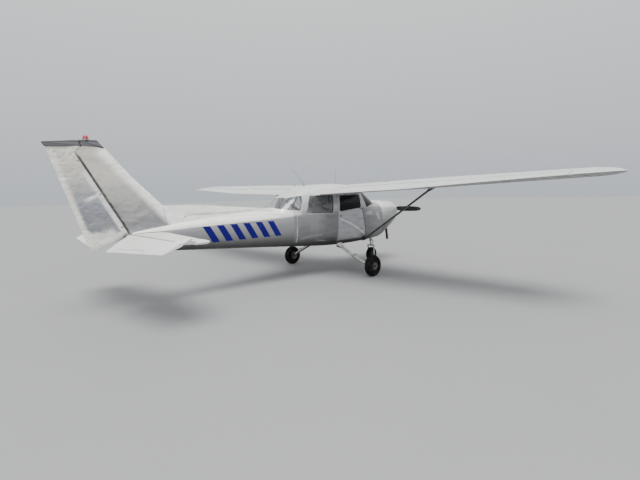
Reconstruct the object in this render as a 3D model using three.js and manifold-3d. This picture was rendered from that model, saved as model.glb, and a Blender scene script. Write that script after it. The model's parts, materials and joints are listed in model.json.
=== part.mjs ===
// Light aircraft with four seats, a high braced wing and fixed three-wheel landing gear, parked
// with its elevator resting on the lower stop. Millimetres, +X ahead, +Y to the aircraft's left,
// +Z up, floor at z = 0. Stations are measured from the firewall, positive ahead of it, and the
// finished group is moved so that its origin lies on the floor under the middle of its outline.

import * as THREE from 'three';
import { mergeVertices } from 'three/addons/utils/BufferGeometryUtils.js';
import Module from 'manifold-3d';

const wasm = await Module();
wasm.setup();

// Driving dimensions

const fit = 0.4; // between neighbours that touch
const panelGap = 6; // round a door
const sillGap = 5; // more below a door, whose lower edge sinks as it opens
const controlGap = 7; // ahead of a control surface's nose
const controlSideGap = 12; // at the ends of a control surface
const far = 9000; // reach of a cutting block

const wall = { cabin: 36, glass: 8, tailcone: 7, cowl: 20, tailSkin: 6 };
const ribHalf = 10; // half the thickness of a rib inside the fin and the stabiliser

const noseTip = 1190;
const tailTip = -6968;

// Fuselage outline: station, bottom, top, half width, height of the widest point, and the powers
// of the upper and the lower curve (2 is an ellipse, more is squarer).
const fuselageRows = [
  [0, 655, 1566, 500, 1130, 2.9, 4.0],
  [-150, 645, 1563, 512, 1130, 2.9, 4.0],
  [-420, 628, 1740, 525, 1140, 2.8, 4.2],
  [-700, 616, 1905, 532, 1160, 2.9, 4.4],
  [-1000, 609, 1975, 534, 1170, 3.2, 4.4],
  [-1500, 606, 1986, 530, 1170, 3.2, 4.4],
  [-1914, 620, 1968, 510, 1165, 3.3, 4.2],
  [-2190, 638, 1938, 488, 1160, 3.4, 4.0],
  [-2455, 658, 1878, 460, 1150, 3.5, 3.9],
  [-2634, 671, 1812, 438, 1140, 3.5, 3.8],
  [-2834, 686, 1716, 410, 1130, 3.3, 3.7],
  [-3030, 700, 1578, 384, 1110, 3.0, 3.5],
  [-3150, 708, 1498, 370, 1100, 3.0, 3.4],
  [-3420, 728, 1462, 340, 1095, 3.1, 3.2],
  [-3900, 762, 1424, 284, 1090, 3.2, 3.0],
  [-4850, 830, 1344, 182, 1090, 3.2, 2.8],
  [-5490, 879, 1272, 116, 1080, 3.0, 2.6],
  [-5900, 915, 1222, 66, 1075, 2.8, 2.4],
];
// The lining follows fewer stations than the skin.
const liningStations = [0, -150, -700, -1000, -1914, -2634, -3030, -3150, -3420, -5900];
const cabinEnd = -2890;
const tailEnd = -5900;
const floorTop = 740;
const bellyEdge = [
  [10, 700],
  [-1700, 700],
  [-2900, 765],
];
const firewallThickness = 8;
const bulkheadStation = -2743;

// Lines of the cabin seen from the side, as station and height
const windshieldOutline = [
  [-60, 1640],
  [-150, 1552],
  [-680, 1442],
  [-800, 1760],
  [-690, 2100],
  [-60, 2100],
];
const rearWindowOutline = [
  [-2250, 2100],
  [-2250, 1925],
  [-2600, 1735],
  [-2705, 1425],
  [-3150, 1478],
  [-3150, 2100],
];
const roofEdge = [
  [-700, 1778],
  [-1690, 1760],
  [-2600, 1742],
];
const sideWindowOutline = [
  [-2577, 1373],
  [-2452, 1719],
  [-1796, 1731],
  [-1849, 1340],
];
const doorOutline = [
  [-1690, 724],
  [-1690, 1750],
  [-868, 1768],
  [-860, 1403],
  [-712, 800],
  [-800, 736],
];
const doorWindowOutline = [
  [-1640, 1372],
  [-1606, 1718],
  [-905, 1738],
  [-905, 1432],
];
const doorCorner = 45;
const windowCorner = 50;
const baggageDoor = { rear: -2790, front: -2360, bottom: 890, top: 1300, corner: 40 };
const deckOutline = [
  [-8, 1420],
  [-8, 1700],
  [-560, 1700],
  [-560, 1420],
];

// Cowling outline in the same columns as the fuselage
const cowlRows = [
  [0.6, 655, 1566, 500, 1130, 2.9, 4.0],
  [104, 680, 1572, 492, 1150, 2.9, 3.8],
  [300, 760, 1578, 470, 1190, 2.8, 3.4],
  [620, 897, 1568, 415, 1240, 2.7, 3.0],
  [800, 985, 1545, 376, 1270, 2.6, 2.8],
  [930, 1085, 1510, 312, 1300, 2.5, 2.6],
  [985, 1150, 1462, 236, 1310, 2.4, 2.5],
];
const cowlSplit = 1300;
const intake = { inner: 165, outer: 262, bottom: 1262, top: 1372, depth: 900 };
const propeller = { x: 1062, z: 1345, hubRadius: 62, hubHalf: 40, shaft: 40, shaftHole: 96 };
const bladeRows = [
  // radius, half chord, half thickness, pitch in degrees
  [40, 34, 26, 55],
  [150, 52, 20, 44],
  [420, 76, 11, 27],
  [760, 66, 6.5, 18],
  [920, 46, 4, 15],
  [952, 26, 3, 15],
];
const spinner = { base: 1000, radius: 150, room: 105 };
const engine = {
  rear: 130,
  front: 830,
  crankcase: { half: 215, bottom: 1105, top: 1465 },
  cylinders: { rear: 190, front: 700, half: 330, bottom: 1190, top: 1415 },
  mount: { half: 130, bottom: 1265, top: 1440 },
};
const exhaust = { top: [520, -235, 985], bottom: [500, -300, 560], radius: 32, bore: 27 };
const noseLegOpening = { rear: 60, front: 230, half: 74, top: 980 };

// Wing: distance from the centre, leading edge station, chord, height of the quarter-chord
// point and incidence in degrees as parked
const wingRows = [
  [0, -660, 1626, 1832, 4.5],
  [2540, -660, 1626, 1907, 4.5],
  [5130, -780, 1130, 1985, 1.6],
];
const wingRoot = 548;
const wingTipRows = [
  [5130, 0, 1, 1, 0],
  [5320, 0.02, 0.94, 0.8, 6],
  [5440, 0.09, 0.8, 0.5, 12],
  [5500, 0.22, 0.56, 0.16, 14],
];
const aerofoil = { camber: 0.02, camberAt: 0.4, thickness: 0.12 };
// The flap's hinge line lies below its nose, and its pins follow curved tracks about that line.
const flap = { inner: 610, outer: 2530, fraction: 0.7, hinges: [900, 2240], drop: 120, travel: 40 };
const aileron = { inner: 2546, outer: 4925, fraction: 0.76, hinges: [2900, 4560] };
const trailingHalf = 3;
const cove = { high: 200, past: 60 }; // reach of the cut above, below and behind the wing
const wingStrut = {
  foot: [-700, 470, 672], head: [-1070, 2460, 1862], chord: 104, thickness: 40,
};
const tieDown = { length: 70, width: 30, height: 42, behind: 120, drop: 28 };
const tailTieDown = { rear: -5760, front: -5700, half: 14, bottom: 868, top: 918 };

// Tail
const rudderHinge = { z: 1163, x: -5965, slope: -0.536, heights: [1300, 1790, 2260] };
const finRows = [
  // height, leading edge, half thickness
  [1190, -4990, 54],
  [1598, -5372, 50],
  [2060, -5838, 42],
  [2470, -6202, 34],
];
const finTop = 2460;
const hornFoot = 2364;
const noseFoot = 1216; // where the rudder's round nose begins, clear of the elevator's tube
const dorsalRows = [
  // station, top, half width at the deck
  [-3300, 1494, 22],
  [-3600, 1518, 30],
  [-4106, 1552, 36],
  [-4900, 1606, 44],
  [-5400, 1606, 50],
];
const finCapOutline = [
  [-6199, 2452],
  [-6295, 2562],
  [-6532, 2546],
  [-6494, 2452],
];
const finCapHalf = 34;
const rudderNose = [
  // height, radius of the nose about the hinge
  [1190, 40],
  [2364, 26],
];
const rudderTrail = { z: 1001, x: -6487, slope: -0.307 };
const rudderFootRows = [
  // height, station of the front edge, half thickness
  [1000, -6404, 8],
  [1060, -6240, 22],
  [1133, -6078, 30],
];
const horn = { front: -6530, half: 25, step: 10 };
const hornOutline = [
  [-6950, 2352],
  [-6590, 2352],
  [-6490, 2460],
  [-6490, 2600],
  [-6950, 2600],
];
const rudderCapOutline = [
  [-6503, 2464],
  [-6541, 2545],
  [-6968, 2490],
  [-6926, 2429],
  [-6700, 2440],
];
const rudderCapHalf = 27;
const stabiliserHeight = 1145;
const elevatorHinge = -5965;
const stabiliser = {
  rootLead: -5310, tipLead: -5534, tip: 1702, hornInner: 1521, tipRear: -5742, rootHalf: 44,
  tipHalf: 27,
};
const elevator = {
  droop: 23, inner: 108, innerTrail: 250, outer: 1722, innerChord: 452, outerChord: 262,
  innerNose: 36, outerNose: 22, hornInner: 1536, hornReach: 196, tube: 18, hinges: [420, 1250],
};
const trimTab = { inner: 470, outer: 1150, chord: 84, gap: 5, pin: 3, seat: 11 };
const beacon = { x: -6430, z: 2555, radius: 42, height: 70 };

// Hinges: a lug with a bored round eye on the fixed side, a slot and a pin on the moving side
const hinge = { thickness: 8, eye: 11, pin: 4, play: 0.5, side: 5, seat: 12, sides: 8 };
const doorHingeReach = 62;
const doorHinges = [
  // station, distance from the centre, height, depth to which its feet reach inwards
  [-745, 518, 850, 12],
  [-862, 556, 1410, 38],
];
const baggageHinges = [
  [-2357, 484, 960, 32],
  [-2357, 484, 1235, 30],
];

// Landing gear
const mainWheel = {
  x: -1450, y: 1275, radius: 222, width: 160, rim: 84, rimHalf: 66, bore: 21, hubHalf: 66,
};
const noseWheel = { x: 200, radius: 178, width: 128, rim: 68, rimHalf: 50, bore: 13, hubHalf: 82 };
const mainLeg = [
  // station, distance from the centre, height, radius
  [-1530, 330, 655, 40],
  [-1532, 470, 590, 40],
  [-1545, 760, 440, 36],
  [-1505, 1050, 290, 31],
  [-1452, 1150, 224, 29],
];
const legStep = { y: 850, length: 150, width: 90, thickness: 14 };
const mainAxle = { inner: 1150, outer: 1346, flange: 46, flangeInner: 1163, flangeOuter: 1196 };
const axlePlay = 0.6;
const legSides = 10;
const tyreSides = 24;
const rimSides = 16;
const steering = { foot: [186, 0, 400], head: [112, 0, 960] };
const noseLeg = { pistonTop: 470, barrelBottom: 520, barrelTop: 940, barrel: 36, piston: 26 };
const noseLegBrackets = [
  // bottom, top and half width of what joins the barrel to the firewall
  [880, 940, 44],
  [724, 764, 26],
];
const fork = { crown: 430, half: 84, thickness: 16, width: 54 };

// Cabin fittings
const seat = { y: 240, half: 205 };
const seatOutline = [
  [-1080, 985],
  [-1072, 1070],
  [-1140, 1092],
  [-1440, 1062],
  [-1560, 1560],
  [-1590, 1600],
  [-1640, 1590],
  [-1560, 985],
];
const seatBase = { rear: -1520, front: -1110, half: 170, top: 990 };
const bench = { half: 410 };
const benchOutline = [
  [-1960, 985],
  [-1955, 1070],
  [-2010, 1085],
  [-2330, 1060],
  [-2420, 1480],
  [-2490, 1490],
  [-2500, 985],
];
const benchBase = { rear: -2460, front: -1990, half: 290, top: 990 };
const panel = { rear: -392, front: -330, bottom: 1010, top: 1462 };
const yoke = { y: 240, z: 1190, radius: 13, reach: 170, half: 150, bar: 14, grip: 110 };

// Solids and outlines

// A closed geometry as a solid that can be joined and cut.
function solidOf(positions, faces) {
  const mesh = new wasm.Mesh({
    numProp: 3,
    vertProperties: new Float32Array(positions),
    triVerts: new Uint32Array(faces),
  });
  return new wasm.Manifold(mesh);
}

function fromGeometry(geometry) {
  const bare = new THREE.BufferGeometry();
  const loose = geometry.index ? geometry.toNonIndexed() : geometry;
  bare.setAttribute('position', loose.getAttribute('position'));
  const merged = mergeVertices(bare, 1e-3);
  const index = merged.index.array;
  const faces = [];
  for (let i = 0; i < index.length; i += 3) {
    const [a, b, c] = [index[i], index[i + 1], index[i + 2]];
    if (a !== b && b !== c && c !== a) faces.push(a, b, c);
  }
  return solidOf(merged.attributes.position.array, faces);
}

function union(...solids) {
  return solids.reduce((sum, next) => sum.add(next));
}

// Triangles that close a flat ring, wound as the ring is.
function capFaces(ring) {
  const normal = new THREE.Vector3();
  ring.forEach((p, i) => {
    const q = ring[(i + 1) % ring.length];
    normal.x += (p.y - q.y) * (p.z + q.z);
    normal.y += (p.z - q.z) * (p.x + q.x);
    normal.z += (p.x - q.x) * (p.y + q.y);
  });
  const size = [Math.abs(normal.x), Math.abs(normal.y), Math.abs(normal.z)];
  const dropped = size.indexOf(Math.max(...size));
  const flat = ring.map((p) => {
    const kept = p.toArray().filter((_, k) => k !== dropped);
    return new THREE.Vector2(kept[0], kept[1]);
  });
  const turn = Math.sign(THREE.ShapeUtils.area(flat));
  return THREE.ShapeUtils.triangulateShape(flat, []).map(([a, b, c]) => {
    const same = Math.sign(THREE.ShapeUtils.area([flat[a], flat[b], flat[c]])) === turn;
    return same ? [a, b, c] : [a, c, b];
  });
}

// A solid through rings of points, each with the same number of points.
function loft(rings) {
  const count = rings[0].length;
  const points = rings.flat();
  const faces = [];
  for (let i = 0; i + 1 < rings.length; i++) {
    for (let j = 0; j < count; j++) {
      const a = i * count + j;
      const b = i * count + ((j + 1) % count);
      faces.push([a, b, b + count], [a, b + count, a + count]);
    }
  }
  const last = (rings.length - 1) * count;
  capFaces(rings[0]).forEach(([a, b, c]) => faces.push([a, c, b]));
  capFaces(rings.at(-1)).forEach(([a, b, c]) => faces.push([last + a, last + b, last + c]));
  let volume = 0;
  faces.forEach(([a, b, c]) => {
    volume += points[a].dot(new THREE.Vector3().crossVectors(points[b], points[c]));
  });
  const wound = volume < 0 ? faces.map(([a, b, c]) => [a, c, b]) : faces;
  return solidOf(points.flatMap((p) => p.toArray()), wound.flat());
}

function at(x, y, z) {
  return new THREE.Vector3(x, y, z);
}

function box(x0, x1, y0, y1, z0, z1) {
  const ring = (x) => [at(x, y0, z0), at(x, y1, z0), at(x, y1, z1), at(x, y0, z1)];
  return loft([ring(x0), ring(x1)]);
}

// A side view outline, as station and height, extruded from y0 to y1.
function sidePrism(outline, y0, y1) {
  return loft([y0, y1].map((y) => outline.map(([x, z]) => at(x, y, z))));
}

// The outline moved outwards by a distance, or inwards by a negative one.
function grown(outline, distance) {
  const points = outline.map(([x, z]) => new THREE.Vector2(x, z));
  const turn = Math.sign(THREE.ShapeUtils.area(points));
  const count = points.length;
  return points.map((p, i) => {
    const before = p.clone().sub(points[(i + count - 1) % count]).normalize();
    const after = points[(i + 1) % count].clone().sub(p).normalize();
    const middle = before.clone().add(after).normalize();
    const reach = (distance * turn) / Math.max(0.3, middle.dot(before));
    return [p.x + middle.y * reach, p.y - middle.x * reach];
  });
}

// The outline with each corner turned into a short arc.
function rounded(outline, radius, steps = 2) {
  const points = outline.map(([x, z]) => new THREE.Vector2(x, z));
  const count = points.length;
  return points.flatMap((p, i) => {
    const back = points[(i + count - 1) % count];
    const next = points[(i + 1) % count];
    const start = p.clone().lerp(back, Math.min(0.45, radius / p.distanceTo(back)));
    const end = p.clone().lerp(next, Math.min(0.45, radius / p.distanceTo(next)));
    const curve = new THREE.QuadraticBezierCurve(start, p, end);
    return curve.getPoints(steps).map((q) => [q.x, q.y]);
  });
}

// A round or oval bar through rows of centre and radius, each ring square to the bar.
function bar(rows, sides = 12) {
  const centres = rows.map(([x, y, z]) => at(x, y, z));
  return loft(rows.map(([, , , radius], i) => {
    const along = centres[Math.min(i + 1, rows.length - 1)].clone()
      .sub(centres[Math.max(i - 1, 0)]).normalize();
    const ahead = at(1, 0, 0).addScaledVector(along, -along.x);
    if (ahead.length() < 0.1) ahead.set(0, 1, 0);
    ahead.normalize();
    const across = new THREE.Vector3().crossVectors(along, ahead);
    return Array.from({ length: sides }, (_, k) => {
      const turn = (2 * Math.PI * k) / sides;
      return centres[i].clone().addScaledVector(ahead, radius * Math.cos(turn))
        .addScaledVector(across, radius * Math.sin(turn));
    });
  }));
}

// A closed profile of radius and offset, turned round an axis through centre.
function turned(profile, centre, axis, sides) {
  const closed = [...profile, profile[0]].map(([r, h]) => new THREE.Vector2(r, h));
  const geometry = new THREE.LatheGeometry(closed, sides);
  if (axis === 'x') geometry.rotateZ(-Math.PI / 2);
  if (axis === 'z') geometry.rotateX(Math.PI / 2);
  if (axis === '-y') geometry.rotateX(Math.PI);
  geometry.translate(...centre);
  const made = fromGeometry(geometry);
  return made.volume() > 0 ? made : fromGeometry(flipped(geometry));
}

// A plain cylinder from one offset to another along an axis through centre.
function cylinder(radius, from, to, centre, axis, sides) {
  return turned([[0, from], [radius, from], [radius, to], [0, to]], centre, axis, sides);
}

function flipped(geometry) {
  const loose = geometry.index ? geometry.toNonIndexed() : geometry.clone();
  const p = loose.getAttribute('position').array;
  for (let i = 0; i < p.length; i += 9) {
    for (let k = 0; k < 3; k++) [p[i + 3 + k], p[i + 6 + k]] = [p[i + 6 + k], p[i + 3 + k]];
  }
  return loose;
}

// A frame on a hinge line: X points ahead to the fixed side and Y runs along the line.
function hingeFrame(centre, along, ahead) {
  const y = along.clone().normalize();
  const x = ahead.clone().addScaledVector(y, -ahead.dot(y)).normalize();
  return new THREE.Matrix4().makeBasis(x, y, new THREE.Vector3().crossVectors(x, y))
    .setPosition(centre);
}

const lugHalf = 0.5 * hinge.thickness;
const slotHalf = lugHalf + hinge.side;

function hingeLug(frame, reach) {
  const { eye, pin, play } = hinge;
  const round = cylinder(eye, -lugHalf, lugHalf, [0, 0, 0], 'y', hinge.sides);
  const bore = cylinder(pin + play, -2 * lugHalf, 2 * lugHalf, [0, 0, 0], 'y', hinge.sides);
  return union(round, box(0, reach, -lugHalf, lugHalf, -0.8 * eye, 0.8 * eye)).subtract(bore)
    .transform(frame.elements);
}

function hingeSlot(frame, back = hinge.eye + hinge.side, high = 90) {
  return box(-back, 2 * high, -slotHalf, slotHalf, -high, high).transform(frame.elements);
}

function hingePin(frame) {
  const half = slotHalf + hinge.side;
  return cylinder(hinge.pin, -half, half, [0, 0, 0], 'y', hinge.sides).transform(frame.elements);
}

// The slots are cut into a moving piece and its pins set across them.
function hung(solid, frames, back) {
  const open = frames.reduce((left, frame) => left.subtract(hingeSlot(frame, back)), solid);
  return frames.reduce((sum, frame) => sum.add(hingePin(frame)), open);
}

// The stretches between start and end that ribs at the given places leave free.
function baysBetween(start, end, ribs) {
  const edges = [start, ...ribs.flatMap((place) => [place - ribHalf, place + ribHalf]), end];
  return ribs.concat(end).map((_, i) => [edges[2 * i], edges[2 * i + 1]]);
}

const bent = (value, power) => Math.sign(value) * Math.abs(value) ** (2 / power);
const lerp = THREE.MathUtils.lerp;
const radians = THREE.MathUtils.degToRad;

// The value of a column of a table at a place, between its rows.
function between(rows, place, column) {
  const rising = rows.at(-1)[0] > rows[0][0];
  const ordered = rising ? rows : [...rows].reverse();
  let i = 0;
  while (i + 2 < ordered.length && ordered[i + 1][0] < place) i++;
  const [a, b] = [ordered[i], ordered[i + 1]];
  return lerp(a[column], b[column], (place - a[0]) / (b[0] - a[0]));
}

// Fuselage

const skinPoints = 20;
const liningPoints = 16;

function bodyRing([x, bottom, top, half, wide, upper, lower], inset, count = skinPoints) {
  return Array.from({ length: count }, (_, i) => {
    const turn = (2 * Math.PI * (i + 0.5)) / count;
    const power = Math.sin(turn) > 0 ? upper : lower;
    const height = (Math.sin(turn) > 0 ? top - wide : wide - bottom) - inset;
    const y = (half - inset) * bent(Math.cos(turn), power);
    return at(x, y, wide + height * bent(Math.sin(turn), power));
  });
}

const hull = (rows, inset) => loft(rows.map((row) => bodyRing(row, inset)));

function lining(inset) {
  const rows = fuselageRows.filter(([x]) => liningStations.includes(x));
  return loft(rows.map((row) => bodyRing(row, inset, liningPoints)));
}

const outside = hull(fuselageRows, 0);
const insideCabin = lining(wall.cabin).intersect(
  box(cabinEnd - 300, far, -far, far, floorTop, far),
);
const glassShell = outside.subtract(hull(fuselageRows, wall.glass));
const cabinFront = -firewallThickness - fit;
const cabinShell = outside.subtract(insideCabin)
  .intersect(box(cabinEnd + fit / 2, cabinFront, -far, far, 0, far));

const across = (outline, growth) => sidePrism(grown(outline, growth), -far, far);
const windshieldCut = across(windshieldOutline, fit / 2);
const rearWindowCut = across(rearWindowOutline, fit / 2);
const aboveRoofEdge = [...roofEdge, [-3300, 1728], [-3300, 2500], [-300, 2500], [-300, 1785]];
const belowRoofEdge = [[0, 1784], ...roofEdge, [-3300, 1728], [-3300, 0], [0, 0]];
const belly = [...bellyEdge, [-2900, 0], [10, 0]];

// The belly skin and, within the walls, the raised floor over it.
function cabinFloor() {
  const boards = lining(wall.cabin + fit).intersect(
    box(cabinEnd, cabinFront, -far, far, 0, floorTop),
  );
  return cabinShell.intersect(across(belly, -fit / 2).add(boards));
}

const doorSill = 750;
const doorOpening = doorOutline.map(([x, z]) => [x, z < doorSill ? z - sillGap : z]);

function cabinSide(side) {
  const half = box(-far, far, 0.5 * side, far * side, 0, far);
  let panelSide = cabinShell.intersect(half).subtract(lining(wall.cabin))
    .subtract(across(belly, fit / 2)).intersect(across(belowRoofEdge, -fit / 2))
    .subtract(windshieldCut).subtract(rearWindowCut).subtract(across(deckOutline, fit / 2))
    .subtract(across(rounded(doorOpening, doorCorner + panelGap), panelGap))
    .subtract(across(rounded(sideWindowOutline, windowCorner), fit));
  const lugs = doorHinges.map((row) => fixedLug(row, doorAxis(side), side));
  if (side > 0) {
    const opening = rounded(baggageOutline(), baggageDoor.corner + panelGap);
    panelSide = panelSide.subtract(across(opening, panelGap));
    lugs.push(...baggageHinges.map((row) => fixedLug(row, upright, side)));
  }
  return union(panelSide, ...lugs);
}

const upright = new THREE.Vector3(0, 0, 1);

function doorAxis(side) {
  const [[x0, y0, z0], [x1, y1, z1]] = doorHinges;
  return at(x1 - x0, side * (y1 - y0), z1 - z0);
}

function sideHingeFrame([x, y, z], along, side) {
  return hingeFrame(at(x, side * y, z), along, at(1, 0, 0));
}

// The lug of a side hinge, with a foot that reaches inwards to the skin ahead of the opening.
function fixedLug(row, along, side) {
  const frame = sideHingeFrame(row, along, side);
  const foot = box(0.45 * doorHingeReach, doorHingeReach, -lugHalf, lugHalf, 0, side * row[3]);
  return hingeLug(frame, doorHingeReach).add(foot.transform(frame.elements));
}

// The strap of a side hinge above that lug, with its own foot and the pin.
function hingeStrap(row, along, side) {
  const frame = sideHingeFrame(row, along, side);
  const [low, high] = [lugHalf + fit, 3 * lugHalf + fit];
  const eye = cylinder(hinge.eye, low, high, [0, 0, 0], 'y', hinge.sides);
  const pin = cylinder(hinge.pin, -lugHalf - fit, high, [0, 0, 0], 'y', hinge.sides);
  const strap = box(-doorHingeReach, 0, low, high, -0.8 * hinge.eye, 0.8 * hinge.eye);
  const foot = box(-doorHingeReach, -0.45 * doorHingeReach, low, high, 0, side * row[3]);
  return union(eye, pin, strap, foot).transform(frame.elements);
}

function baggageOutline() {
  const { rear, front, bottom, top } = baggageDoor;
  return [[rear, bottom], [rear, top], [front, top], [front, bottom]];
}

function sideHalf(solid, side) {
  return solid.intersect(box(-far, far, 0.5 * side, far * side, 0, far));
}

function door(side) {
  const opening = rounded(doorWindowOutline, windowCorner);
  const panelled = sideHalf(cabinShell, side).subtract(lining(wall.cabin))
    .intersect(across(rounded(doorOutline, doorCorner), 0)).subtract(across(opening, fit));
  const [low, high] = doorHinges;
  const flush = sideHingeFrame(low, doorAxis(side), side);
  return hung(panelled, [flush]).add(hingeStrap(high, doorAxis(side), side));
}

function pane(outline, side) {
  return sideHalf(glassShell, side).intersect(across(rounded(outline, windowCorner), 0));
}

function baggageHatch() {
  const outline = rounded(baggageOutline(), baggageDoor.corner);
  const straps = baggageHinges.map((row) => hingeStrap(row, upright, 1));
  return union(sideHalf(cabinShell, 1).intersect(across(outline, 0)), ...straps);
}

// The roof carries the middle of the wing, between the two wing roots.
function cabinRoof() {
  const middle = loft([-1, 1].map((side) => aerofoilRing(side * (wingRoot - fit), wingStation(0))));
  const skin = cabinShell.intersect(across(aboveRoofEdge, -fit / 2));
  return union(skin, middle).subtract(insideCabin).subtract(windshieldCut)
    .subtract(across(belowRoofEdge, fit / 2)).subtract(rearWindowCut)
    .intersect(box(-far, far, -far, far, 0, far));
}

function windshield() {
  return glassShell.intersect(across(windshieldOutline, -fit / 2));
}

function rearWindow() {
  return glassShell.intersect(across(rearWindowOutline, -fit / 2));
}

function frontDeck() {
  return cabinShell.intersect(across(deckOutline, -fit / 2)).subtract(windshieldCut);
}

function firewall() {
  return outside.intersect(box(-firewallThickness, 0, -far, far, 0, far));
}

function baggageWall() {
  return lining(wall.cabin + fit)
    .intersect(box(bulkheadStation - 14, bulkheadStation, -far, far, floorTop + fit, 1410));
}

function tailcone() {
  const hollow = lining(wall.tailcone).intersect(
    box(tailEnd + 30, far, -far, far, 0, far),
  );
  const { rear, front, half, bottom, top } = tailTieDown;
  return outside.intersect(box(-far, cabinEnd - fit / 2, -far, far, 0, far)).subtract(hollow)
    .subtract(rearWindowCut).subtract(stabiliserSolid(fit))
    .add(box(rear, front, -half, half, bottom, top));
}

// Cowling and engine

function cowlShell() {
  const hollow = hull(cowlRows, wall.cowl).intersect(
    box(-far, cowlRows.at(-1)[0] - wall.cowl, -far, far, 0, far),
  );
  let shell = hull(cowlRows, 0).subtract(hollow);
  const { inner, outer, bottom, top, depth } = intake;
  for (const side of [-1, 1]) {
    shell = shell.subtract(box(depth, far, side * inner, side * outer, bottom, top));
  }
  return shell.subtract(cylinder(propeller.shaftHole, -150, 150, [cowlRows.at(-1)[0], 0, propeller.z],
    'x', 16));
}

function cowlUpper() {
  return cowlShell().intersect(box(-far, far, -far, far, cowlSplit + fit / 2, far));
}

function cowlLower() {
  const { rear, front, half, top } = noseLegOpening;
  const around = exhaust.radius + 10;
  return cowlShell().intersect(box(-far, far, -far, far, 0, cowlSplit - fit / 2))
    .subtract(box(rear, front, -half, half, 0, top))
    .subtract(bar([[...exhaust.top, around], [...exhaust.bottom, around]]));
}

function engineBlock() {
  const { rear, front, crankcase, cylinders, mount } = engine;
  const block = (x0, x1, { half, bottom, top }) => box(x0, x1, -half, half, bottom, top);
  const shaftEnd = propeller.x - propeller.hubHalf - fit;
  const shaft = cylinder(propeller.shaft, front - 8, shaftEnd, [0, 0, propeller.z], 'x', 16);
  return union(block(cylinders.rear, cylinders.front, cylinders), block(rear, front, crankcase),
    block(fit, rear + 10, mount), shaft);
}

function exhaustPipe() {
  const { top, bottom, radius, bore } = exhaust;
  const stub = box(top[0] - 40, top[0] + 40, top[1] - 34, top[1] + 34, top[2] - 45,
    engine.cylinders.bottom - fit).subtract(engineBlock().translate([0, 0, -fit]))
    .subtract(engineBlock().translate([0, fit, 0])).subtract(engineBlock().translate([0, -fit, 0]));
  const beyond = bottom.map((value, k) => value + 0.1 * (value - top[k]));
  const start = bottom.map((value, k) => lerp(top[k], value, 0.2));
  return union(bar([[...top, radius], [...bottom, radius]], 14), stub)
    .subtract(bar([[...start, bore], [...beyond, bore]], 14));
}

// Propeller and spinner

function bladeRing([radius, halfChord, halfThickness, degrees], side, growth) {
  const pitch = radians(degrees);
  return Array.from({ length: 10 }, (_, i) => {
    const turn = (2 * Math.PI * i) / 10;
    const c = (halfChord + growth) * Math.cos(turn);
    const t = (halfThickness + growth) * Math.sin(turn);
    const ahead = t * Math.cos(pitch) + c * Math.sin(pitch);
    const up = (c * Math.cos(pitch) - t * Math.sin(pitch)) * side;
    return at(propeller.x + ahead, side * radius, propeller.z + up);
  });
}

function blade(side, growth) {
  return loft(bladeRows.map((row) => bladeRing(row, side, growth)));
}

function propellerSolid() {
  const { x, z, hubRadius, hubHalf } = propeller;
  const hub = cylinder(hubRadius, -hubHalf, hubHalf, [x, 0, z], 'x', 16);
  return union(hub, blade(1, 0), blade(-1, 0));
}

function spinnerSolid() {
  const { base, radius, room: depth } = spinner;
  const length = noseTip - base;
  const steps = 6;
  const profile = [[0, 0], [radius, 0]];
  for (let i = 1; i < steps; i++) {
    const turn = (Math.PI / 2) * (i / steps);
    profile.push([radius * Math.cos(turn) ** 0.8, length * Math.sin(turn)]);
  }
  profile.push([0, length]);
  const centre = [base, 0, propeller.z];
  const bulb = turned(profile, centre, 'x', 16);
  const room = cylinder(propeller.hubRadius + fit, -20, depth, centre, 'x', 16);
  return bulb.subtract(room).subtract(blade(1, fit + 1)).subtract(blade(-1, fit + 1));
}

// Wing

function wingStation(y) {
  const place = Math.abs(y);
  return {
    lead: between(wingRows, place, 1),
    chord: between(wingRows, place, 2),
    quarter: between(wingRows, place, 3),
    incidence: radians(between(wingRows, place, 4)),
  };
}

// Heights of the upper and lower surface over the chord line, as fractions of the chord.
function aerofoilHeights(fraction) {
  const { camber, camberAt, thickness } = aerofoil;
  const x = fraction;
  const half = 5 * thickness * (0.2969 * Math.sqrt(x) - 0.126 * x - 0.3516 * x ** 2
    + 0.2843 * x ** 3 - 0.1015 * x ** 4);
  const line = x < camberAt
    ? (camber / camberAt ** 2) * (2 * camberAt * x - x ** 2)
    : (camber / (1 - camberAt) ** 2) * (1 - 2 * camberAt + 2 * camberAt * x - x ** 2);
  return { upper: line + half, lower: line - half };
}

// A point of a wing section at a fraction of the chord and a height over the chord line.
function sectionPoint(y, station, fraction, height) {
  const { lead, chord, quarter, incidence } = station;
  const along = (fraction - 0.25) * chord;
  const x = lead - 0.25 * chord - along * Math.cos(incidence) - height * Math.sin(incidence);
  return at(x, y, quarter - along * Math.sin(incidence) + height * Math.cos(incidence));
}

const chordSteps = [0, 0.012, 0.05, 0.13, 0.26, 0.42, 0.6, 0.8, 1];

function aerofoilRing(y, station, flatness = 1) {
  const upper = chordSteps.map((f) => sectionPoint(y, station, f,
    aerofoilHeights(f).upper * station.chord * flatness));
  const lower = chordSteps.slice(1).map((f) => sectionPoint(y, station, f,
    aerofoilHeights(f).lower * station.chord * flatness));
  return [...upper.reverse(), ...lower];
}

function wingRings(side) {
  const main = [wingRoot, 2540].map((y) => aerofoilRing(side * y, wingStation(y)));
  const tip = wingStation(5130);
  const ends = wingTipRows.map(([y, back, share, flatness, rise]) => aerofoilRing(side * y, {
    lead: tip.lead - back * tip.chord,
    chord: tip.chord * share,
    quarter: tip.quarter + rise - (back + 0.25 * share - 0.25) * tip.chord * Math.sin(tip.incidence),
    incidence: tip.incidence,
  }, flatness));
  return [...main, ...ends];
}

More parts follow.
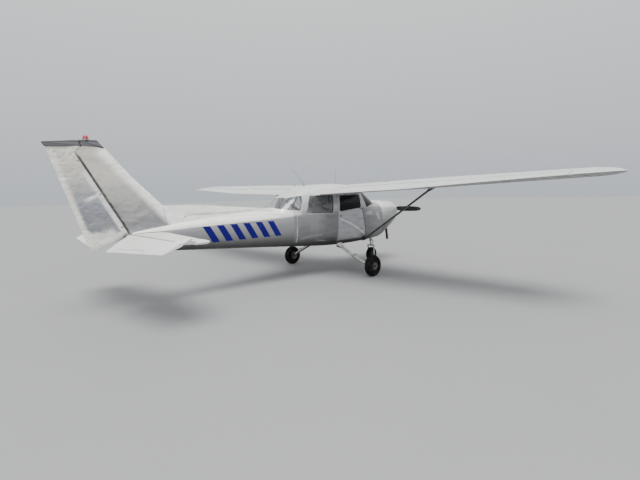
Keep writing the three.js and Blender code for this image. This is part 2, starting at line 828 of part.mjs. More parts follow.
// The nose centre and radius of a surface hinged at a fraction of the chord.
function surfaceNose(y, fraction) {
  const station = wingStation(y);
  const { upper, lower } = aerofoilHeights(fraction);
  const radius = (0.5 * (upper - lower)) * station.chord;
  const centre = sectionPoint(y, station, fraction, 0.5 * (upper + lower) * station.chord);
  centre.x -= radius * 0.2;
  return { centre, radius, station };
}

function coveRing(y, fraction, side) {
  const { centre, radius, station } = surfaceNose(y, fraction);
  const ahead = centre.x + radius + controlGap;
  const behind = station.lead - station.chord - cove.past;
  return [[ahead, -cove.high], [ahead, cove.high], [behind, cove.high], [behind, -cove.high]]
    .map(([x, z]) => at(x, side * y, centre.z + z));
}

function coveCut(inner, outer, fraction, side) {
  return loft([inner, outer].map((y) => coveRing(y, fraction, side)));
}

// A moving surface with a round nose about its centre line and straight flanks to a thin edge.
function surfaceRing(y, fraction, side) {
  const { centre, radius, station } = surfaceNose(y, fraction);
  const ring = [-90, -45, 0, 45, 90].map((turn) => at(centre.x + radius * Math.cos(radians(turn)),
    side * y, centre.z + radius * Math.sin(radians(turn))));
  const middle = 0.5 * (fraction + 1);
  const heights = aerofoilHeights(middle);
  const edge = sectionPoint(y, station, 1, 0);
  const upper = sectionPoint(y, station, middle, heights.upper * station.chord);
  const lower = sectionPoint(y, station, middle, heights.lower * station.chord);
  return [...ring, at(upper.x, side * y, upper.z), at(edge.x, side * y, edge.z + trailingHalf),
    at(edge.x, side * y, edge.z - trailingHalf), at(lower.x, side * y, lower.z)];
}

function wingSurface({ inner, outer, fraction }, side) {
  return loft([inner, outer].map((y) => surfaceRing(y, fraction, side)));
}

// Frames on the straight line through the nose centres of a wing surface's two ends.
function wingHinges({ inner, outer, fraction, hinges }, side) {
  const [start, end] = [inner, outer].map((y) => {
    const { centre, radius } = surfaceNose(y, fraction);
    return { centre: at(centre.x, side * centre.y, centre.z), radius };
  });
  const along = end.centre.clone().sub(start.centre).multiplyScalar(side);
  return hinges.map((y) => {
    const share = (y - inner) / (outer - inner);
    return {
      frame: hingeFrame(start.centre.clone().lerp(end.centre, share), along, at(1, 0, 0)),
      reach: lerp(start.radius, end.radius, share) + controlGap + hinge.seat,
    };
  });
}

// A band along an arc about a point below the frame's origin, from one angle aft to another.
function arcBand(drop, half, from, to, thick) {
  const steps = 5;
  const edge = (radius, start, end) => Array.from({ length: steps + 1 }, (_, i) => {
    const turn = radians(lerp(start, end, i / steps));
    return [-radius * Math.sin(turn), radius * Math.cos(turn) - drop];
  });
  return sidePrism([...edge(drop + half, from, to), ...edge(drop - half, to, from)], -thick, thick);
}

// The curved track that a flap's pin follows.
function flapTrack({ frame, reach }) {
  const { drop, travel } = flap;
  const slack = THREE.MathUtils.radToDeg((hinge.pin + hinge.play) / drop);
  const band = arcBand(drop, hinge.eye, -2 * slack, travel + 2.4 * slack, lugHalf);
  const groove = arcBand(drop, hinge.pin + hinge.play, -slack, travel + slack, 2 * lugHalf);
  const root = box(hinge.pin, reach, -lugHalf, lugHalf, -0.8 * hinge.eye, 0.8 * hinge.eye);
  return union(root, band).subtract(groove).transform(frame.elements);
}

function flapSolid(side) {
  const back = flap.drop * Math.sin(radians(flap.travel)) + hinge.eye + 2 * hinge.side;
  return hung(wingSurface(flap, side), wingHinges(flap, side).map(({ frame }) => frame), back);
}

function aileronSolid(side) {
  return hung(wingSurface(aileron, side), wingHinges(aileron, side).map(({ frame }) => frame));
}

function wingSolid(side) {
  const cutInner = flap.inner - controlSideGap;
  const cutOuter = aileron.outer + controlSideGap;
  const middle = 0.5 * (flap.outer + aileron.inner);
  return loft(wingRings(side)).subtract(coveCut(cutInner, middle, flap.fraction, side))
    .subtract(coveCut(middle - 1, cutOuter, aileron.fraction, side));
}

function tieDownBlock(side) {
  const [x, y, z] = wingStrut.head;
  const { length, width, height, behind, drop } = tieDown;
  return box(x - behind - length, x - behind, side * (y - 0.5 * width), side * (y + 0.5 * width),
    z - drop - height, z + 10);
}

function wing(side) {
  const lugs = wingHinges(aileron, side).map(({ frame, reach }) => hingeLug(frame, reach));
  const tracks = wingHinges(flap, side).map(flapTrack);
  return union(wingSolid(side), tieDownBlock(side), ...lugs, ...tracks);
}

function strutRing([x, y, z], side, tilt) {
  const sides = 12;
  return Array.from({ length: sides }, (_, i) => {
    const turn = (2 * Math.PI * i) / sides;
    const across = 0.5 * wingStrut.thickness * Math.sin(turn);
    return at(x + 0.5 * wingStrut.chord * Math.cos(turn), side * (y - across * Math.sin(tilt)),
      z + across * Math.cos(tilt));
  });
}

function wingStrutSolid(side) {
  const { foot, head } = wingStrut;
  const run = [head[0] - foot[0], head[1] - foot[1], head[2] - foot[2]];
  const tilt = Math.atan2(run[2], run[1]);
  const past = head.map((value, k) => value + 0.06 * run[k]);
  const within = foot.map((value, k) => value - 0.04 * run[k]);
  const skin = wingSolid(side);
  const withinWing = head[2] + wingStrut.thickness;
  return loft([strutRing(within, side, tilt), strutRing(past, side, tilt)])
    .subtract(skin.translate([0, 0, -fit])).subtract(skin)
    .intersect(box(-far, far, -far, far, 0, withinWing))
    .subtract(outside.translate([0, side * fit, 0])).subtract(outside.translate([0, 0, -fit]));
}

// Tail

function foil(lead, rear, half) {
  const chord = lead - rear;
  const rows = [[0.03, 0.4], [0.12, 0.75], [0.35, 1], [0.6, 1]];
  const flank = rows.map(([f, t]) => [lead - f * chord, t * half]);
  const end = [rear, 0.82 * half];
  return [[lead, 0], ...flank, end, [rear, -end[1]], ...flank.reverse().map(([x, t]) => [x, -t])];
}

const rudderHingeAt = (z) => rudderHinge.x + (z - rudderHinge.z) * rudderHinge.slope;
const rudderTrailAt = (z) => rudderTrail.x + (z - rudderTrail.z) * rudderTrail.slope;
const hingeLean = Math.hypot(1, rudderHinge.slope);

const finRear = (z) => rudderHingeAt(z) + (between(rudderNose, z, 1) + controlGap) * hingeLean;

function rudderHinges() {
  const { slope, heights } = rudderHinge;
  return heights.map((z) => ({
    frame: hingeFrame(at(rudderHingeAt(z), 0, z), at(slope, 0, 1), at(1, 0, -slope)),
    reach: between(rudderNose, z, 1) + controlGap + hinge.seat,
  }));
}

// The space inside the fin, open behind, between ribs where the rudder's lugs stand.
function finHollow() {
  const lean = -rudderHinge.slope / hingeLean;
  const ribs = rudderHinges().map(({ reach }, i) => rudderHinge.heights[i] + reach * lean);
  const ring = (z) => foil(between(finRows, z, 1) - 3 * wall.tailSkin, finRear(z) - 60,
    between(finRows, z, 2) - wall.tailSkin).map(([x, y]) => at(x, y, z));
  return union(...baysBetween(finRows[0][0], finTop - 30, ribs).map((bay) => loft(bay.map(ring))));
}

function finSolid() {
  const rings = finRows.map(([z, lead, half]) => foil(lead, finRear(z), half)
    .map(([x, y]) => at(x, y, z)));
  const dorsal = loft(dorsalRows.map(([x, top, half]) => {
    const base = between(fuselageRows, x, 2) - 40;
    return [at(x, -half, base), at(x, -half * 0.35, lerp(base, top, 0.6)), at(x, -5, top),
      at(x, 5, top), at(x, half * 0.35, lerp(base, top, 0.6)), at(x, half, base)];
  }));
  const blade = loft(rings).intersect(box(-far, far, -far, far, 0, finTop))
    .subtract(across(hornOutline, 0));
  const lugs = rudderHinges().map(({ frame, reach }) => hingeLug(frame, reach));
  return union(blade, dorsal).subtract(finHollow()).subtract(outside.translate([0, 0, fit]))
    .subtract(outside.translate([-fit, 0, fit])).subtract(rearWindowCut)
    .add(union(pillow(finCapOutline, finCapHalf), ...lugs));
}

// A side outline with its edges eased towards both flanks.
function pillow(outline, half) {
  const rings = [[-half, -9], [-half + 10, 0], [half - 10, 0], [half, -9]];
  return loft(rings.map(([y, growth]) => grown(outline, growth).map(([x, z]) => at(x, y, z))));
}

function rudderRing(z, front, trail, half) {
  const nose = [-90, -45, 0, 45, 90].map((turn) => {
    const reach = half * hingeLean * Math.cos(radians(turn));
    return at(front + reach, half * Math.sin(radians(turn)), z);
  });
  return [...nose, at(trail, trailingHalf, z), at(trail, -trailingHalf, z)];
}

function rudderSolid() {
  const noseAt = (z) => between(rudderNose, z, 1);
  const foot = rudderFootRows.map(([z, front, half]) => rudderRing(z, front, rudderTrailAt(z), half));
  const lower = loft([...foot,
    rudderRing(noseFoot, rudderHingeAt(noseFoot), rudderTrailAt(noseFoot), noseAt(noseFoot))]);
  const upper = loft([noseFoot, hornFoot].map((z) => rudderRing(z, rudderHingeAt(z),
    rudderTrailAt(z), noseAt(z))));
  const top = loft([
    rudderRing(hornFoot, rudderHingeAt(hornFoot), rudderTrailAt(hornFoot), noseAt(hornFoot)),
    rudderRing(hornFoot + horn.step, rudderHingeAt(hornFoot), rudderTrailAt(hornFoot + horn.step),
      noseAt(hornFoot)),
    rudderRing(finTop, horn.front, rudderTrailAt(finTop), horn.half),
  ]);
  return hung(union(lower, upper, top, pillow(rudderCapOutline, rudderCapHalf)),
    rudderHinges().map(({ frame }) => frame));
}

const stabiliserRear = (y) => elevatorHinge + controlGap
  + lerp(elevator.innerNose, elevator.outerNose, Math.abs(y) / elevator.outer);

function stabiliserRow(y, rear, growth) {
  const { rootLead, tipLead, tip, rootHalf, tipHalf } = stabiliser;
  const share = Math.abs(y) / tip;
  const half = lerp(rootHalf, tipHalf, share) + growth;
  const lead = lerp(rootLead, tipLead, share) + (growth < 0 ? 3 : 1) * growth;
  return foil(lead, rear - Math.abs(growth), half).map(([x, z]) => at(x, y, stabiliserHeight + z));
}

function stabiliserSolid(growth) {
  const { tipLead, tip, hornInner, tipRear } = stabiliser;
  const main = loft([-hornInner, 0, hornInner]
    .map((y) => stabiliserRow(y, stabiliserRear(y), growth)));
  const ends = [-1, 1].map((side) => loft([
    stabiliserRow(side * (hornInner - 6), tipRear, growth),
    stabiliserRow(side * (tip - 30), tipRear, growth),
    stabiliserRow(side * tip, tipRear + 20, growth).map((p) => at(lerp(p.x, tipLead - 90, 0.12),
      p.y, lerp(p.z, stabiliserHeight, 0.5))),
  ]));
  return union(main, ...ends);
}

function elevatorHinges() {
  return [-1, 1].flatMap((side) => elevator.hinges.map((y) => ({
    frame: hingeFrame(at(elevatorHinge, side * y, stabiliserHeight), at(0, 1, 0), at(1, 0, 0)),
    reach: elevatorNose(y) + controlGap + hinge.seat,
  })));
}

// The stabiliser is open behind, with ribs where the elevator's lugs stand.
function hollowStabiliser() {
  const bays = [-1, 1].flatMap((side) => baysBetween(ribHalf, stabiliser.hornInner - 2 * ribHalf,
    elevator.hinges).map((bay) => loft(bay.map((y) => stabiliserRow(side * y,
    stabiliserRear(y) - 60, -wall.tailSkin)))));
  const lugs = elevatorHinges().map(({ frame, reach }) => hingeLug(frame, reach));
  return union(stabiliserSolid(0).subtract(union(...bays)), ...lugs);
}

// A point of the elevator, by its distance behind the hinge and its height over its own plane.
function elevatorPoint(y, behind, up) {
  const droop = radians(elevator.droop);
  return at(elevatorHinge - behind * Math.cos(droop) - up * Math.sin(droop), y,
    stabiliserHeight - behind * Math.sin(droop) + up * Math.cos(droop));
}

const elevatorShare = (y) => (y - elevator.inner) / (elevator.outer - elevator.inner);
const elevatorChord = (y) => lerp(elevator.innerChord, elevator.outerChord, elevatorShare(y));
const elevatorNose = (y) => lerp(elevator.innerNose, elevator.outerNose, elevatorShare(y));

function elevatorRing(y, yTrail, side) {
  const radius = elevatorNose(y);
  const nose = [-90, -45, 0, 45, 90].map((turn) => elevatorPoint(side * y,
    -radius * Math.cos(radians(turn)), radius * Math.sin(radians(turn))));
  const chord = elevatorChord(yTrail);
  return [...nose, elevatorPoint(side * yTrail, chord, trailingHalf),
    elevatorPoint(side * yTrail, chord, -trailingHalf)];
}

function elevatorHalf(side) {
  const { inner, innerTrail, outer, hornInner, hornReach, outerNose } = elevator;
  const blade = loft([elevatorRing(inner, innerTrail, side), elevatorRing(outer - 40, outer - 40,
    side), elevatorRing(outer, outer, side)]);
  const horn = loft([hornInner, outer].map((y) => foil(hornReach, -60, outerNose)
    .map(([ahead, up]) => elevatorPoint(side * y, -ahead, up))));
  return union(blade, horn);
}

function tabCut() {
  const { inner, outer, chord, gap } = trimTab;
  return loft([inner - controlSideGap, outer + controlSideGap].map((y) => {
    const start = elevatorChord(y) - chord - gap;
    return [[start, -60], [start, 60], [start + 300, 60], [start + 300, -60]]
      .map(([behind, up]) => elevatorPoint(-y, behind, up));
  }));
}

function elevatorSolid() {
  const { tube, inner } = elevator;
  const torque = cylinder(tube, -inner - 20, inner + 20, [elevatorHinge, 0, stabiliserHeight], 'y', 12);
  const halves = union(elevatorHalf(1), elevatorHalf(-1), torque);
  return hung(halves, elevatorHinges().map(({ frame }) => frame)).subtract(tabCut())
    .subtract(tabPin(trimTab.pin + hinge.play, trimTab.seat + fit));
}

function tabNose(y) {
  const whole = elevatorChord(y);
  const start = whole - trimTab.chord;
  return { whole, start, half: lerp(elevatorNose(y), trailingHalf, start / whole) };
}

// The tab's hinge wire, which reaches past both ends of the tab into the elevator.
function tabPin(radius, seat) {
  const [inner, outer] = [trimTab.inner, trimTab.outer].map((y) => {
    const { start, half } = tabNose(y);
    return elevatorPoint(-y, start + half, 0);
  });
  const past = outer.clone().sub(inner).setLength(controlSideGap + seat);
  const ends = [inner.sub(past), outer.add(past)];
  return bar(ends.map((p) => [...p.toArray(), radius]), 8);
}

// The tab turns about the middle of its round front edge.
function trimTabSolid() {
  return loft([trimTab.inner, trimTab.outer].map((y) => {
    const { whole, start, half } = tabNose(y);
    const nose = [-90, -30, 30, 90].map((turn) => elevatorPoint(-y,
      start + half - half * Math.cos(radians(turn)), half * Math.sin(radians(turn))));
    return [...nose, elevatorPoint(-y, whole, trailingHalf), elevatorPoint(-y, whole,
      -trailingHalf)];
  })).add(tabPin(trimTab.pin, trimTab.seat));
}

function beaconSolid() {
  const { x, z, radius, height } = beacon;
  const profile = [[0, 4], [0, 0], [radius, 0], [radius, 0.4 * height], [0.8 * radius,
    0.8 * height], [0.4 * radius, height], [0, height]];
  return turned(profile, [x, 0, z], 'z', 14)
    .subtract(pillow(finCapOutline, finCapHalf).translate([0, 0, fit]));
}

// Landing gear

function tyre({ x, radius, width, rim }, y) {
  const half = 0.5 * width;
  const profile = [[rim, -0.62 * half], [rim + 0.2 * (radius - rim), -0.86 * half],
    [lerp(rim, radius, 0.55), -half], [radius - 0.2 * half, -0.78 * half], [radius, -0.34 * half],
    [radius, 0.34 * half], [radius - 0.2 * half, 0.78 * half], [lerp(rim, radius, 0.55), half],
    [rim + 0.2 * (radius - rim), 0.86 * half], [rim, 0.62 * half]];
  return turned(profile, [x, y, radius], 'y', tyreSides);
}

function rim({ x, radius, rim: outer, rimHalf, bore, hubHalf }, y, side, disc) {
  const edge = outer * Math.cos(Math.PI / tyreSides) - fit;
  const profile = [[bore, -hubHalf + 12], [0.45 * outer, -hubHalf + 12], [0.5 * outer,
    -rimHalf + 26], [0.9 * outer, -rimHalf + 20], [edge, -rimHalf], [edge, rimHalf],
  [0.9 * outer, rimHalf], [0.78 * outer, rimHalf - 22], [0.5 * outer, rimHalf - 22],
  [0.45 * outer, hubHalf - 12], [bore, hubHalf - 12]];
  const body = turned(profile, [x, y, radius], side < 0 ? '-y' : 'y', rimSides);
  if (!disc) return body;
  const plate = turned([[bore, -rimHalf - 8], [0.62 * outer, -rimHalf - 8], [1.12 * outer,
    -rimHalf - 10], [1.12 * outer, -rimHalf - 2], [0.62 * outer, -rimHalf], [0.5 * outer,
    -rimHalf + 20], [bore, -rimHalf + 20]], [x, y, radius], side < 0 ? '-y' : 'y', rimSides);
  return union(body, plate);
}

function mainLegSolid(side) {
  const leg = bar(mainLeg.map(([x, y, z, radius]) => [x, side * y, z, radius]), legSides);
  const { x, radius, bore } = mainWheel;
  const { inner, outer, flange: flangeRadius, flangeInner, flangeOuter } = mainAxle;
  const hub = [x, 0, radius];
  const axle = cylinder(bore - axlePlay, side * inner, side * outer, hub, 'y', rimSides);
  const flange = cylinder(flangeRadius, side * flangeInner, side * flangeOuter, hub, 'y', 16);
  const height = between(mainLeg.map((row) => [row[1], row[2]]), legStep.y, 1) + 30;
  const station = between(mainLeg.map((row) => [row[1], row[0]]), legStep.y, 1);
  const step = box(station - 0.5 * legStep.length, station + 0.5 * legStep.length,
    side * (legStep.y - 0.5 * legStep.width), side * (legStep.y + 0.5 * legStep.width),
    height, height + legStep.thickness);
  return union(leg, axle, flange, step);
}

function legOpening(side) {
  const [first, ...rest] = mainLeg.map(([x, y, z, radius]) => [x, side * y, z, radius + 2 * fit]);
  const deeper = first.map((value, k) => value - (k < 3 ? 0.1 * (rest[0][k] - value) : 0));
  return bar([deeper, first, ...rest], legSides);
}

const steeringAt = (z) => {
  const [x0, , z0] = steering.foot;
  const [x1, , z1] = steering.head;
  return lerp(x0, x1, (z - z0) / (z1 - z0));
};

function noseStrut() {
  const { barrel, barrelBottom, barrelTop, piston } = noseLeg;
  const tube = bar([[steeringAt(barrelBottom), 0, barrelBottom, barrel],
    [steeringAt(barrelTop), 0, barrelTop, barrel]], 16);
  const brackets = noseLegBrackets.map(([low, high, half]) => box(fit, steeringAt(low), -half, half,
    low, high));
  const bore = bar([[steeringAt(barrelBottom - 20), 0, barrelBottom - 20, piston + 0.6],
    [steeringAt(barrelBottom + 60), 0, barrelBottom + 60, piston + 0.6]], 16);
  return union(tube, ...brackets).subtract(bore);
}

function noseFork() {
  const { pistonTop, piston, barrelBottom } = noseLeg;
  const { crown, half, thickness, width } = fork;
  const rod = bar([[steeringAt(crown), 0, crown, piston],
    [steeringAt(barrelBottom + 50), 0, barrelBottom + 50, piston]], 16);
  const bridge = box(steeringAt(crown) - 45, steeringAt(crown) + 45, -half - thickness,
    half + thickness, crown - 34, crown);
  const arms = [-1, 1].map((side) => loft([[crown - 20, steeringAt(crown)],
    [noseWheel.radius - 30, noseWheel.x]].map(([z, x]) => [
    at(x - 0.5 * width, side * half, z), at(x + 0.5 * width, side * half, z),
    at(x + 0.5 * width, side * (half + thickness), z),
    at(x - 0.5 * width, side * (half + thickness), z)])));
  const reach = half + thickness + 14;
  const axle = cylinder(noseWheel.bore - axlePlay, -reach, reach, [noseWheel.x, 0, noseWheel.radius],
    'y', rimSides);
  const links = box(steeringAt(pistonTop) + piston - 6, steeringAt(pistonTop) + piston + 60, -16, 16,
    crown - 20, pistonTop + 16);
  return union(rod, bridge, ...arms, axle, links);
}

// Cabin fittings

function padded(outline, { rear, front, half, top }, y, width) {
  const base = box(rear, front, y - half, y + half, floorTop + fit, top);
  return sidePrism(outline, y - width, y + width).add(base);
}

function instrumentPanel() {
  const { rear, front, bottom, top } = panel;
  const board = lining(wall.cabin + fit)
    .intersect(box(rear, front, -far, far, bottom, top));
  const shelf = lining(wall.cabin + fit)
    .intersect(box(rear - 60, -60, -far, far, top - 40, top));
  const yokes = [-1, 1].flatMap((side) => {
    const y = side * yoke.y;
    const handle = rear - yoke.reach;
    const shaft = cylinder(yoke.radius, handle, front, [0, y, yoke.z], 'x', 10);
    const across = box(handle - yoke.bar, handle + yoke.bar, y - yoke.half, y + yoke.half,
      yoke.z - yoke.bar, yoke.z + yoke.bar);
    const grips = [-1, 1].map((end) => y + end * yoke.half).map((middle) => box(
      handle - yoke.bar, handle + yoke.bar, middle - yoke.bar, middle + yoke.bar,
      yoke.z - yoke.bar, yoke.z + yoke.grip));
    return [shaft, across, ...grips];
  });
  return union(board, shelf, ...yokes);
}

// Assembly

const finishes = {
  skin: [0xb9bcc0, 0.4, 0.7],
  wing: [0xdfe1e2, 0.5, 0.3],
  glass: [0x20262a, 0.1, 0],
  rubber: [0x17181a, 0.9, 0],
  rim: [0x9a9da1, 0.4, 0.8],
  white: [0xe8e8e6, 0.5, 0.1],
  black: [0x18191b, 0.5, 0.1],
  lamp: [0xb3151b, 0.3, 0],
  fabric: [0x6f6a64, 0.95, 0],
  iron: [0x4a4c4f, 0.7, 0.6],
};

const aircraft = new THREE.Group();

function add(name, finish, solid) {
  const { vertProperties, triVerts, numProp } = solid.getMesh();
  const positions = [];
  for (let i = 0; i < vertProperties.length; i += numProp) {
    positions.push(...vertProperties.subarray(i, i + 3));
  }
  const geometry = new THREE.BufferGeometry();
  geometry.setAttribute('position', new THREE.Float32BufferAttribute(positions, 3));
  geometry.setIndex([...triVerts]);
  geometry.computeVertexNormals();
  const [color, roughness, metalness] = finishes[finish];
  const material = new THREE.MeshStandardMaterial({ color, roughness, metalness });
  const mesh = new THREE.Mesh(geometry, material);
  mesh.name = name;
  aircraft.add(mesh);
}

const sides = [[1, 'left'], [-1, 'right']];

add('firewall', 'iron', firewall());
add('cabin_floor', 'skin', cabinFloor().subtract(legOpening(1)).subtract(legOpening(-1)));
add('front_deck', 'skin', frontDeck());
add('cabin_roof', 'wing', cabinRoof());
add('windshield', 'glass', windshield());
add('rear_window', 'glass', rearWindow());
add('baggage_wall', 'fabric', baggageWall());
add('baggage_door', 'skin', baggageHatch());
add('tailcone', 'skin', tailcone());
add('fin', 'wing', finSolid());
add('beacon', 'lamp', beaconSolid());
add('stabiliser', 'wing', hollowStabiliser());
add('elevator', 'wing', elevatorSolid());
add('trim_tab', 'wing', trimTabSolid());
add('rudder', 'wing', rudderSolid());
add('cowl_upper', 'skin', cowlUpper());
add('cowl_lower', 'skin', cowlLower());
add('engine', 'iron', engineBlock());
add('exhaust_pipe', 'iron', exhaustPipe());
add('propeller', 'black', propellerSolid());
add('spinner', 'rim', spinnerSolid());
add('instrument_panel', 'black', instrumentPanel());
add('rear_bench', 'fabric', padded(benchOutline, benchBase, 0, bench.half));
add('nose_strut', 'rim', noseStrut());
add('nose_fork', 'rim', noseFork());
add('nose_wheel', 'rim', rim(noseWheel, 0, 1, false));
add('nose_tyre', 'rubber', tyre(noseWheel, 0));

for (const [side, label] of sides) {
  add(`cabin_side_${label}`, 'skin', cabinSide(side));
  add(`side_window_${label}`, 'glass', pane(sideWindowOutline, side));
  add(`door_${label}`, 'skin', door(side));
  add(`door_window_${label}`, 'glass', pane(doorWindowOutline, side));
  add(`seat_front_${label}`, 'fabric', padded(seatOutline, seatBase, side * seat.y, seat.half));
  add(`wing_${label}`, 'wing', wing(side));
  add(`flap_${label}`, 'wing', flapSolid(side));
  add(`aileron_${label}`, 'wing', aileronSolid(side));
  add(`wing_strut_${label}`, 'wing', wingStrutSolid(side));
  add(`main_leg_${label}`, 'white', mainLegSolid(side));
  add(`main_wheel_${label}`, 'rim', rim(mainWheel, side * mainWheel.y, side, true));
  add(`main_tyre_${label}`, 'rubber', tyre(mainWheel, side * mainWheel.y));
}

aircraft.position.x = -0.5 * (noseTip + tailTip);

export default aircraft;
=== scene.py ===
# Light aircraft with four seats and a high braced wing, parked on its three wheels.
# Tables are in millimetres from the firewall, and point() turns them into the frame's metres.
import json
import math

import bmesh
import bpy
import numpy as np
from mathutils import Matrix, Vector, noise
from mathutils.bvhtree import BVHTree

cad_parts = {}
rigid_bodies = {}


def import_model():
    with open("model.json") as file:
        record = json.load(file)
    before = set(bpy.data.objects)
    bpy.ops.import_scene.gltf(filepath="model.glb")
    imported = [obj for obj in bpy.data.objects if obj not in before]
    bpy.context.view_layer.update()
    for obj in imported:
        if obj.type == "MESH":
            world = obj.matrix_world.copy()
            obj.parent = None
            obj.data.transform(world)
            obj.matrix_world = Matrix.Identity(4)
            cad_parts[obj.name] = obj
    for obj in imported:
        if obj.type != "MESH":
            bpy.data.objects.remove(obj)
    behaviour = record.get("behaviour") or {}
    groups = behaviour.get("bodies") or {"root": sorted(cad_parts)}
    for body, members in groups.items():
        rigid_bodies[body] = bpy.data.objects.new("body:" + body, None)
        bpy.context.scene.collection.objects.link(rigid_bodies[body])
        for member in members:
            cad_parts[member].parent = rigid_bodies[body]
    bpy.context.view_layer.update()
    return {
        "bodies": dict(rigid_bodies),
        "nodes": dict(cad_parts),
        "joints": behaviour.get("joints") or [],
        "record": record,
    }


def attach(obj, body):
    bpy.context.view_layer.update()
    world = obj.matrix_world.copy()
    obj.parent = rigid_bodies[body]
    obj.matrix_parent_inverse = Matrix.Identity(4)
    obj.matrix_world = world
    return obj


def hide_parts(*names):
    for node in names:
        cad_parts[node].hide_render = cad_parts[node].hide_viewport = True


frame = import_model()
originStation = -2889.0  # the frame's origin, as a station behind the firewall
sides = ((1, "left"), (-1, "right"))


def point(station, y, z):
    return Vector(((station - originStation) / 1000, y / 1000, z / 1000))


# Camera, sky, lights and floor

view = {"place": (-5.401133, -6.359760, 1.716948), "yaw": 0.7705595, "pitch": -0.1091904,
        "roll": -0.0168228, "lens": 22.59, "sensor": 36, "farthest": 400}
studio = {"floorHalf": 150, "skyTop": (1.0, 1.0, 1.0, 1), "skyEdge": (0.56, 0.60, 0.65, 1),
          "skyBlend": 0.6, "skyStrength": 1.08, "sunPower": 4.1, "sunSpread": 35,
          "sunAim": (0.25, 0.35, -1), "fillPlace": (-9, -9, 6), "fillAim": (0, 0, 1.2),
          "fillSize": 7, "fillPower": 260}


def linked(name, data):
    made = bpy.data.objects.new(name, data)
    bpy.context.scene.collection.objects.link(made)
    return made


def makeCamera():
    data = bpy.data.cameras.new("camera")
    data.lens = view["lens"]
    data.sensor_width = view["sensor"]
    data.clip_end = view["farthest"]
    camera = linked("camera", data)
    yaw, pitch, roll = view["yaw"], view["pitch"], view["roll"]
    ahead = Vector((math.cos(yaw) * math.cos(pitch), math.sin(yaw) * math.cos(pitch),
                    math.sin(pitch)))
    right = ahead.cross(Vector((0, 0, 1))).normalized()
    up = right.cross(ahead)
    turnedRight = math.cos(roll) * right + math.sin(roll) * up
    turnedUp = -math.sin(roll) * right + math.cos(roll) * up
    turn = Matrix((turnedRight, turnedUp, -ahead)).transposed()
    camera.matrix_world = Matrix.Translation(view["place"]) @ turn.to_4x4()
    bpy.context.scene.camera = camera


def makeNode(tree, kind, inputs=None, **settings):
    made = tree.nodes.new(kind)
    for key, value in settings.items():
        setattr(made, key, value)
    for key, value in (inputs or {}).items():
        if isinstance(value, bpy.types.NodeSocket):
            tree.links.new(value, made.inputs[key])
        else:
            made.inputs[key].default_value = value
    return made


def calc(tree, operation, first, second=0.0, third=None, clamp=False):
    inputs = {0: first, 1: second}
    if third is not None:
        inputs[2] = third
    return makeNode(tree, "ShaderNodeMath", inputs, operation=operation, use_clamp=clamp).outputs[0]


def plus(tree, first, second, clamp=False):
    return calc(tree, "ADD", first, second, clamp=clamp)


def minus(tree, first, second):
    return calc(tree, "SUBTRACT", first, second)


def times(tree, first, second, clamp=False):
    return calc(tree, "MULTIPLY", first, second, clamp=clamp)


def axesOf(tree, place):
    return makeNode(tree, "ShaderNodeSeparateXYZ", {0: place}).outputs


def cloudNoise(tree, place, scale, detail, **more):
    inputs = {"Vector": place, "Scale": scale, "Detail": detail, **more}
    return makeNode(tree, "ShaderNodeTexNoise", inputs).outputs[0]


def ranged(tree, value, low, high, start=0.0, end=1.0, **settings):
    inputs = {0: value, 1: low, 2: high, 3: start, 4: end}
    return makeNode(tree, "ShaderNodeMapRange", inputs, **settings).outputs[0]


def makeWorld():
    world = bpy.data.worlds.new("studio")
    bpy.context.scene.world = world
    world.use_nodes = True
    tree = world.node_tree
    tree.nodes.clear()
    height = axesOf(tree, makeNode(tree, "ShaderNodeTexCoord").outputs["Generated"])[2]
    ramp = makeNode(tree, "ShaderNodeValToRGB", {0: height})
    low, high = ramp.color_ramp.elements
    low.color = studio["skyEdge"]
    high.color = studio["skyTop"]
    high.position = studio["skyBlend"]
    sky = makeNode(tree, "ShaderNodeBackground", {0: ramp.outputs[0], 1: studio["skyStrength"]})
    makeNode(tree, "ShaderNodeOutputWorld", {0: sky.outputs[0]})


def makeLamp(name, kind, energy, aim, place=(0, 0, 0), **settings):
    data = bpy.data.lights.new(name, kind)
    data.energy = energy
    for key, value in settings.items():
        setattr(data, key, value)
    lamp = linked(name, data)
    lamp.location = place
    lamp.rotation_mode = "QUATERNION"
    lamp.rotation_quaternion = (Vector(aim) - Vector(place)).to_track_quat("-Z", "Y")


makeCamera()
makeWorld()
makeLamp("softSun", "SUN", studio["sunPower"], studio["sunAim"],
         angle=math.radians(studio["sunSpread"]))
makeLamp("fillLight", "AREA", studio["fillPower"], studio["fillAim"], studio["fillPlace"],
         size=studio["fillSize"])
print("camera, sky and lights are set")

# Mesh helpers


def loft(rings, closedEnds=True, loop=False):
    count = len(rings[0])
    vertices = [tuple(p) for ring in rings for p in ring]
    faces = []
    for i in range(len(rings) if loop else len(rings) - 1):
        a, b = i * count, ((i + 1) % len(rings)) * count
        for j in range(count):
            k = (j + 1) % count
            faces.append((a + j, a + k, b + k, b + j))
    if closedEnds and not loop:
        faces.append(tuple(range(count))[::-1])
        faces.append(tuple(range((len(rings) - 1) * count, len(rings) * count)))
    return vertices, faces


def joined(*parts):
    vertices, faces = [], []
    for partVertices, partFaces in parts:
        start = len(vertices)
        vertices += list(partVertices)
        faces += [tuple(start + i for i in face) for face in partFaces]
    return vertices, faces


def markSharp(work, sharpAngle):
    limit = math.radians(sharpAngle)
    for face in work.faces:
        face.smooth = True
    for edge in work.edges:
        edge.smooth = edge.calc_face_angle(0.0) < limit


def editMesh(mesh, *steps):
    work = bmesh.new()
    work.from_mesh(mesh)
    for step in steps:
        step(work)
    work.to_mesh(mesh)
    work.free()


def cleanFaces(work, merge=1e-5, thinnest=1e-6):
    bmesh.ops.remove_doubles(work, verts=work.verts, dist=merge)
    bmesh.ops.dissolve_degenerate(work, edges=work.edges, dist=thinnest)
    bmesh.ops.recalc_face_normals(work, faces=work.faces)


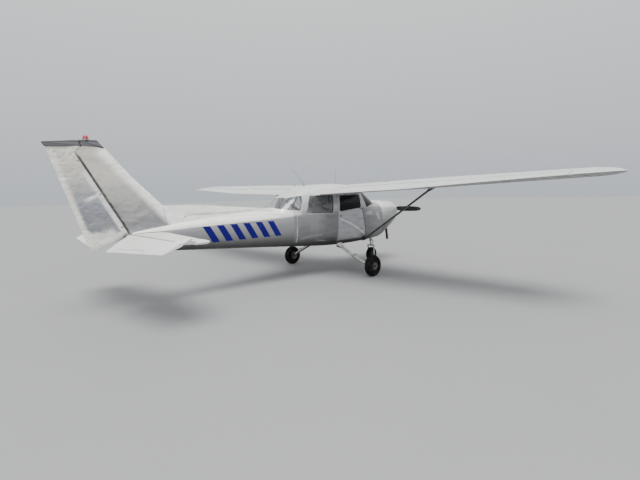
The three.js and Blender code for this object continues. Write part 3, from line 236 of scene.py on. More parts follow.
def sharpen(piece, sharpAngle=32):
    editMesh(piece.data, lambda work: markSharp(work, sharpAngle))


def makePiece(name, shape, material=None, sharpAngle=32):
    mesh = bpy.data.meshes.new(name)
    mesh.from_pydata(shape[0], [], shape[1])
    editMesh(mesh, cleanFaces, lambda work: markSharp(work, sharpAngle))
    if material:
        mesh.materials.append(material)
    return linked(name, mesh)


def applyModifiers(piece):
    graph = bpy.context.evaluated_depsgraph_get()
    mesh = bpy.data.meshes.new_from_object(piece.evaluated_get(graph))
    old = piece.data
    piece.modifiers.clear()
    piece.data = mesh
    mesh.name = piece.name
    while mesh.materials and mesh.materials[-1] is None:
        mesh.materials.pop()
    bpy.data.meshes.remove(old)


def discard(piece):
    mesh = piece.data
    bpy.data.objects.remove(piece)
    bpy.data.meshes.remove(mesh)


def carve(piece, shape, operation="DIFFERENCE"):
    cutter = makePiece("cutter", shape)
    modifier = piece.modifiers.new("carve", "BOOLEAN")
    modifier.operation = operation
    modifier.solver = "MANIFOLD"
    modifier.object = cutter
    applyModifiers(piece)
    discard(cutter)


def duplicate(piece, name):
    return linked(name, piece.data.copy())


def show(piece, body, slot, *nodes):
    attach(piece, body)
    if nodes:
        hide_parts(*nodes)
    return piece


# Names the finish of a piece that was carved, and shows it
def dress(piece, material, body, slot, *nodes, sharpAngle=32):
    sharpen(piece, sharpAngle)
    piece.data.materials.append(finish[material])
    return show(piece, body, slot, *nodes)


def build(name, shape, material, body, slot, *nodes, sharpAngle=32):
    return show(makePiece(name, shape, finish[material], sharpAngle), body, slot, *nodes)


def sidePrism(outline, y0, y1):
    return loft([[point(x, y, z) for x, z in outline] for y in (y0, y1)])


def box2d(x0, x1, z0, z1):
    return [(x0, z0), (x1, z0), (x1, z1), (x0, z1)]


def block(x0, x1, y0, y1, z0, z1):
    return sidePrism(box2d(x0, x1, z0, z1), y0, y1)


def signedArea(outline):
    return 0.5 * sum(a[0] * b[1] - b[0] * a[1] for a, b in zip(outline, outline[1:] + outline[:1]))


def grown(outline, distance):
    turn = 1 if signedArea(outline) > 0 else -1
    points = [Vector(p) for p in outline]
    moved = []
    for i, p in enumerate(points):
        before = (p - points[i - 1]).normalized()
        after = (points[(i + 1) % len(points)] - p).normalized()
        middle = (before + after).normalized()
        reach = distance * turn / max(0.3, middle.dot(before))
        moved.append((p.x + middle.y * reach, p.y - middle.x * reach))
    return moved


def rounded(outline, radius, steps=6):
    points = [Vector(p) for p in outline]
    made = []
    for i, p in enumerate(points):
        back, ahead = points[i - 1], points[(i + 1) % len(points)]
        start = p.lerp(back, min(0.45, radius / (p - back).length))
        end = p.lerp(ahead, min(0.45, radius / (p - ahead).length))
        for k in range(steps + 1):
            t = k / steps
            q = start.lerp(p, t).lerp(p.lerp(end, t), t)
            made.append((q.x, q.y))
    return made


def monotone(xs, ys):
    order = np.argsort(xs)
    xs, ys = np.array(xs, float)[order], np.array(ys, float)[order]
    steps = np.diff(xs)
    slopes = np.diff(ys) / steps
    tangents = np.zeros(len(xs))
    tangents[0], tangents[-1] = slopes[0], slopes[-1]
    for i in range(1, len(xs) - 1):
        if slopes[i - 1] * slopes[i] > 0:
            tangents[i] = 2 * slopes[i - 1] * slopes[i] / (slopes[i - 1] + slopes[i])

    def value(x):
        i = int(np.clip(np.searchsorted(xs, x) - 1, 0, len(steps) - 1))
        t = (x - xs[i]) / steps[i]
        return ((1 + 2 * t) * (1 - t) ** 2 * ys[i] + t * (1 - t) ** 2 * steps[i] * tangents[i]
                + t * t * (3 - 2 * t) * ys[i + 1] + t * t * (t - 1) * steps[i] * tangents[i + 1])
    return value


# Smooth curves of a table's other columns against its first one
def curvesOf(rows):
    return [monotone([row[0] for row in rows], [row[k] for row in rows])
            for k in range(1, len(rows[0]))]


def rowValue(rows, place, column):
    rows = sorted(rows)
    i = 0
    while i + 2 < len(rows) and rows[i + 1][0] < place:
        i += 1
    a, b = rows[i], rows[i + 1]
    return a[column] + (b[column] - a[column]) * (place - a[0]) / (b[0] - a[0])


def smoothPath(rows, count):
    lengths = [0.0]
    for a, b in zip(rows, rows[1:]):
        lengths.append(lengths[-1] + math.dist(a[:3], b[:3]))
    curves = curvesOf([(at, *row) for at, row in zip(lengths, rows)])
    return [[float(c(lengths[-1] * i / count)) for c in curves] for i in range(count + 1)]


def spread(start, end, pitch):
    count = max(1, round(abs(end - start) / pitch))
    return [start + (end - start) * i / count for i in range(count + 1)]


def turnsOf(count):
    return [2 * math.pi * k / count for k in range(count)]


def circle(centre, first, second, radius, count):
    return [centre + radius * (math.cos(t) * first + math.sin(t) * second) for t in turnsOf(count)]


# Two directions square to a line
def squareTo(axis):
    first = axis.orthogonal().normalized()
    return first, axis.cross(first)


# Rings of (height, radius) along a line from a point, in metres
def stacked(centre, axis, rows, count):
    axis = Vector(axis).normalized()
    return loft([circle(centre + axis * h, *squareTo(axis), r, count) for h, r in rows])


def tube(path, radius, count=12, loop=False):
    points = [Vector(p) for p in path]
    radii = radius if isinstance(radius, (list, tuple)) else [radius] * len(points)
    last = len(points) - 1
    rings, first = [], None
    for i, p in enumerate(points):
        if loop:
            along = (points[(i + 1) % len(points)] - points[i - 1]).normalized()
        else:
            along = (points[min(i + 1, last)] - points[max(i - 1, 0)]).normalized()
        first = along.orthogonal().normalized() if first is None else (
            first - along * first.dot(along)).normalized()
        rings.append(circle(p, first, along.cross(first), radii[i], count))
    return loft(rings, loop=loop)


def rod(start, end, radius, count=12):
    return tube([start, end], radius, count)


# A rod across the aircraft, given in millimetres
def crossRod(station, y0, y1, z, radius, count):
    return rod(point(station, y0, z), point(station, y1, z), radius, count)


# A profile of (radius, height) in millimetres, turned about an axis
def turned(profile, centre, axis, count=64):
    axis = Vector(axis).normalized()
    first, second = squareTo(axis)
    rings = []
    for turn in turnsOf(count):
        out = math.cos(turn) * first + math.sin(turn) * second
        rings.append([Vector(centre) + (out * r + axis * h) / 1000 for r, h in profile])
    return loft(rings, loop=True)


def roundedBox(x0, x1, y0, y1, z0, z1, radius, steps=3):
    outline = rounded(box2d(x0, x1, z0, z1), radius, steps)
    size = min(radius, 0.45 * abs(y1 - y0))
    sign = 1 if y1 > y0 else -1
    rings = [(y0 + sign * size * (1 - math.cos(math.pi / 2 * k / steps)),
              -size * (1 - math.sin(math.pi / 2 * k / steps))) for k in range(steps + 1)]
    back = [(y0 + y1 - y, growth) for y, growth in reversed(rings)]
    return loft([[point(x, y, z) for x, z in grown(outline, growth)]
                 for y, growth in rings + back])

# Shader groups: each puts out a mask or a height that changes over the surface


# Each input has a default, or else the kind of a socket that has none
def newGroup(name, inputs, outputs, kind="Shader"):
    tree = bpy.data.node_groups.new(name, f"{kind}NodeTree")
    for label, default in inputs.items():
        plain = isinstance(default, str)
        socketKind = default if plain else ("Vector" if isinstance(default, tuple) else "Float")
        socket = tree.interface.new_socket(name=label, in_out="INPUT",
                                           socket_type=f"NodeSocket{socketKind}")
        if not plain:
            socket.default_value = default
    for label in outputs:
        socketKind = "Geometry" if label == "Geometry" else "Float"
        tree.interface.new_socket(name=label, in_out="OUTPUT", socket_type=f"NodeSocket{socketKind}")
    return tree, makeNode(tree, "NodeGroupInput").outputs


def endGroup(tree, **results):
    makeNode(tree, "NodeGroupOutput", results)
    return tree


def stretched(tree, given):
    return makeNode(tree, "ShaderNodeVectorMath", {0: given["Position"], 1: given["Stretch"]},
                    operation="MULTIPLY").outputs[0]


def makeDentGroup():
    tree, given = newGroup("sheetDents", {"Position": "Vector", "Size": 0.4, "Waves": 1.0,
                                          "Dings": 0.3}, ["Height"])
    scale = calc(tree, "DIVIDE", 1.0, given["Size"])
    moved = makeNode(tree, "ShaderNodeVectorMath", {0: given["Position"], "Scale": scale},
                     operation="SCALE").outputs[0]
    wave = cloudNoise(tree, moved, 1.0, 1.5, Roughness=0.4, Distortion=0.3)
    pits = makeNode(tree, "ShaderNodeTexVoronoi", {"Vector": moved, "Scale": 3.1,
                    "Randomness": 1.0}, feature="SMOOTH_F1").outputs["Distance"]
    bowl = times(tree, calc(tree, "SMOOTH_MIN", pits, 0.42, 0.2), given["Dings"])
    return endGroup(tree, Height=plus(tree, times(tree, wave, given["Waves"]), bowl))


def makeGrimeGroup():
    tree, given = newGroup("streakedGrime", {"Position": "Vector", "Scale": 3.0,
                                             "Stretch": (1, 1, 1), "Cover": 0.4}, ["Mask"])
    blotch = cloudNoise(tree, stretched(tree, given), given["Scale"], 6.0, Roughness=0.62)
    fine = cloudNoise(tree, given["Position"], 60.0, 3.0)
    mixed = plus(tree, times(tree, blotch, 0.8), times(tree, fine, 0.2))
    edge = minus(tree, 0.78, times(tree, given["Cover"], 0.5))
    return endGroup(tree, Mask=ranged(tree, mixed, minus(tree, edge, 0.16), edge))


def makeHeightGroup():
    tree, given = newGroup("heightBlend", {"Position": "Vector", "Low": 0.6, "High": 1.4,
                                           "Ragged": 0.1}, ["Mask"])
    cloud = cloudNoise(tree, given["Position"], 2.2, 3.0)
    shift = times(tree, minus(tree, cloud, 0.5), given["Ragged"])
    height = plus(tree, axesOf(tree, given["Position"])[2], shift)
    return endGroup(tree, Mask=ranged(tree, height, given["Low"], given["High"],
                                      interpolation_type="SMOOTHSTEP"))


def makeGrainGroup():
    tree, given = newGroup("fineGrain", {"Position": "Vector", "Scale": 400.0,
                                         "Stretch": (1, 1, 1)}, ["Value"])
    return endGroup(tree, Value=cloudNoise(tree, stretched(tree, given), given["Scale"], 4.0,
                                           Roughness=0.6))


def makeWeaveGroup():
    tree, given = newGroup("clothWeave", {"Position": "Vector", "Pitch": 0.004},
                           ["Height", "Tone"])
    parts = axesOf(tree, given["Position"])
    count = calc(tree, "DIVIDE", 2 * math.pi, given["Pitch"])
    warp = calc(tree, "SINE", times(tree, parts[1], count))
    weft = calc(tree, "SINE", times(tree, plus(tree, parts[0], parts[2]), count))
    height = times(tree, warp, weft)
    cloud = cloudNoise(tree, given["Position"], 18.0, 4.0)
    return endGroup(tree, Height=height, Tone=plus(tree, times(tree, height, 0.15), cloud))


groups = {"dents": makeDentGroup(), "grime": makeGrimeGroup(), "height": makeHeightGroup(),
          "grain": makeGrainGroup(), "weave": makeWeaveGroup()}


def startMaterial(name, **shader):
    made = bpy.data.materials.new(name)
    made.use_nodes = True
    tree = made.node_tree
    surface = tree.nodes["Principled BSDF"]
    for key, value in shader.items():
        surface.inputs[key.replace("_", " ")].default_value = value
    place = makeNode(tree, "ShaderNodeTexCoord").outputs["Object"]
    return made, tree, surface, place


def feed(tree, surface, **values):
    for key, value in values.items():
        tree.links.new(value, surface.inputs[key.replace("_", " ")])


def useGroup(tree, name, **inputs):
    return makeNode(tree, "ShaderNodeGroup", inputs, node_tree=groups[name]).outputs


def mixColours(tree, share, first, second, blend="MIX"):
    tones = [(*tone, 1) if isinstance(tone, tuple) else tone for tone in (first, second)]
    return makeNode(tree, "ShaderNodeMix", {0: share, 6: tones[0], 7: tones[1]}, data_type="RGBA",
                    blend_type=blend).outputs[2]


def addBump(tree, surface, *layers):
    normal = None
    for height, strength, distance in layers:
        inputs = {"Height": height, "Strength": strength, "Distance": distance}
        if normal:
            inputs["Normal"] = normal
        normal = makeNode(tree, "ShaderNodeBump", inputs).outputs[0]
    feed(tree, surface, Normal=normal)


# How far a height lies between two sloping lines: 0 on the lower one and 1 on the upper one
def betweenLines(tree, place, lower, upper):
    parts = axesOf(tree, place)
    rear = calc(tree, "MINIMUM", parts[0], 0.0)
    front = calc(tree, "MAXIMUM", parts[0], 0.0)
    low = plus(tree, calc(tree, "MULTIPLY_ADD", rear, lower[1], lower[0]),
               times(tree, front, lower[2]))
    high = calc(tree, "MULTIPLY_ADD", parts[0], upper[1], upper[0])
    return ranged(tree, parts[2], low, high, clamp=False)


# A soft mask within reach of a line from start to end, seen in the plane of x and z
def alongLine(tree, place, start, end, reach, bow=0.0):
    parts = axesOf(tree, place)
    run = Vector((end[0] - start[0], end[1] - start[1]))
    unit = run.normalized()
    dx = minus(tree, parts[0], start[0])
    dz = minus(tree, parts[2], start[1])
    ahead = plus(tree, times(tree, dx, unit.x), times(tree, dz, unit.y))
    aside = plus(tree, times(tree, dx, -unit.y), times(tree, dz, unit.x))
    if bow:
        share = calc(tree, "DIVIDE", ahead, run.length)
        arch = times(tree, share, minus(tree, 1.0, share))
        aside = minus(tree, aside, times(tree, arch, 4 * bow))
    mask = ranged(tree, calc(tree, "ABSOLUTE", aside), streakEdge["core"] * reach, reach, 1.0, 0.0,
                  interpolation_type="SMOOTHSTEP")
    inside = calc(tree, "MINIMUM", plus(tree, ahead, streakEdge["past"]),
                  minus(tree, run.length + streakEdge["past"], ahead))
    return times(tree, mask, times(tree, inside, streakEdge["fade"], clamp=True))


def toneRamp(tree, value, stops):
    ramp = makeNode(tree, "ShaderNodeValToRGB", {0: value})
    elements = ramp.color_ramp.elements
    while len(elements) < len(stops):
        elements.new(0.5)
    for element, (place, tone) in zip(elements, stops):
        element.position = place
        element.color = (*tone, 1)
    return ramp.outputs[0]


def grey(value, blue=0.0):
    return value * (1 - 0.5 * blue), value, value * (1 + blue)


# The ramps reach past the upper line, and a streak fades at its ends and its edges
rampReach = 1.5
streakEdge = {"core": 0.35, "past": 0.02, "fade": 12.0}
sheet = {"dirtScale": 5.0, "cloudScale": 1.3, "cloudCover": 0.8, "shade": grey(0.25),
         "dirtShare": 0.35, "dirtRough": 0.2, "grainRough": 0.1, "grainScale": 180.0,
         "grainBump": (0.25, 0.0004), "underShadeRange": (0.05, -0.5)}


def finishSheet(made, tree, surface, place, tone, grime, roughness=0.36, cover=0.35,
                stretch=(0.5, 0.5, 2.4), size=0.35, waves=1.0, dings=0.3, dent=0.008, mottle=0.10):
    dirt = useGroup(tree, "grime", Position=place, Scale=sheet["dirtScale"], Stretch=stretch,
                    Cover=cover)[0]
    cloud = useGroup(tree, "grime", Position=place, Scale=sheet["cloudScale"], Stretch=(1, 1, 1),
                     Cover=sheet["cloudCover"])[0]
    dark = mixColours(tree, times(tree, cloud, mottle), tone, sheet["shade"], "MULTIPLY")
    tone = mixColours(tree, times(tree, dirt, sheet["dirtShare"]), dark, grime)
    rough = plus(tree, times(tree, dirt, sheet["dirtRough"]), roughness - 0.05)
    grain = useGroup(tree, "grain", Position=place, Scale=sheet["grainScale"],
                     Stretch=(0.2, 1, 1))[0]
    rough = plus(tree, rough, times(tree, grain, sheet["grainRough"]), clamp=True)
    feed(tree, surface, Base_Color=tone, Roughness=rough)
    height = useGroup(tree, "dents", Position=place, Size=size, Waves=waves, Dings=dings)[0]
    addBump(tree, surface, (height, 1.0, dent), (grain, *sheet["grainBump"]))
    return made


# Sheet metal whose tone follows the height between two sloping lines, by a ramp of tones; the ramps and
# streaks given to it mostly paint light and shade onto it
def gradedSheet(name, stops, lower, upper, grime=(0.16, 0.155, 0.15), metallic=0.45, lightShadeAndSeamStreaks=(),
                ragged=0.0, **skin):
    made, tree, surface, place = startMaterial(name, Metallic=metallic)
    level = betweenLines(tree, place, lower, upper)
    if ragged:
        cloud = cloudNoise(tree, place, 5.0, 4.0, Distortion=0.6)
        level = calc(tree, "MULTIPLY_ADD", minus(tree, cloud, 0.5), ragged, level)
    tone = toneRamp(tree, calc(tree, "DIVIDE", level, rampReach), stops)
    for start, end, reach, bow, light, strength in lightShadeAndSeamStreaks:
        mask = alongLine(tree, place, start, end, reach, bow)
        tone = mixColours(tree, times(tree, mask, strength), tone, light)
    return finishSheet(made, tree, surface, place, tone, grime, **skin)


# Painted sheet metal of two tones that blend by height, with painted shade where it faces down
def sheetMetal(name, upper, lower, grime, metallic, low=0.7, high=1.35, ragged=0.25, under=None,
               **skin):
    made, tree, surface, place = startMaterial(name, Metallic=metallic)
    share = useGroup(tree, "height", Position=place, Low=low, High=high, Ragged=ragged)[0]
    tone = mixColours(tree, share, lower, upper)
    # under is painted shade on faces that point down
    if under:
        down = axesOf(tree, makeNode(tree, "ShaderNodeTexCoord").outputs["Normal"])[2]
        tone = mixColours(tree, ranged(tree, down, *sheet["underShadeRange"]), tone, under)
    skin = {"stretch": (0.6, 0.6, 2.2), "mottle": 0.08, **skin}
    return finishSheet(made, tree, surface, place, tone, grime, **skin)


# A plain finish with a mottled tone and a fine grain
def plainFinish(name, base, second, metallic=0.0, roughness=0.5, scale=12.0, grainScale=300.0,
                bump=0.0005, cover=0.5, **shader):
    made, tree, surface, place = startMaterial(name, Metallic=metallic, **shader)
    dirt = useGroup(tree, "grime", Position=place, Scale=scale, Stretch=(1, 1, 1), Cover=cover)[0]
    grain = useGroup(tree, "grain", Position=place, Scale=grainScale, Stretch=(1, 1, 1))[0]
    rough = plus(tree, times(tree, grain, 0.16), roughness - 0.08, clamp=True)
    rough = plus(tree, rough, times(tree, dirt, 0.15), clamp=True)
    feed(tree, surface, Base_Color=mixColours(tree, dirt, base, second), Roughness=rough)
    addBump(tree, surface, (grain, 0.5, bump))
    return made


# Where clear is below 1 a share of the pane turns diffuse in its tint, a painted haze of reflected sky
def glassFinish(name, tint, smear, shine=1.0, clear=1.0):
    made, tree, surface, place = startMaterial(
        name, Metallic=0.0, Specular_Tint=(shine, shine, shine, 1), Transmission_Weight=clear, IOR=1.45)
    dirt = useGroup(tree, "grime", Position=place, Scale=5.0, Stretch=(1, 1, 0.6), Cover=0.5)[0]
    feed(tree, surface,
         Base_Color=mixColours(tree, times(tree, dirt, smear), tint, (0.62, 0.62, 0.6)),
         Roughness=plus(tree, times(tree, dirt, smear * 0.5), 0.02))
    return made


def clothFinish(name, base, second, pitch, sheen):
    made, tree, surface, place = startMaterial(name, Roughness=0.9, Sheen_Weight=sheen,
                                               Sheen_Roughness=0.45)
    weave = useGroup(tree, "weave", Position=place, Pitch=pitch)
    feed(tree, surface, Base_Color=mixColours(tree, weave["Tone"], base, second))
    addBump(tree, surface, (weave["Height"], 0.6, 0.0006))
    return made


def lampFinish(name, tint):
    made, tree, surface, place = startMaterial(name, Roughness=0.12, Coat_Weight=0.6)
    grain = useGroup(tree, "grain", Position=place, Scale=60.0)[0]
    feed(tree, surface, Base_Color=mixColours(tree, grain, tint, tuple(0.5 * c for c in tint)))
    rings = calc(tree, "SINE", times(tree, axesOf(tree, place)[2], 900.0))
    addBump(tree, surface, (rings, 0.35, 0.001))
    return made


# Sloping lines as height at the frame's origin and slopes per metre, behind it and ahead of it
creaseLine = (1.329, 0.048)
keelLine = (0.69, -0.072, -0.035)
# Tone ramps over the height from the keel line to the crease line and on past it, mostly painted light
# over the metal's own grey: the flank, cabin, door and cowl ramps grow lighter on upper parts as a painted
# reflection of the sky, and near-black towards the keel as painted shade with a darker reflection of the
# ground; the bluish grey bands of the fin and rudder are a painted reflection
stops = {
    "flank": [(0.0, grey(0.0176)), (0.07, grey(0.0352)), (0.17, grey(0.106)),
              (0.33, grey(0.194, 0.02)), (0.52, grey(0.264, 0.02)), (0.645, grey(0.334, 0.02)),
              (0.667, (0.90, 0.89, 0.84)), (0.76, (0.96, 0.955, 0.92))],
    "cabin": [(0.0, grey(0.0176)), (0.07, grey(0.06)), (0.17, grey(0.19)),
              (0.33, grey(0.238, 0.02)), (0.52, grey(0.273, 0.02)), (0.645, grey(0.317, 0.02)),
              (0.675, grey(0.458)), (0.76, grey(0.616))],
    "door": [(0.0, grey(0.0352)), (0.08, grey(0.36, 0.03)), (0.17, grey(0.49, 0.04)),
             (0.4, grey(0.52, 0.05)), (0.6, grey(0.54, 0.05)), (0.66, grey(0.49, 0.03)),
             (0.7, grey(0.563)), (0.8, grey(0.616))],
    "cowl": [(0.0, grey(0.088)), (0.2, grey(0.25)), (0.4, grey(0.44)), (0.55, grey(0.58)),
             (0.66, grey(0.90)), (0.8, grey(0.96))],
    "fin": [(0.0, grey(0.34, 0.05)), (0.12, grey(0.21, 0.05)), (0.28, grey(0.25, 0.03)),
            (0.44, (0.355, 0.355, 0.34)), (0.58, (0.505, 0.50, 0.455)), (0.74, (0.57, 0.55, 0.485)),
            (1.0, (0.555, 0.53, 0.465))],
    "rudder": [(0.0, (0.792, 0.792, 0.748)), (0.12, (0.757, 0.757, 0.722)),
               (0.165, grey(0.20, 0.16)), (0.32, grey(0.21, 0.15)), (0.48, grey(0.33, 0.09)),
               (0.62, (0.48, 0.48, 0.46)), (0.74, (0.651, 0.642, 0.572)),
               (1.0, (0.739, 0.722, 0.642))],
    "primer": [(0.0, (0.11, 0.108, 0.12)), (0.45, (0.12, 0.118, 0.13)),
               (0.58, (0.035, 0.034, 0.038)), (0.7, (0.03, 0.03, 0.033))],
}
# Light and dark streaks over the ramps, as start and end as (x, z) in metres, reach, bow, tone and
# strength; most are painted light: highlights and reflections of the sky, and painted shade in gaps and
# folds
lightShadeAndSeamStreaks = {
    # Cabin sides: a painted highlight high on the cabin's rear end, darker and lighter patches lower down,
    # lighter patches near the cowl, a painted shade line in the gap ahead of the door, and the dark line
    # of the cowl's seam
    "sides": [((-0.06, 1.40), (0.21, 1.40), 0.085, 0.0, (0.93, 0.92, 0.89), 0.9),
              ((0.10, 1.04), (0.42, 1.02), 0.15, 0.0, grey(0.16), 0.5),
              ((0.60, 0.79), (0.88, 0.76), 0.02, 0.0, grey(0.6), 0.5),
              ((0.15, 0.84), (0.75, 0.90), 0.03, 0.02, grey(0.42), 0.4),
              ((2.17, 1.31), (2.44, 1.30), 0.07, 0.0, grey(0.85), 0.4),
              ((2.62, 1.31), (2.74, 1.11), 0.06, 0.01, grey(0.85), 0.4),
              ((2.045, 1.403), (2.193, 0.80), 0.017, 0.0, grey(0.06), 0.8),
              ((2.880, 1.34), (2.880, 1.08), 0.014, 0.0, grey(0.05), 0.75)],
    # The bright curve across the door is a painted reflection of the wing strut
    "door": [((1.247, 1.213), (2.15, 0.802), 0.032, 0.038, (0.92, 0.94, 0.95), 0.95)],
    # Tailcone folds: dark lines of painted shade along them, and softer bands of painted shade beside them
    "deck": [((-2.063, 1.438), (-0.70, 1.476), 0.014, -0.012, grey(0.40), 0.75),
             ((-2.18, 1.342), (-2.055, 1.438), 0.016, 0.018, grey(0.40), 0.75),
             ((-2.40, 1.315), (-1.50, 1.38), 0.010, 0.0, grey(0.45), 0.4),
             ((-1.50, 1.38), (-0.10, 1.385), 0.010, 0.0, grey(0.45), 0.4),
             ((-0.95, 1.455), (-0.35, 1.462), 0.04, 0.0, grey(0.62), 0.6),
             ((-1.85, 1.405), (-0.90, 1.435), 0.035, 0.0, grey(0.6), 0.35)],
    # Fin: a broad painted highlight along the leading edge, a line of painted shade in the gap ahead of
    # the rudder, then a bluish grey patch and a faint light one low down
    "fin": [((-2.02, 1.11), (-3.34, 2.51), 0.22, 0.0, (1.0, 1.0, 0.97), 1.0),
            ((-3.045, 1.216), (-3.674, 2.36), 0.017, 0.0, grey(0.02), 0.95),
            ((-3.03, 1.30), (-2.64, 1.50), 0.045, 0.015, grey(0.16, 0.05), 0.55),
            ((-2.93, 1.45), (-2.70, 1.545), 0.05, 0.01, grey(0.60), 0.2)],
    # Rudder: light bands along the trailing edge and the nose, and a fold drawn as a painted highlight
    # beside a painted shade line
    "rudder": [((-3.598, 1.0), (-4.046, 2.46), 0.10, 0.0, (0.90, 0.88, 0.80), 0.9),
               ((-3.095, 1.19), (-3.595, 2.12), 0.06, 0.0, (0.95, 0.95, 0.92), 0.75),
               ((-3.44, 1.78), (-3.62, 1.70), 0.035, 0.0, grey(0.9), 0.8),
               ((-3.42, 1.84), (-3.58, 1.80), 0.022, 0.0, grey(0.3), 0.7)],
}
creamGrime = (0.46, 0.43, 0.38)
soot = (0.3, 0.29, 0.28)
rust = (0.06, 0.055, 0.05)
wornGrey = (0.22, 0.21, 0.2)

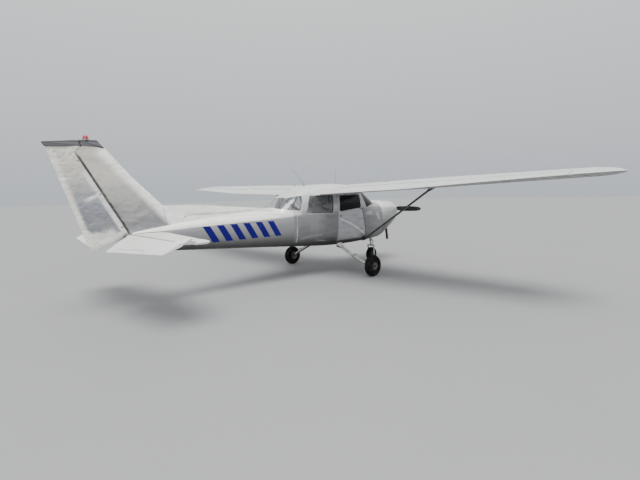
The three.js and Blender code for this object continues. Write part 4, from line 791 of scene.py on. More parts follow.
finish = {
    # The sides, door and cowl take the ramps of painted sky reflection above and painted shade towards the
    # keel
    "sides": gradedSheet("bareSides", stops["cabin"], keelLine, creaseLine, roughness=0.34,
                         lightShadeAndSeamStreaks=lightShadeAndSeamStreaks["sides"]),
    "door": gradedSheet("doorSheet", stops["door"], keelLine, creaseLine, metallic=0.35,
                        roughness=0.33, dent=0.004, lightShadeAndSeamStreaks=lightShadeAndSeamStreaks["door"]),
    # The tailcone's pale upper part is a painted reflection of the sky, and painted shade lies along its
    # folds
    "deck": gradedSheet("paleDeck", stops["flank"], keelLine, creaseLine, metallic=0.18,
                        roughness=0.34, dent=0.011, mottle=0.06, cover=0.25,
                        lightShadeAndSeamStreaks=lightShadeAndSeamStreaks["deck"]),
    "cowl": gradedSheet("wrinkledCowl", stops["cowl"], (0.66, 0.0, 0.09), (1.40, 0.02),
                        metallic=0.35, roughness=0.30, size=0.2, waves=1.2, dings=0.6),
    # The fin and rudder ramps paint a bluish grey reflection low down, and turn cream towards the top
    "fin": gradedSheet("creamFin", stops["fin"], (1.16, 0.0, 0.0), (2.03, 0.0), creamGrime,
                       metallic=0.12, roughness=0.34, size=0.24, dings=0.8, dent=0.020,
                       ragged=0.35, lightShadeAndSeamStreaks=lightShadeAndSeamStreaks["fin"], mottle=0.05),
    "rudder": gradedSheet("creamRudder", stops["rudder"], (1.03, 0.0, 0.0), (2.03, 0.0),
                          creamGrime, metallic=0.22, roughness=0.34, size=0.20, waves=1.2,
                          dings=1.2, dent=0.017, ragged=0.28, mottle=0.05,
                          lightShadeAndSeamStreaks=lightShadeAndSeamStreaks["rudder"]),
    "grey": gradedSheet("greyPrimer", stops["primer"], (2.44, 0.0, 0.0), (2.926, 0.107),
                        (0.2, 0.19, 0.18), metallic=0.0, roughness=0.55, dent=0.003, cover=0.3),
    "tail": sheetMetal("whiteTail", (0.76, 0.76, 0.74), (0.70, 0.70, 0.69), (0.40, 0.38, 0.36),
                       0.05, roughness=0.38, low=0.9, high=1.2, cover=0.25, dent=0.004),
    # The wing's underside gets painted shade from under
    "wing": sheetMetal("whiteWing", (0.67, 0.68, 0.68), (0.62, 0.63, 0.62), (0.33, 0.32, 0.31),
                       0.1, low=1.7, high=1.95, cover=0.3, stretch=(0.5, 3.0, 1.0), dent=0.004,
                       under=grey(0.20)),
    # The strut's near-black tone paints the shade on its underside; its cuffs and tie-down lugs share it
    "strut": sheetMetal("strutPaint", (0.022, 0.022, 0.023), (0.035, 0.035, 0.036), grey(0.09),
                        0.4, roughness=0.35, low=0.7, high=1.9, cover=0.4, dent=0.002),
    # The belly's near-black tone paints the shade under the fuselage; the grime is dirt
    "belly": sheetMetal("bellySkin", (0.05, 0.05, 0.052), (0.10, 0.10, 0.105),
                        (0.03, 0.028, 0.026), 0.35, roughness=0.42, low=0.62, high=0.68,
                        ragged=0.03, cover=0.6, stretch=(0.3, 3, 1)),
    # The leg's faces that point down get painted shade from under
    "leg": sheetMetal("whiteLegPaint", (0.84, 0.84, 0.83), (0.76, 0.76, 0.75), (0.5, 0.49, 0.47),
                      0.05, low=0.2, high=0.6, dent=0.001, under=(0.03, 0.03, 0.031)),
    "marks": plainFinish("sootyRivets", grey(0.10), soot, 0.3, scale=30.0),
    "blue": plainFinish("blueMarking", (0.006, 0.001, 0.115), (0.009, 0.003, 0.15), scale=9.0,
                        cover=0.3, Specular_IOR_Level=0.15),
    "rivet": plainFinish("rivetMetal", grey(0.55), soot, 0.6, 0.42, 30.0),
    "glass": glassFinish("clearPane", (0.85, 0.89, 0.91), 0.06, 1.0, 0.97),
    "shield": glassFinish("tintedShield", (0.15, 0.16, 0.17), 0.03, 0.12),
    # The side panes' milky haze paints the sky's reflection, and the door panes' near-black tint paints
    # the shade inside the cabin
    "sidePane": glassFinish("tintedPane", (0.74, 0.76, 0.77), 0.10, 1.0, 0.94),
    "doorPane": glassFinish("darkPane", (0.05, 0.055, 0.06), 0.02, 0.05),
    "seal": plainFinish("rubberSeal", (0.03, 0.03, 0.032), grey(0.10), roughness=0.75),
    "tyre": plainFinish("tyreRubber", (0.005, 0.005, 0.0055), (0.022, 0.021, 0.02),
                        roughness=0.9, scale=14.0, grainScale=500.0, bump=0.0008, cover=0.35,
                        Specular_IOR_Level=0.15),
    "hub": plainFinish("wheelAlloy", (0.30, 0.305, 0.31), (0.12, 0.115, 0.11), 0.55, 0.42, 16.0),
    "silver": plainFinish("silverPaint", (0.55, 0.56, 0.57), soot, 0.6, 0.38, 9.0, cover=0.35),
    "blade": plainFinish("blackBlade", (0.018, 0.018, 0.02), grey(0.06), roughness=0.4,
                         scale=10.0, cover=0.3),
    "steel": plainFinish("dullSteel", (0.36, 0.36, 0.37), (0.2, 0.19, 0.18), 0.85, 0.42),
    "chrome": plainFinish("polishedMetal", (0.78, 0.78, 0.79), grey(0.5), 1.0, 0.18, cover=0.2),
    "exhaust": plainFinish("scorchedSteel", (0.022, 0.022, 0.023), rust, 0.4, 0.6, 20.0),
    "cast": plainFinish("engineCasting", (0.14, 0.14, 0.145), rust, 0.45, 0.65,
                        grainScale=700.0, bump=0.001),
    "trim": plainFinish("cabinLining", (0.72, 0.71, 0.67), (0.55, 0.53, 0.49), roughness=0.8,
                        scale=8.0, grainScale=900.0, bump=0.0008),
    "black": plainFinish("blackPlastic", (0.022, 0.022, 0.023), (0.06, 0.058, 0.055),
                         roughness=0.6, grainScale=900.0, bump=0.0006),
    "dial": plainFinish("dialFace", (0.012, 0.012, 0.013), grey(0.03), roughness=0.25),
    "mark": plainFinish("whiteMarks", (0.8, 0.8, 0.78), (0.6, 0.6, 0.58)),
    "vinyl": plainFinish("seatVinyl", (0.58, 0.56, 0.52), (0.44, 0.42, 0.38), roughness=0.55,
                         scale=7.0, grainScale=420.0, bump=0.0009),
    "whip": plainFinish("antennaCoat", (0.13, 0.13, 0.135), wornGrey, roughness=0.45),
    "cloth": clothFinish("seatCloth", (0.34, 0.31, 0.27), (0.52, 0.49, 0.44), 0.005, 0.35),
    "belt": clothFinish("beltWebbing", (0.62, 0.58, 0.49), (0.42, 0.39, 0.33), 0.003, 0.1),
    "carpet": clothFinish("floorCarpet", (0.13, 0.125, 0.12), wornGrey, 0.006, 0.2),
    "red": lampFinish("redLens", (0.52, 0.008, 0.03)),
    "green": lampFinish("greenLens", (0.02, 0.35, 0.10)),
}
print("made", len(finish), "materials")


def makeFloor():
    half = studio["floorHalf"]
    made, tree, surface, place = startMaterial("paleFloor", Roughness=0.7)
    cloud = cloudNoise(tree, place, 0.35, 5.0)
    feed(tree, surface, Base_Color=mixColours(tree, cloud, (0.265, 0.27, 0.275), (0.295, 0.295, 0.30)))
    corners = [(x, y, 0) for x, y in box2d(-half, half, -half, half)]
    makePiece("floor", (corners, [(0, 1, 2, 3)]), made)


makeFloor()


# Fuselage skins

fuselage = {
    # station, bottom, top, half width, height of the widest point, powers above and below it
    "rows": [(0, 655, 1566, 500, 1130, 2.9, 4.0), (-150, 645, 1563, 512, 1130, 2.9, 4.0),
             (-420, 628, 1740, 525, 1140, 2.8, 4.2), (-700, 616, 1905, 532, 1160, 2.9, 4.4),
             (-1000, 609, 1975, 534, 1170, 3.2, 4.4), (-1500, 606, 1986, 530, 1170, 3.2, 4.4),
             (-1914, 620, 1968, 510, 1165, 3.3, 4.2), (-2190, 638, 1938, 488, 1160, 3.4, 4.0),
             (-2455, 658, 1878, 460, 1150, 3.5, 3.9), (-2634, 671, 1812, 438, 1140, 3.5, 3.8),
             (-2834, 686, 1716, 410, 1130, 3.3, 3.7), (-3030, 700, 1578, 384, 1110, 3.0, 3.5),
             (-3150, 708, 1498, 370, 1100, 3.0, 3.4), (-3420, 728, 1462, 340, 1095, 3.1, 3.2),
             (-3900, 762, 1424, 284, 1090, 3.2, 3.0), (-4850, 830, 1344, 182, 1090, 3.2, 2.8),
             (-5490, 879, 1272, 116, 1080, 3.0, 2.6), (-5900, 915, 1222, 66, 1075, 2.8, 2.4)],
    "quarter": 26, "ringPitch": 36, "wall": 36, "glass": 6, "tailWall": 7,
    "cabinRear": -2890, "cabinFront": -8, "floorTop": 740,
}
lines = {
    "belly": [(10, 700), (-1700, 700), (-2900, 765)],
    "windshield": [(-60, 1640), (-150, 1552), (-680, 1442), (-800, 1760), (-690, 2100), (-60, 2100)],
    "rearWindow": [(-2250, 2100), (-2250, 1925), (-2600, 1735), (-2705, 1425), (-3150, 1478),
                   (-3150, 2100)],
    "roofEdge": [(-700, 1778), (-1690, 1760), (-2600, 1742)],
    "sideWindow": [(-2577, 1373), (-2452, 1719), (-1796, 1731), (-1849, 1340)],
    "door": [(-1690, 724), (-1690, 1750), (-868, 1768), (-860, 1403), (-712, 800), (-800, 736)],
    "doorWindow": [(-1640, 1372), (-1606, 1718), (-905, 1738), (-905, 1432)],
    "baggage": [(-2790, 890), (-2790, 1300), (-2360, 1300), (-2360, 890)],
    "deck": [(-8, 1420), (-8, 1700), (-560, 1700), (-560, 1420)],
    "doorCorner": 45, "windowCorner": 50, "baggageCorner": 40, "doorGap": 6, "sillGap": 5,
    "paneGap": 0.4,
}
lap = 0.2  # from the line that two neighbouring panels share to each of them


bodyCurves = curvesOf(fuselage["rows"])


def quarterArc(half, height, power, count):
    turn = np.linspace(0, math.pi / 2, 500)
    y = half * np.cos(turn) ** (2 / power)
    z = height * np.sin(turn) ** (2 / power)
    along = np.concatenate([[0], np.cumsum(np.hypot(np.diff(y), np.diff(z)))])
    target = np.linspace(0, along[-1], count + 1)
    return np.interp(target, along, y), np.interp(target, along, z)


def bodyRing(station, inset=0, quarter=None, curves=None):
    quarter = quarter or fuselage["quarter"]
    bottom, top, half, wide, upper, lower = (c(station) for c in curves or bodyCurves)
    y1, z1 = quarterArc(half - inset, top - wide - inset, upper, quarter)
    y2, z2 = quarterArc(half - inset, wide - bottom - inset, lower, quarter)
    ring = [(y, wide + z) for y, z in zip(y1, z1)]
    ring += [(-y, wide + z) for y, z in zip(y1[-2::-1], z1[-2::-1])]
    ring += [(-y, wide - z) for y, z in zip(y2[1:], z2[1:])]
    ring += [(y, wide - z) for y, z in zip(y2[-2:0:-1], z2[-2:0:-1])]
    return [point(station, y, z) for y, z in ring]


# The half width, how far a height lies from the widest point to the edge, and the power there
def bodyShare(station, z):
    bottom, top, half, wide, upper, lower = (c(station) for c in bodyCurves)
    if z > wide:
        return half, (z - wide) / (top - wide), upper
    return half, (wide - z) / (wide - bottom), lower


def skinY(station, z):
    half, share, power = bodyShare(station, z)
    return half * max(0.0, 1 - min(1.0, abs(share)) ** power) ** (1 / power)


# 1 on the body's skin, and less inside it
def skinLevel(station, y, z):
    half, share, power = bodyShare(station, z)
    return (abs(y / half) ** power + abs(share) ** power) ** (1 / power)


def bodySolid(front, rear, inset=0, pitch=None, quarter=None):
    stations = spread(front, rear, pitch or fuselage["ringPitch"])
    return loft([bodyRing(x, inset, quarter) for x in stations])


def band(outline, growth=0.0, side=0):
    reach = (-900, 900) if side == 0 else ((1, 900) if side > 0 else (-900, -1))
    return sidePrism(grown(outline, growth) if growth else outline, *reach)


# Faces of the inner side take the second material, and cut edges the third
def liningFaces(piece, limit=0.965):
    edged = len(piece.data.materials) > 2
    for face in piece.data.polygons:
        c = face.center
        if skinLevel(c.x * 1000 + originStation, c.y * 1000, c.z * 1000) < limit:
            face.material_index = 1
        if edged and abs(face.normal.dot(outerTree.find_nearest(c)[1])) < 0.5:
            face.material_index = 2


fuselageForm = makePiece("fuselageForm", bodySolid(0, -5900))
outerTree = BVHTree.FromObject(fuselageForm, bpy.context.evaluated_depsgraph_get())
cabinTube = makePiece("cabinTube", bodySolid(fuselage["cabinFront"], fuselage["cabinRear"]))
carve(cabinTube, bodySolid(0, -3050, fuselage["wall"], 90, 18))
glassTube = makePiece("glassTube", bodySolid(-30, -3200))
carve(glassTube, bodySolid(0, -3300, fuselage["glass"]))
print("fuselage forms are ready")

aboveRoof = [*lines["roofEdge"], (-3300, 1728), (-3300, 2500), (-300, 2500), (-300, 1785)]
belowRoof = [(100, 1784), *lines["roofEdge"], (-3300, 1728), (-3300, 0), (100, 0)]
bellyBand = [*lines["belly"], (-2900, 0), (10, 0)]
doorOpening = [(x, z - lines["sillGap"] if z < 750 else z) for x, z in lines["door"]]


def panel(name, body, slot, nodes, source, keep, cuts, materials, limit=0.965):
    piece = duplicate(source, name)
    for shape in keep:
        carve(piece, shape, "INTERSECT")
    for shape in cuts:
        carve(piece, shape)
    sharpen(piece, 30)
    for material in materials:
        piece.data.materials.append(material)
    if len(materials) > 1:
        liningFaces(piece, limit)
    return show(piece, body, slot, *nodes)


def makeCabinPanels():
    skins = [finish["sides"], finish["trim"], finish["seal"]]
    for side, label in sides:
        cuts = [band(bellyBand, lap), band(lines["windshield"], lap),
                band(lines["rearWindow"], lap), band(lines["deck"], lap),
                band(rounded(doorOpening, lines["doorCorner"] + 6), lines["doorGap"]),
                band(rounded(lines["sideWindow"], lines["windowCorner"]), lines["paneGap"])]
        if side > 0:
            cuts.append(band(rounded(lines["baggage"], lines["baggageCorner"] + 6),
                             lines["doorGap"]))
        panel(f"cabinSide.{label}", "airframe", "bare_skin", [f"cabin_side_{label}"], cabinTube,
              [band(belowRoof, -lap, side)], cuts, skins)
        panel(f"doorSkin.{label}", f"door_{label}", "bare_skin", [f"door_{label}"], cabinTube,
              [band(rounded(lines["door"], lines["doorCorner"]), 0, side)],
              [band(rounded(lines["doorWindow"], lines["windowCorner"]), lines["paneGap"])],
              [finish["door"], finish["trim"], finish["seal"]])
        panel(f"sideWindow.{label}", "airframe", "window", [f"side_window_{label}"], glassTube,
              [band(rounded(lines["sideWindow"], lines["windowCorner"]), 0, side)], [],
              [finish["sidePane"]])
        panel(f"doorWindow.{label}", f"door_{label}", "window", [f"door_window_{label}"],
              glassTube, [band(rounded(lines["doorWindow"], lines["windowCorner"]), 0, side)], [],
              [finish["doorPane"]])
    panel("baggageHatch", "baggage_door", "bare_skin", ["baggage_door"], cabinTube,
          [band(rounded(lines["baggage"], lines["baggageCorner"]), 0, 1)], [], skins)
    panel("frontDeck", "airframe", "bare_skin", ["front_deck"], cabinTube,
          [band(lines["deck"], -lap)], [band(lines["windshield"], lap)], skins)
    panel("roofSkin", "airframe", "painted_skin", ["cabin_roof"], cabinTube, [band(aboveRoof, -lap)],
          [band(lines["windshield"], lap), band(lines["rearWindow"], lap)],
          [finish["wing"], finish["trim"]])
    panel("bellySkin", "airframe", "bare_skin", ["cabin_floor"], cabinTube,
          [band(bellyBand, -lap)], [], [finish["belly"], finish["carpet"]])
    panel("windshieldPane", "airframe", "window", ["windshield"], glassTube,
          [band(lines["windshield"], -lap)], [], [finish["shield"]])
    panel("rearWindowPane", "airframe", "window", ["rear_window"], glassTube,
          [band(lines["rearWindow"], -lap)], [], [finish["glass"]])
    floor = makePiece("cabinBoards", bodySolid(-9, -2889, fuselage["wall"] + 0.5, 120, 14))
    carve(floor, block(-9, -2889, -800, 800, 722, fuselage["floorTop"]), "INTERSECT")
    dress(floor, "carpet", "airframe", "interior_trim")


makeCabinPanels()
print("cabin panels, doors and panes are made")


def makeTailcone():
    piece = makePiece("tailconeSkin", bodySolid(fuselage["cabinRear"] - lap, -5900))
    carve(piece, bodySolid(-2800, -5870, fuselage["tailWall"], 90, 18))
    carve(piece, band(lines["rearWindow"], lap))
    sharpen(piece)
    piece.data.materials.append(finish["deck"])
    piece.data.materials.append(finish["trim"])
    liningFaces(piece, 0.99)
    show(piece, "airframe", "bare_skin", "tailcone")
    shape = roundedBox(-5760, -5700, -14, 14, 868, 925, 10)
    build("tailRing", shape, "steel", "airframe", "bare_skin")


makeTailcone()

cowl = {
    "rows": [(0.6, 655, 1566, 500, 1130, 2.9, 4.0), (104, 680, 1572, 492, 1150, 2.9, 3.8),
             (300, 760, 1578, 470, 1190, 2.8, 3.4), (620, 897, 1568, 415, 1240, 2.7, 3.0),
             (800, 985, 1545, 376, 1270, 2.6, 2.8), (930, 1085, 1510, 312, 1300, 2.5, 2.6),
             (985, 1150, 1462, 236, 1310, 2.4, 2.5)],
    "wall": 20, "split": 1300, "intakeInner": 150, "intakeOuter": 262, "intakeBottom": 1262,
    "intakeTop": 1372, "intakeDepth": 900, "shaftZ": 1345, "shaftHole": 96, "pitch": 22,
}
cowlCurves = curvesOf(cowl["rows"])


def cowlSolid(front, rear, inset, pitch, quarter):
    rings = []
    for x in spread(front, rear, pitch):
        ease = max(0.0, (x - 935) / 50) ** 2 * 16 if inset == 0 else 0
        rings.append(bodyRing(x, inset + ease, quarter, cowlCurves))
    return loft(rings)


def makeCowl():
    shell = makePiece("cowlShell", cowlSolid(985, 0.6, 0, cowl["pitch"], 30))
    carve(shell, cowlSolid(965, -20, cowl["wall"], 60, 18))
    for side in (-1, 1):
        y0, y1 = side * cowl["intakeInner"], side * cowl["intakeOuter"]
        opening = rounded([(y0, cowl["intakeBottom"]), (y1, cowl["intakeBottom"]),
                           (y1, cowl["intakeTop"]), (y0, cowl["intakeTop"])], 45)
        shape = loft([[point(x, y, z) for y, z in opening] for x in (cowl["intakeDepth"], 1100)])
        carve(shell, shape)
    carve(shell, turned([(0, -60), (cowl["shaftHole"], -60), (cowl["shaftHole"], 200), (0, 200)],
                        point(985, 0, cowl["shaftZ"]), (1, 0, 0), 40))
    split = cowl["split"]
    for name, z0, z1 in (("upper", split + 0.4, 1900), ("lower", 300, split - 0.4)):
        piece = duplicate(shell, f"cowlSkin.{name}")
        carve(piece, block(-30, 1100, -800, 800, z0, z1), "INTERSECT")
        if name == "lower":
            carve(piece, block(60, 230, -74, 74, 300, 980))
            carve(piece, tube([point(524, -222, 1070), point(496, -313, 460)], 0.042, 24))
        dress(piece, "cowl", "airframe", "bare_skin", f"cowl_{name}")
    discard(shell)


makeCowl()
print("tailcone and cowl are made")

# Wings

wing = {
    # distance from the centre, leading edge, chord, quarter-chord height, incidence in degrees
    "rows": [(0, -660, 1626, 1832, 4.5), (2540, -660, 1626, 1907, 4.5),
             (5130, -780, 1130, 1985, 1.6)],
    # distance, set back, share of the chord, flatness, rise
    "tip": [(5130, 0, 1, 1, 0), (5320, 0.02, 0.94, 0.8, 6), (5440, 0.09, 0.8, 0.5, 12),
            (5500, 0.22, 0.56, 0.16, 14)],
    "root": 548, "camber": 0.02, "camberAt": 0.4, "thickness": 0.12, "chordSteps": 26,
    "ringPitch": 110, "controlGap": 7, "sideGap": 12, "trailingHalf": 3,
    "taper": 2540, "tipFrom": 5130, "end": 5500,
}
flap = {"inner": 610, "outer": 2530, "fraction": 0.7, "hinges": (900, 2240), "drop": 120,
        "travel": 40, "beadPitch": 0.085, "beadDepth": 0.0045}
aileron = {"inner": 2546, "outer": 4925, "fraction": 0.76, "hinges": (2900, 4560),
           "beadPitch": 0.085, "beadDepth": 0.004}


def wingStation(y):
    lead, chord, quarter, degrees = (rowValue(wing["rows"], abs(y), k) for k in range(1, 5))
    return {"lead": lead, "chord": chord, "quarter": quarter, "incidence": math.radians(degrees)}


def sectionHeights(x):
    half = 5 * wing["thickness"] * (0.2969 * math.sqrt(x) - 0.126 * x - 0.3516 * x ** 2
                                    + 0.2843 * x ** 3 - 0.1015 * x ** 4)
    camber, crest = wing["camber"], wing["camberAt"]
    line = (camber / crest ** 2) * (2 * crest * x - x * x) if x < crest else (
        camber / (1 - crest) ** 2) * (1 - 2 * crest + 2 * crest * x - x * x)
    return line + half, line - half


def sectionPoint(station, fraction, height):
    along = (fraction - 0.25) * station["chord"]
    turn = station["incidence"]
    x = station["lead"] - 0.25 * station["chord"] - along * math.cos(turn) - height * math.sin(turn)
    return x, station["quarter"] - along * math.sin(turn) + height * math.cos(turn)


def wingRing(y, station, flatness=1.0):
    steps = wing["chordSteps"]
    fractions = [(1 - math.cos(math.pi * i / steps)) / 2 for i in range(steps + 1)]
    chord = station["chord"] * flatness
    upper = [sectionPoint(station, f, sectionHeights(f)[0] * chord) for f in fractions]
    lower = [sectionPoint(station, f, sectionHeights(f)[1] * chord) for f in fractions[1:]]
    return [point(x, y, z) for x, z in upper[::-1] + lower]


def tipStation(y):
    base = wingStation(wing["tipFrom"])
    back, share, flatness, rise = (column(y) for column in curvesOf(wing["tip"]))
    sink = (back + 0.25 * share - 0.25) * base["chord"] * math.sin(base["incidence"])
    station = {"lead": base["lead"] - back * base["chord"], "chord": base["chord"] * share,
               "quarter": base["quarter"] + rise - sink, "incidence": base["incidence"]}
    return station, flatness


def wingSolid(side, start=wing["root"]):
    taper, tipFrom, end = wing["taper"], wing["tipFrom"], wing["end"]
    ys = spread(start, taper, wing["ringPitch"]) + spread(taper, tipFrom, wing["ringPitch"])[1:]
    rings = [wingRing(side * y, wingStation(y)) for y in ys]
    for i in range(1, 15):
        y = tipFrom + (end - tipFrom) * math.sin(math.pi / 2 * i / 14)
        station, flatness = tipStation(min(y, end - 0.1))
        rings.append(wingRing(side * y, station, flatness))
    return loft(rings)


def surfaceNose(y, fraction):
    station = wingStation(y)
    upper, lower = sectionHeights(fraction)
    radius = 0.5 * (upper - lower) * station["chord"]
    x, z = sectionPoint(station, fraction, 0.5 * (upper + lower) * station["chord"])
    return x - 0.2 * radius, z, radius, station


def coveCut(inner, outer, fraction, side):
    rings = []
    for y in (inner, outer):
        x, z, radius, station = surfaceNose(y, fraction)
        ahead, behind = x + radius + wing["controlGap"], station["lead"] - station["chord"] - 60
        rings.append([point(a, side * y, z + b) for a, b in
                      ((ahead, -200), (ahead, 200), (behind, 200), (behind, -200))])
    return loft(rings)


def surfaceRing(y, fraction, side):
    x, z, radius, station = surfaceNose(y, fraction)
    ring = [(x + radius * math.cos(t), z + radius * math.sin(t))
            for t in np.linspace(-math.pi / 2, math.pi / 2, 13)]
    edge = sectionPoint(station, 1, 0)
    f = 0.5 * (fraction + 1)
    for face, up in ((0, 1), (1, -1)):
        middle = sectionPoint(station, f, sectionHeights(f)[face] * station["chord"])
        first, end = (x, z + up * radius), (edge[0], edge[1] + up * wing["trailingHalf"])
        control = [2 * middle[k] - 0.5 * (first[k] + end[k]) for k in (0, 1)]
        run = [tuple((1 - t) ** 2 * first[k] + 2 * t * (1 - t) * control[k] + t * t * end[k]
                     for k in (0, 1)) for t in [i / 16 for i in range(1, 17)]]
        ring += run if up > 0 else run[::-1]
    return [point(a, side * y, b) for a, b in ring]


# Geometry Nodes raise evenly spaced beads across a skin, and fade them out by a weight
def makeBeadTree():
    tree, given = newGroup("beadedSkin", {"Geometry": "Geometry", "Pitch": 0.085, "Depth": 0.004,
                                          "Along": (0, 1, 0), "Sharpness": 3.0,
                                          "Material": "Material"}, ["Geometry"], "Geometry")
    place = makeNode(tree, "GeometryNodeInputPosition").outputs[0]
    run = makeNode(tree, "ShaderNodeVectorMath", {0: place, 1: given["Along"]},
                   operation="DOT_PRODUCT").outputs["Value"]
    turns = times(tree, calc(tree, "DIVIDE", run, given["Pitch"]), math.pi)
    wave = calc(tree, "POWER", calc(tree, "ABSOLUTE", calc(tree, "SINE", turns)),
                given["Sharpness"])
    weight = makeNode(tree, "GeometryNodeInputNamedAttribute", {"Name": "beadWeight"},
                      data_type="FLOAT").outputs[0]
    rise = times(tree, times(tree, wave, weight), given["Depth"])
    normal = makeNode(tree, "GeometryNodeInputNormal").outputs[0]
    offset = makeNode(tree, "ShaderNodeVectorMath", {0: normal, "Scale": rise},
                      operation="SCALE").outputs[0]
    moved = makeNode(tree, "GeometryNodeSetPosition", {"Geometry": given["Geometry"],
                     "Offset": offset}).outputs[0]
    return endShape(tree, moved, given["Material"])


# Ends a tree with its shape made real, in one material
def endShape(tree, shape, material):
    real = makeNode(tree, "GeometryNodeRealizeInstances", {0: shape}).outputs[0]
    dressed = makeNode(tree, "GeometryNodeSetMaterial", {"Geometry": real, "Material": material})
    return endGroup(tree, Geometry=dressed.outputs[0])


def runTree(piece, tree, **values):
    modifier = piece.modifiers.new(tree.name, "NODES")
    modifier.node_group = tree
    for item in tree.interface.items_tree:
        if item.item_type == "SOCKET" and item.in_out == "INPUT" and item.name in values:
            modifier[item.identifier] = values[item.name]
    applyModifiers(piece)


beadTree = makeBeadTree()


# Rises from 0 to 1 over a span
def rising(value, span):
    return min(1, max(0, value / span))


# The share of the chord where beads start and end, and how they fade there and at the sides
bead = {"from": 0.2, "fadeIn": 0.08, "to": 0.95, "fadeOut": 0.06, "sideFade": 40, "steps": 8}


def beadFade(share, last, side):
    return (rising(share - bead["from"], bead["fadeIn"]) * rising(last - share, bead["fadeOut"])
            * rising(side, bead["sideFade"]))


# How many rings a beaded surface has between its two sides
def beadRings(surface):
    return round((surface["outer"] - surface["inner"]) / 1000 / surface["beadPitch"] * bead["steps"])


def beaded(name, shape, weightOf, material, pitch, depth):
    piece = makePiece(name, shape, None, 180)
    weights = piece.data.attributes.new("beadWeight", "FLOAT", "POINT")
    weights.data.foreach_set("value", [weightOf(v.co) for v in piece.data.vertices])
    runTree(piece, beadTree, Pitch=pitch, Depth=depth, Material=finish[material])
    piece.data.attributes.remove(piece.data.attributes["beadWeight"])
    return piece


def hingeFrame(centre, along, ahead):
    y = Vector(along).normalized()
    x = (Vector(ahead) - y * Vector(ahead).dot(y)).normalized()
    turn = Matrix((x, y, x.cross(y))).transposed().to_4x4()
    return Matrix.Translation(centre) @ turn


hinge = {"thickness": 8, "eye": 11, "pin": 4, "side": 5, "seat": 12, "high": 90, "flat": 0.8}


def framed(shape, place):
    return [tuple(place @ Vector(v)) for v in shape[0]], shape[1]


def plainBlock(x0, x1, y0, y1, z0, z1):
    return loft([[Vector((x, y, z)) / 1000 for x, z in box2d(x0, x1, z0, z1)] for y in (y0, y1)])


def hingeSlot(place, back=None):
    half = 0.5 * hinge["thickness"] + hinge["side"]
    high = hinge["high"]
    return framed(plainBlock(-(back or hinge["eye"] + hinge["side"]), 2 * high, -half, half,
                             -high, high), place)


def hingeLug(place, reach):
    half = 0.5 * hinge["thickness"]
    eye = hinge["eye"]
    outline = [(eye * math.cos(t), eye * math.sin(t))
               for t in np.linspace(math.pi / 2, 1.5 * math.pi, 13)]
    outline += [(reach, -hinge["flat"] * eye), (reach, hinge["flat"] * eye)]
    return framed(loft([[Vector((x, y, z)) / 1000 for x, z in outline] for y in (-half, half)]),
                  place)


def hingePin(place):
    reach = (0.5 * hinge["thickness"] + 2 * hinge["side"]) / 1000
    return framed(rod((0, -reach, 0), (0, reach, 0), hinge["pin"] / 1000, 14), place)


def wingHinges(surface, side):
    ends = []
    for y in (surface["inner"], surface["outer"]):
        x, z, radius, _ = surfaceNose(y, surface["fraction"])
        ends.append((point(x, side * y, z), radius))
    along = (ends[1][0] - ends[0][0]) * side
    made = []
    for y in surface["hinges"]:
        share = (y - surface["inner"]) / (surface["outer"] - surface["inner"])
        centre = ends[0][0].lerp(ends[1][0], share)
        radius = ends[0][1] + (ends[1][1] - ends[0][1]) * share
        made.append((hingeFrame(centre, along, (1, 0, 0)),
                     radius + wing["controlGap"] + hinge["seat"]))
    return made


def flapTrack(place, reach):
    drop, travel, eye = flap["drop"], flap["travel"], hinge["eye"]
    turns = np.linspace(math.radians(-4), math.radians(travel + 5), 24)
    outline = [(-r * math.sin(t), r * math.cos(t) - drop)
               for r, arc in ((drop + eye, turns), (drop - eye, turns[::-1])) for t in arc]
    half, flat = 0.5 * hinge["thickness"], hinge["flat"] * eye
    arc = loft([[Vector((x, y, z)) / 1000 for x, z in outline] for y in (-half, half)])
    root = plainBlock(hinge["pin"], reach, -half, half, -flat, flat)
    return joined(framed(arc, place), framed(root, place))


# How far behind the hinge a flap is slotted, for the whole of its track
flapSlot = flap["drop"] * math.sin(math.radians(flap["travel"])) + 21


def makeWingSide(side, label):
    skin = makePiece(f"wingSkin.{label}", wingSolid(side))
    middle = 0.5 * (flap["outer"] + aileron["inner"])
    carve(skin, coveCut(flap["inner"] - wing["sideGap"], middle, flap["fraction"], side))
    carve(skin, coveCut(middle - 1, aileron["outer"] + wing["sideGap"], aileron["fraction"], side))
    dress(skin, "wing", "airframe", "painted_skin", f"wing_{label}", sharpAngle=34)
    brackets = [hingeLug(*pair) for pair in wingHinges(aileron, side)]
    brackets += [flapTrack(*pair) for pair in wingHinges(flap, side)]
    build(f"wingBrackets.{label}", joined(*brackets), "silver", "airframe", "painted_skin")
    for kind, surface in (("flap", flap), ("aileron", aileron)):
        count = beadRings(surface)
        ys = [surface["inner"] + (surface["outer"] - surface["inner"]) * i / count
              for i in range(count + 1)]
        shape = loft([surfaceRing(y, surface["fraction"], side) for y in ys])

        def weightOf(co, fraction=surface["fraction"], surface=surface):
            y = abs(co.y) * 1000
            station = wingStation(y)
            f = (station["lead"] - co.x * 1000 - originStation) / station["chord"]
            return beadFade((f - fraction) / (1 - fraction), bead["to"],
                            min(y - surface["inner"], surface["outer"] - y))

        piece = beaded(f"{kind}Skin.{label}", shape, weightOf, "wing", surface["beadPitch"],
                       surface["beadDepth"])
        pins = []
        for place, _ in wingHinges(surface, side):
            carve(piece, hingeSlot(place, flapSlot if kind == "flap" else None))
            pins.append(hingePin(place))
        sharpen(piece, 50)
        show(piece, f"{kind}_{label}", "painted_skin", f"{kind}_{label}")
        build(f"{kind}Pins.{label}", joined(*pins), "steel", f"{kind}_{label}", "painted_skin")


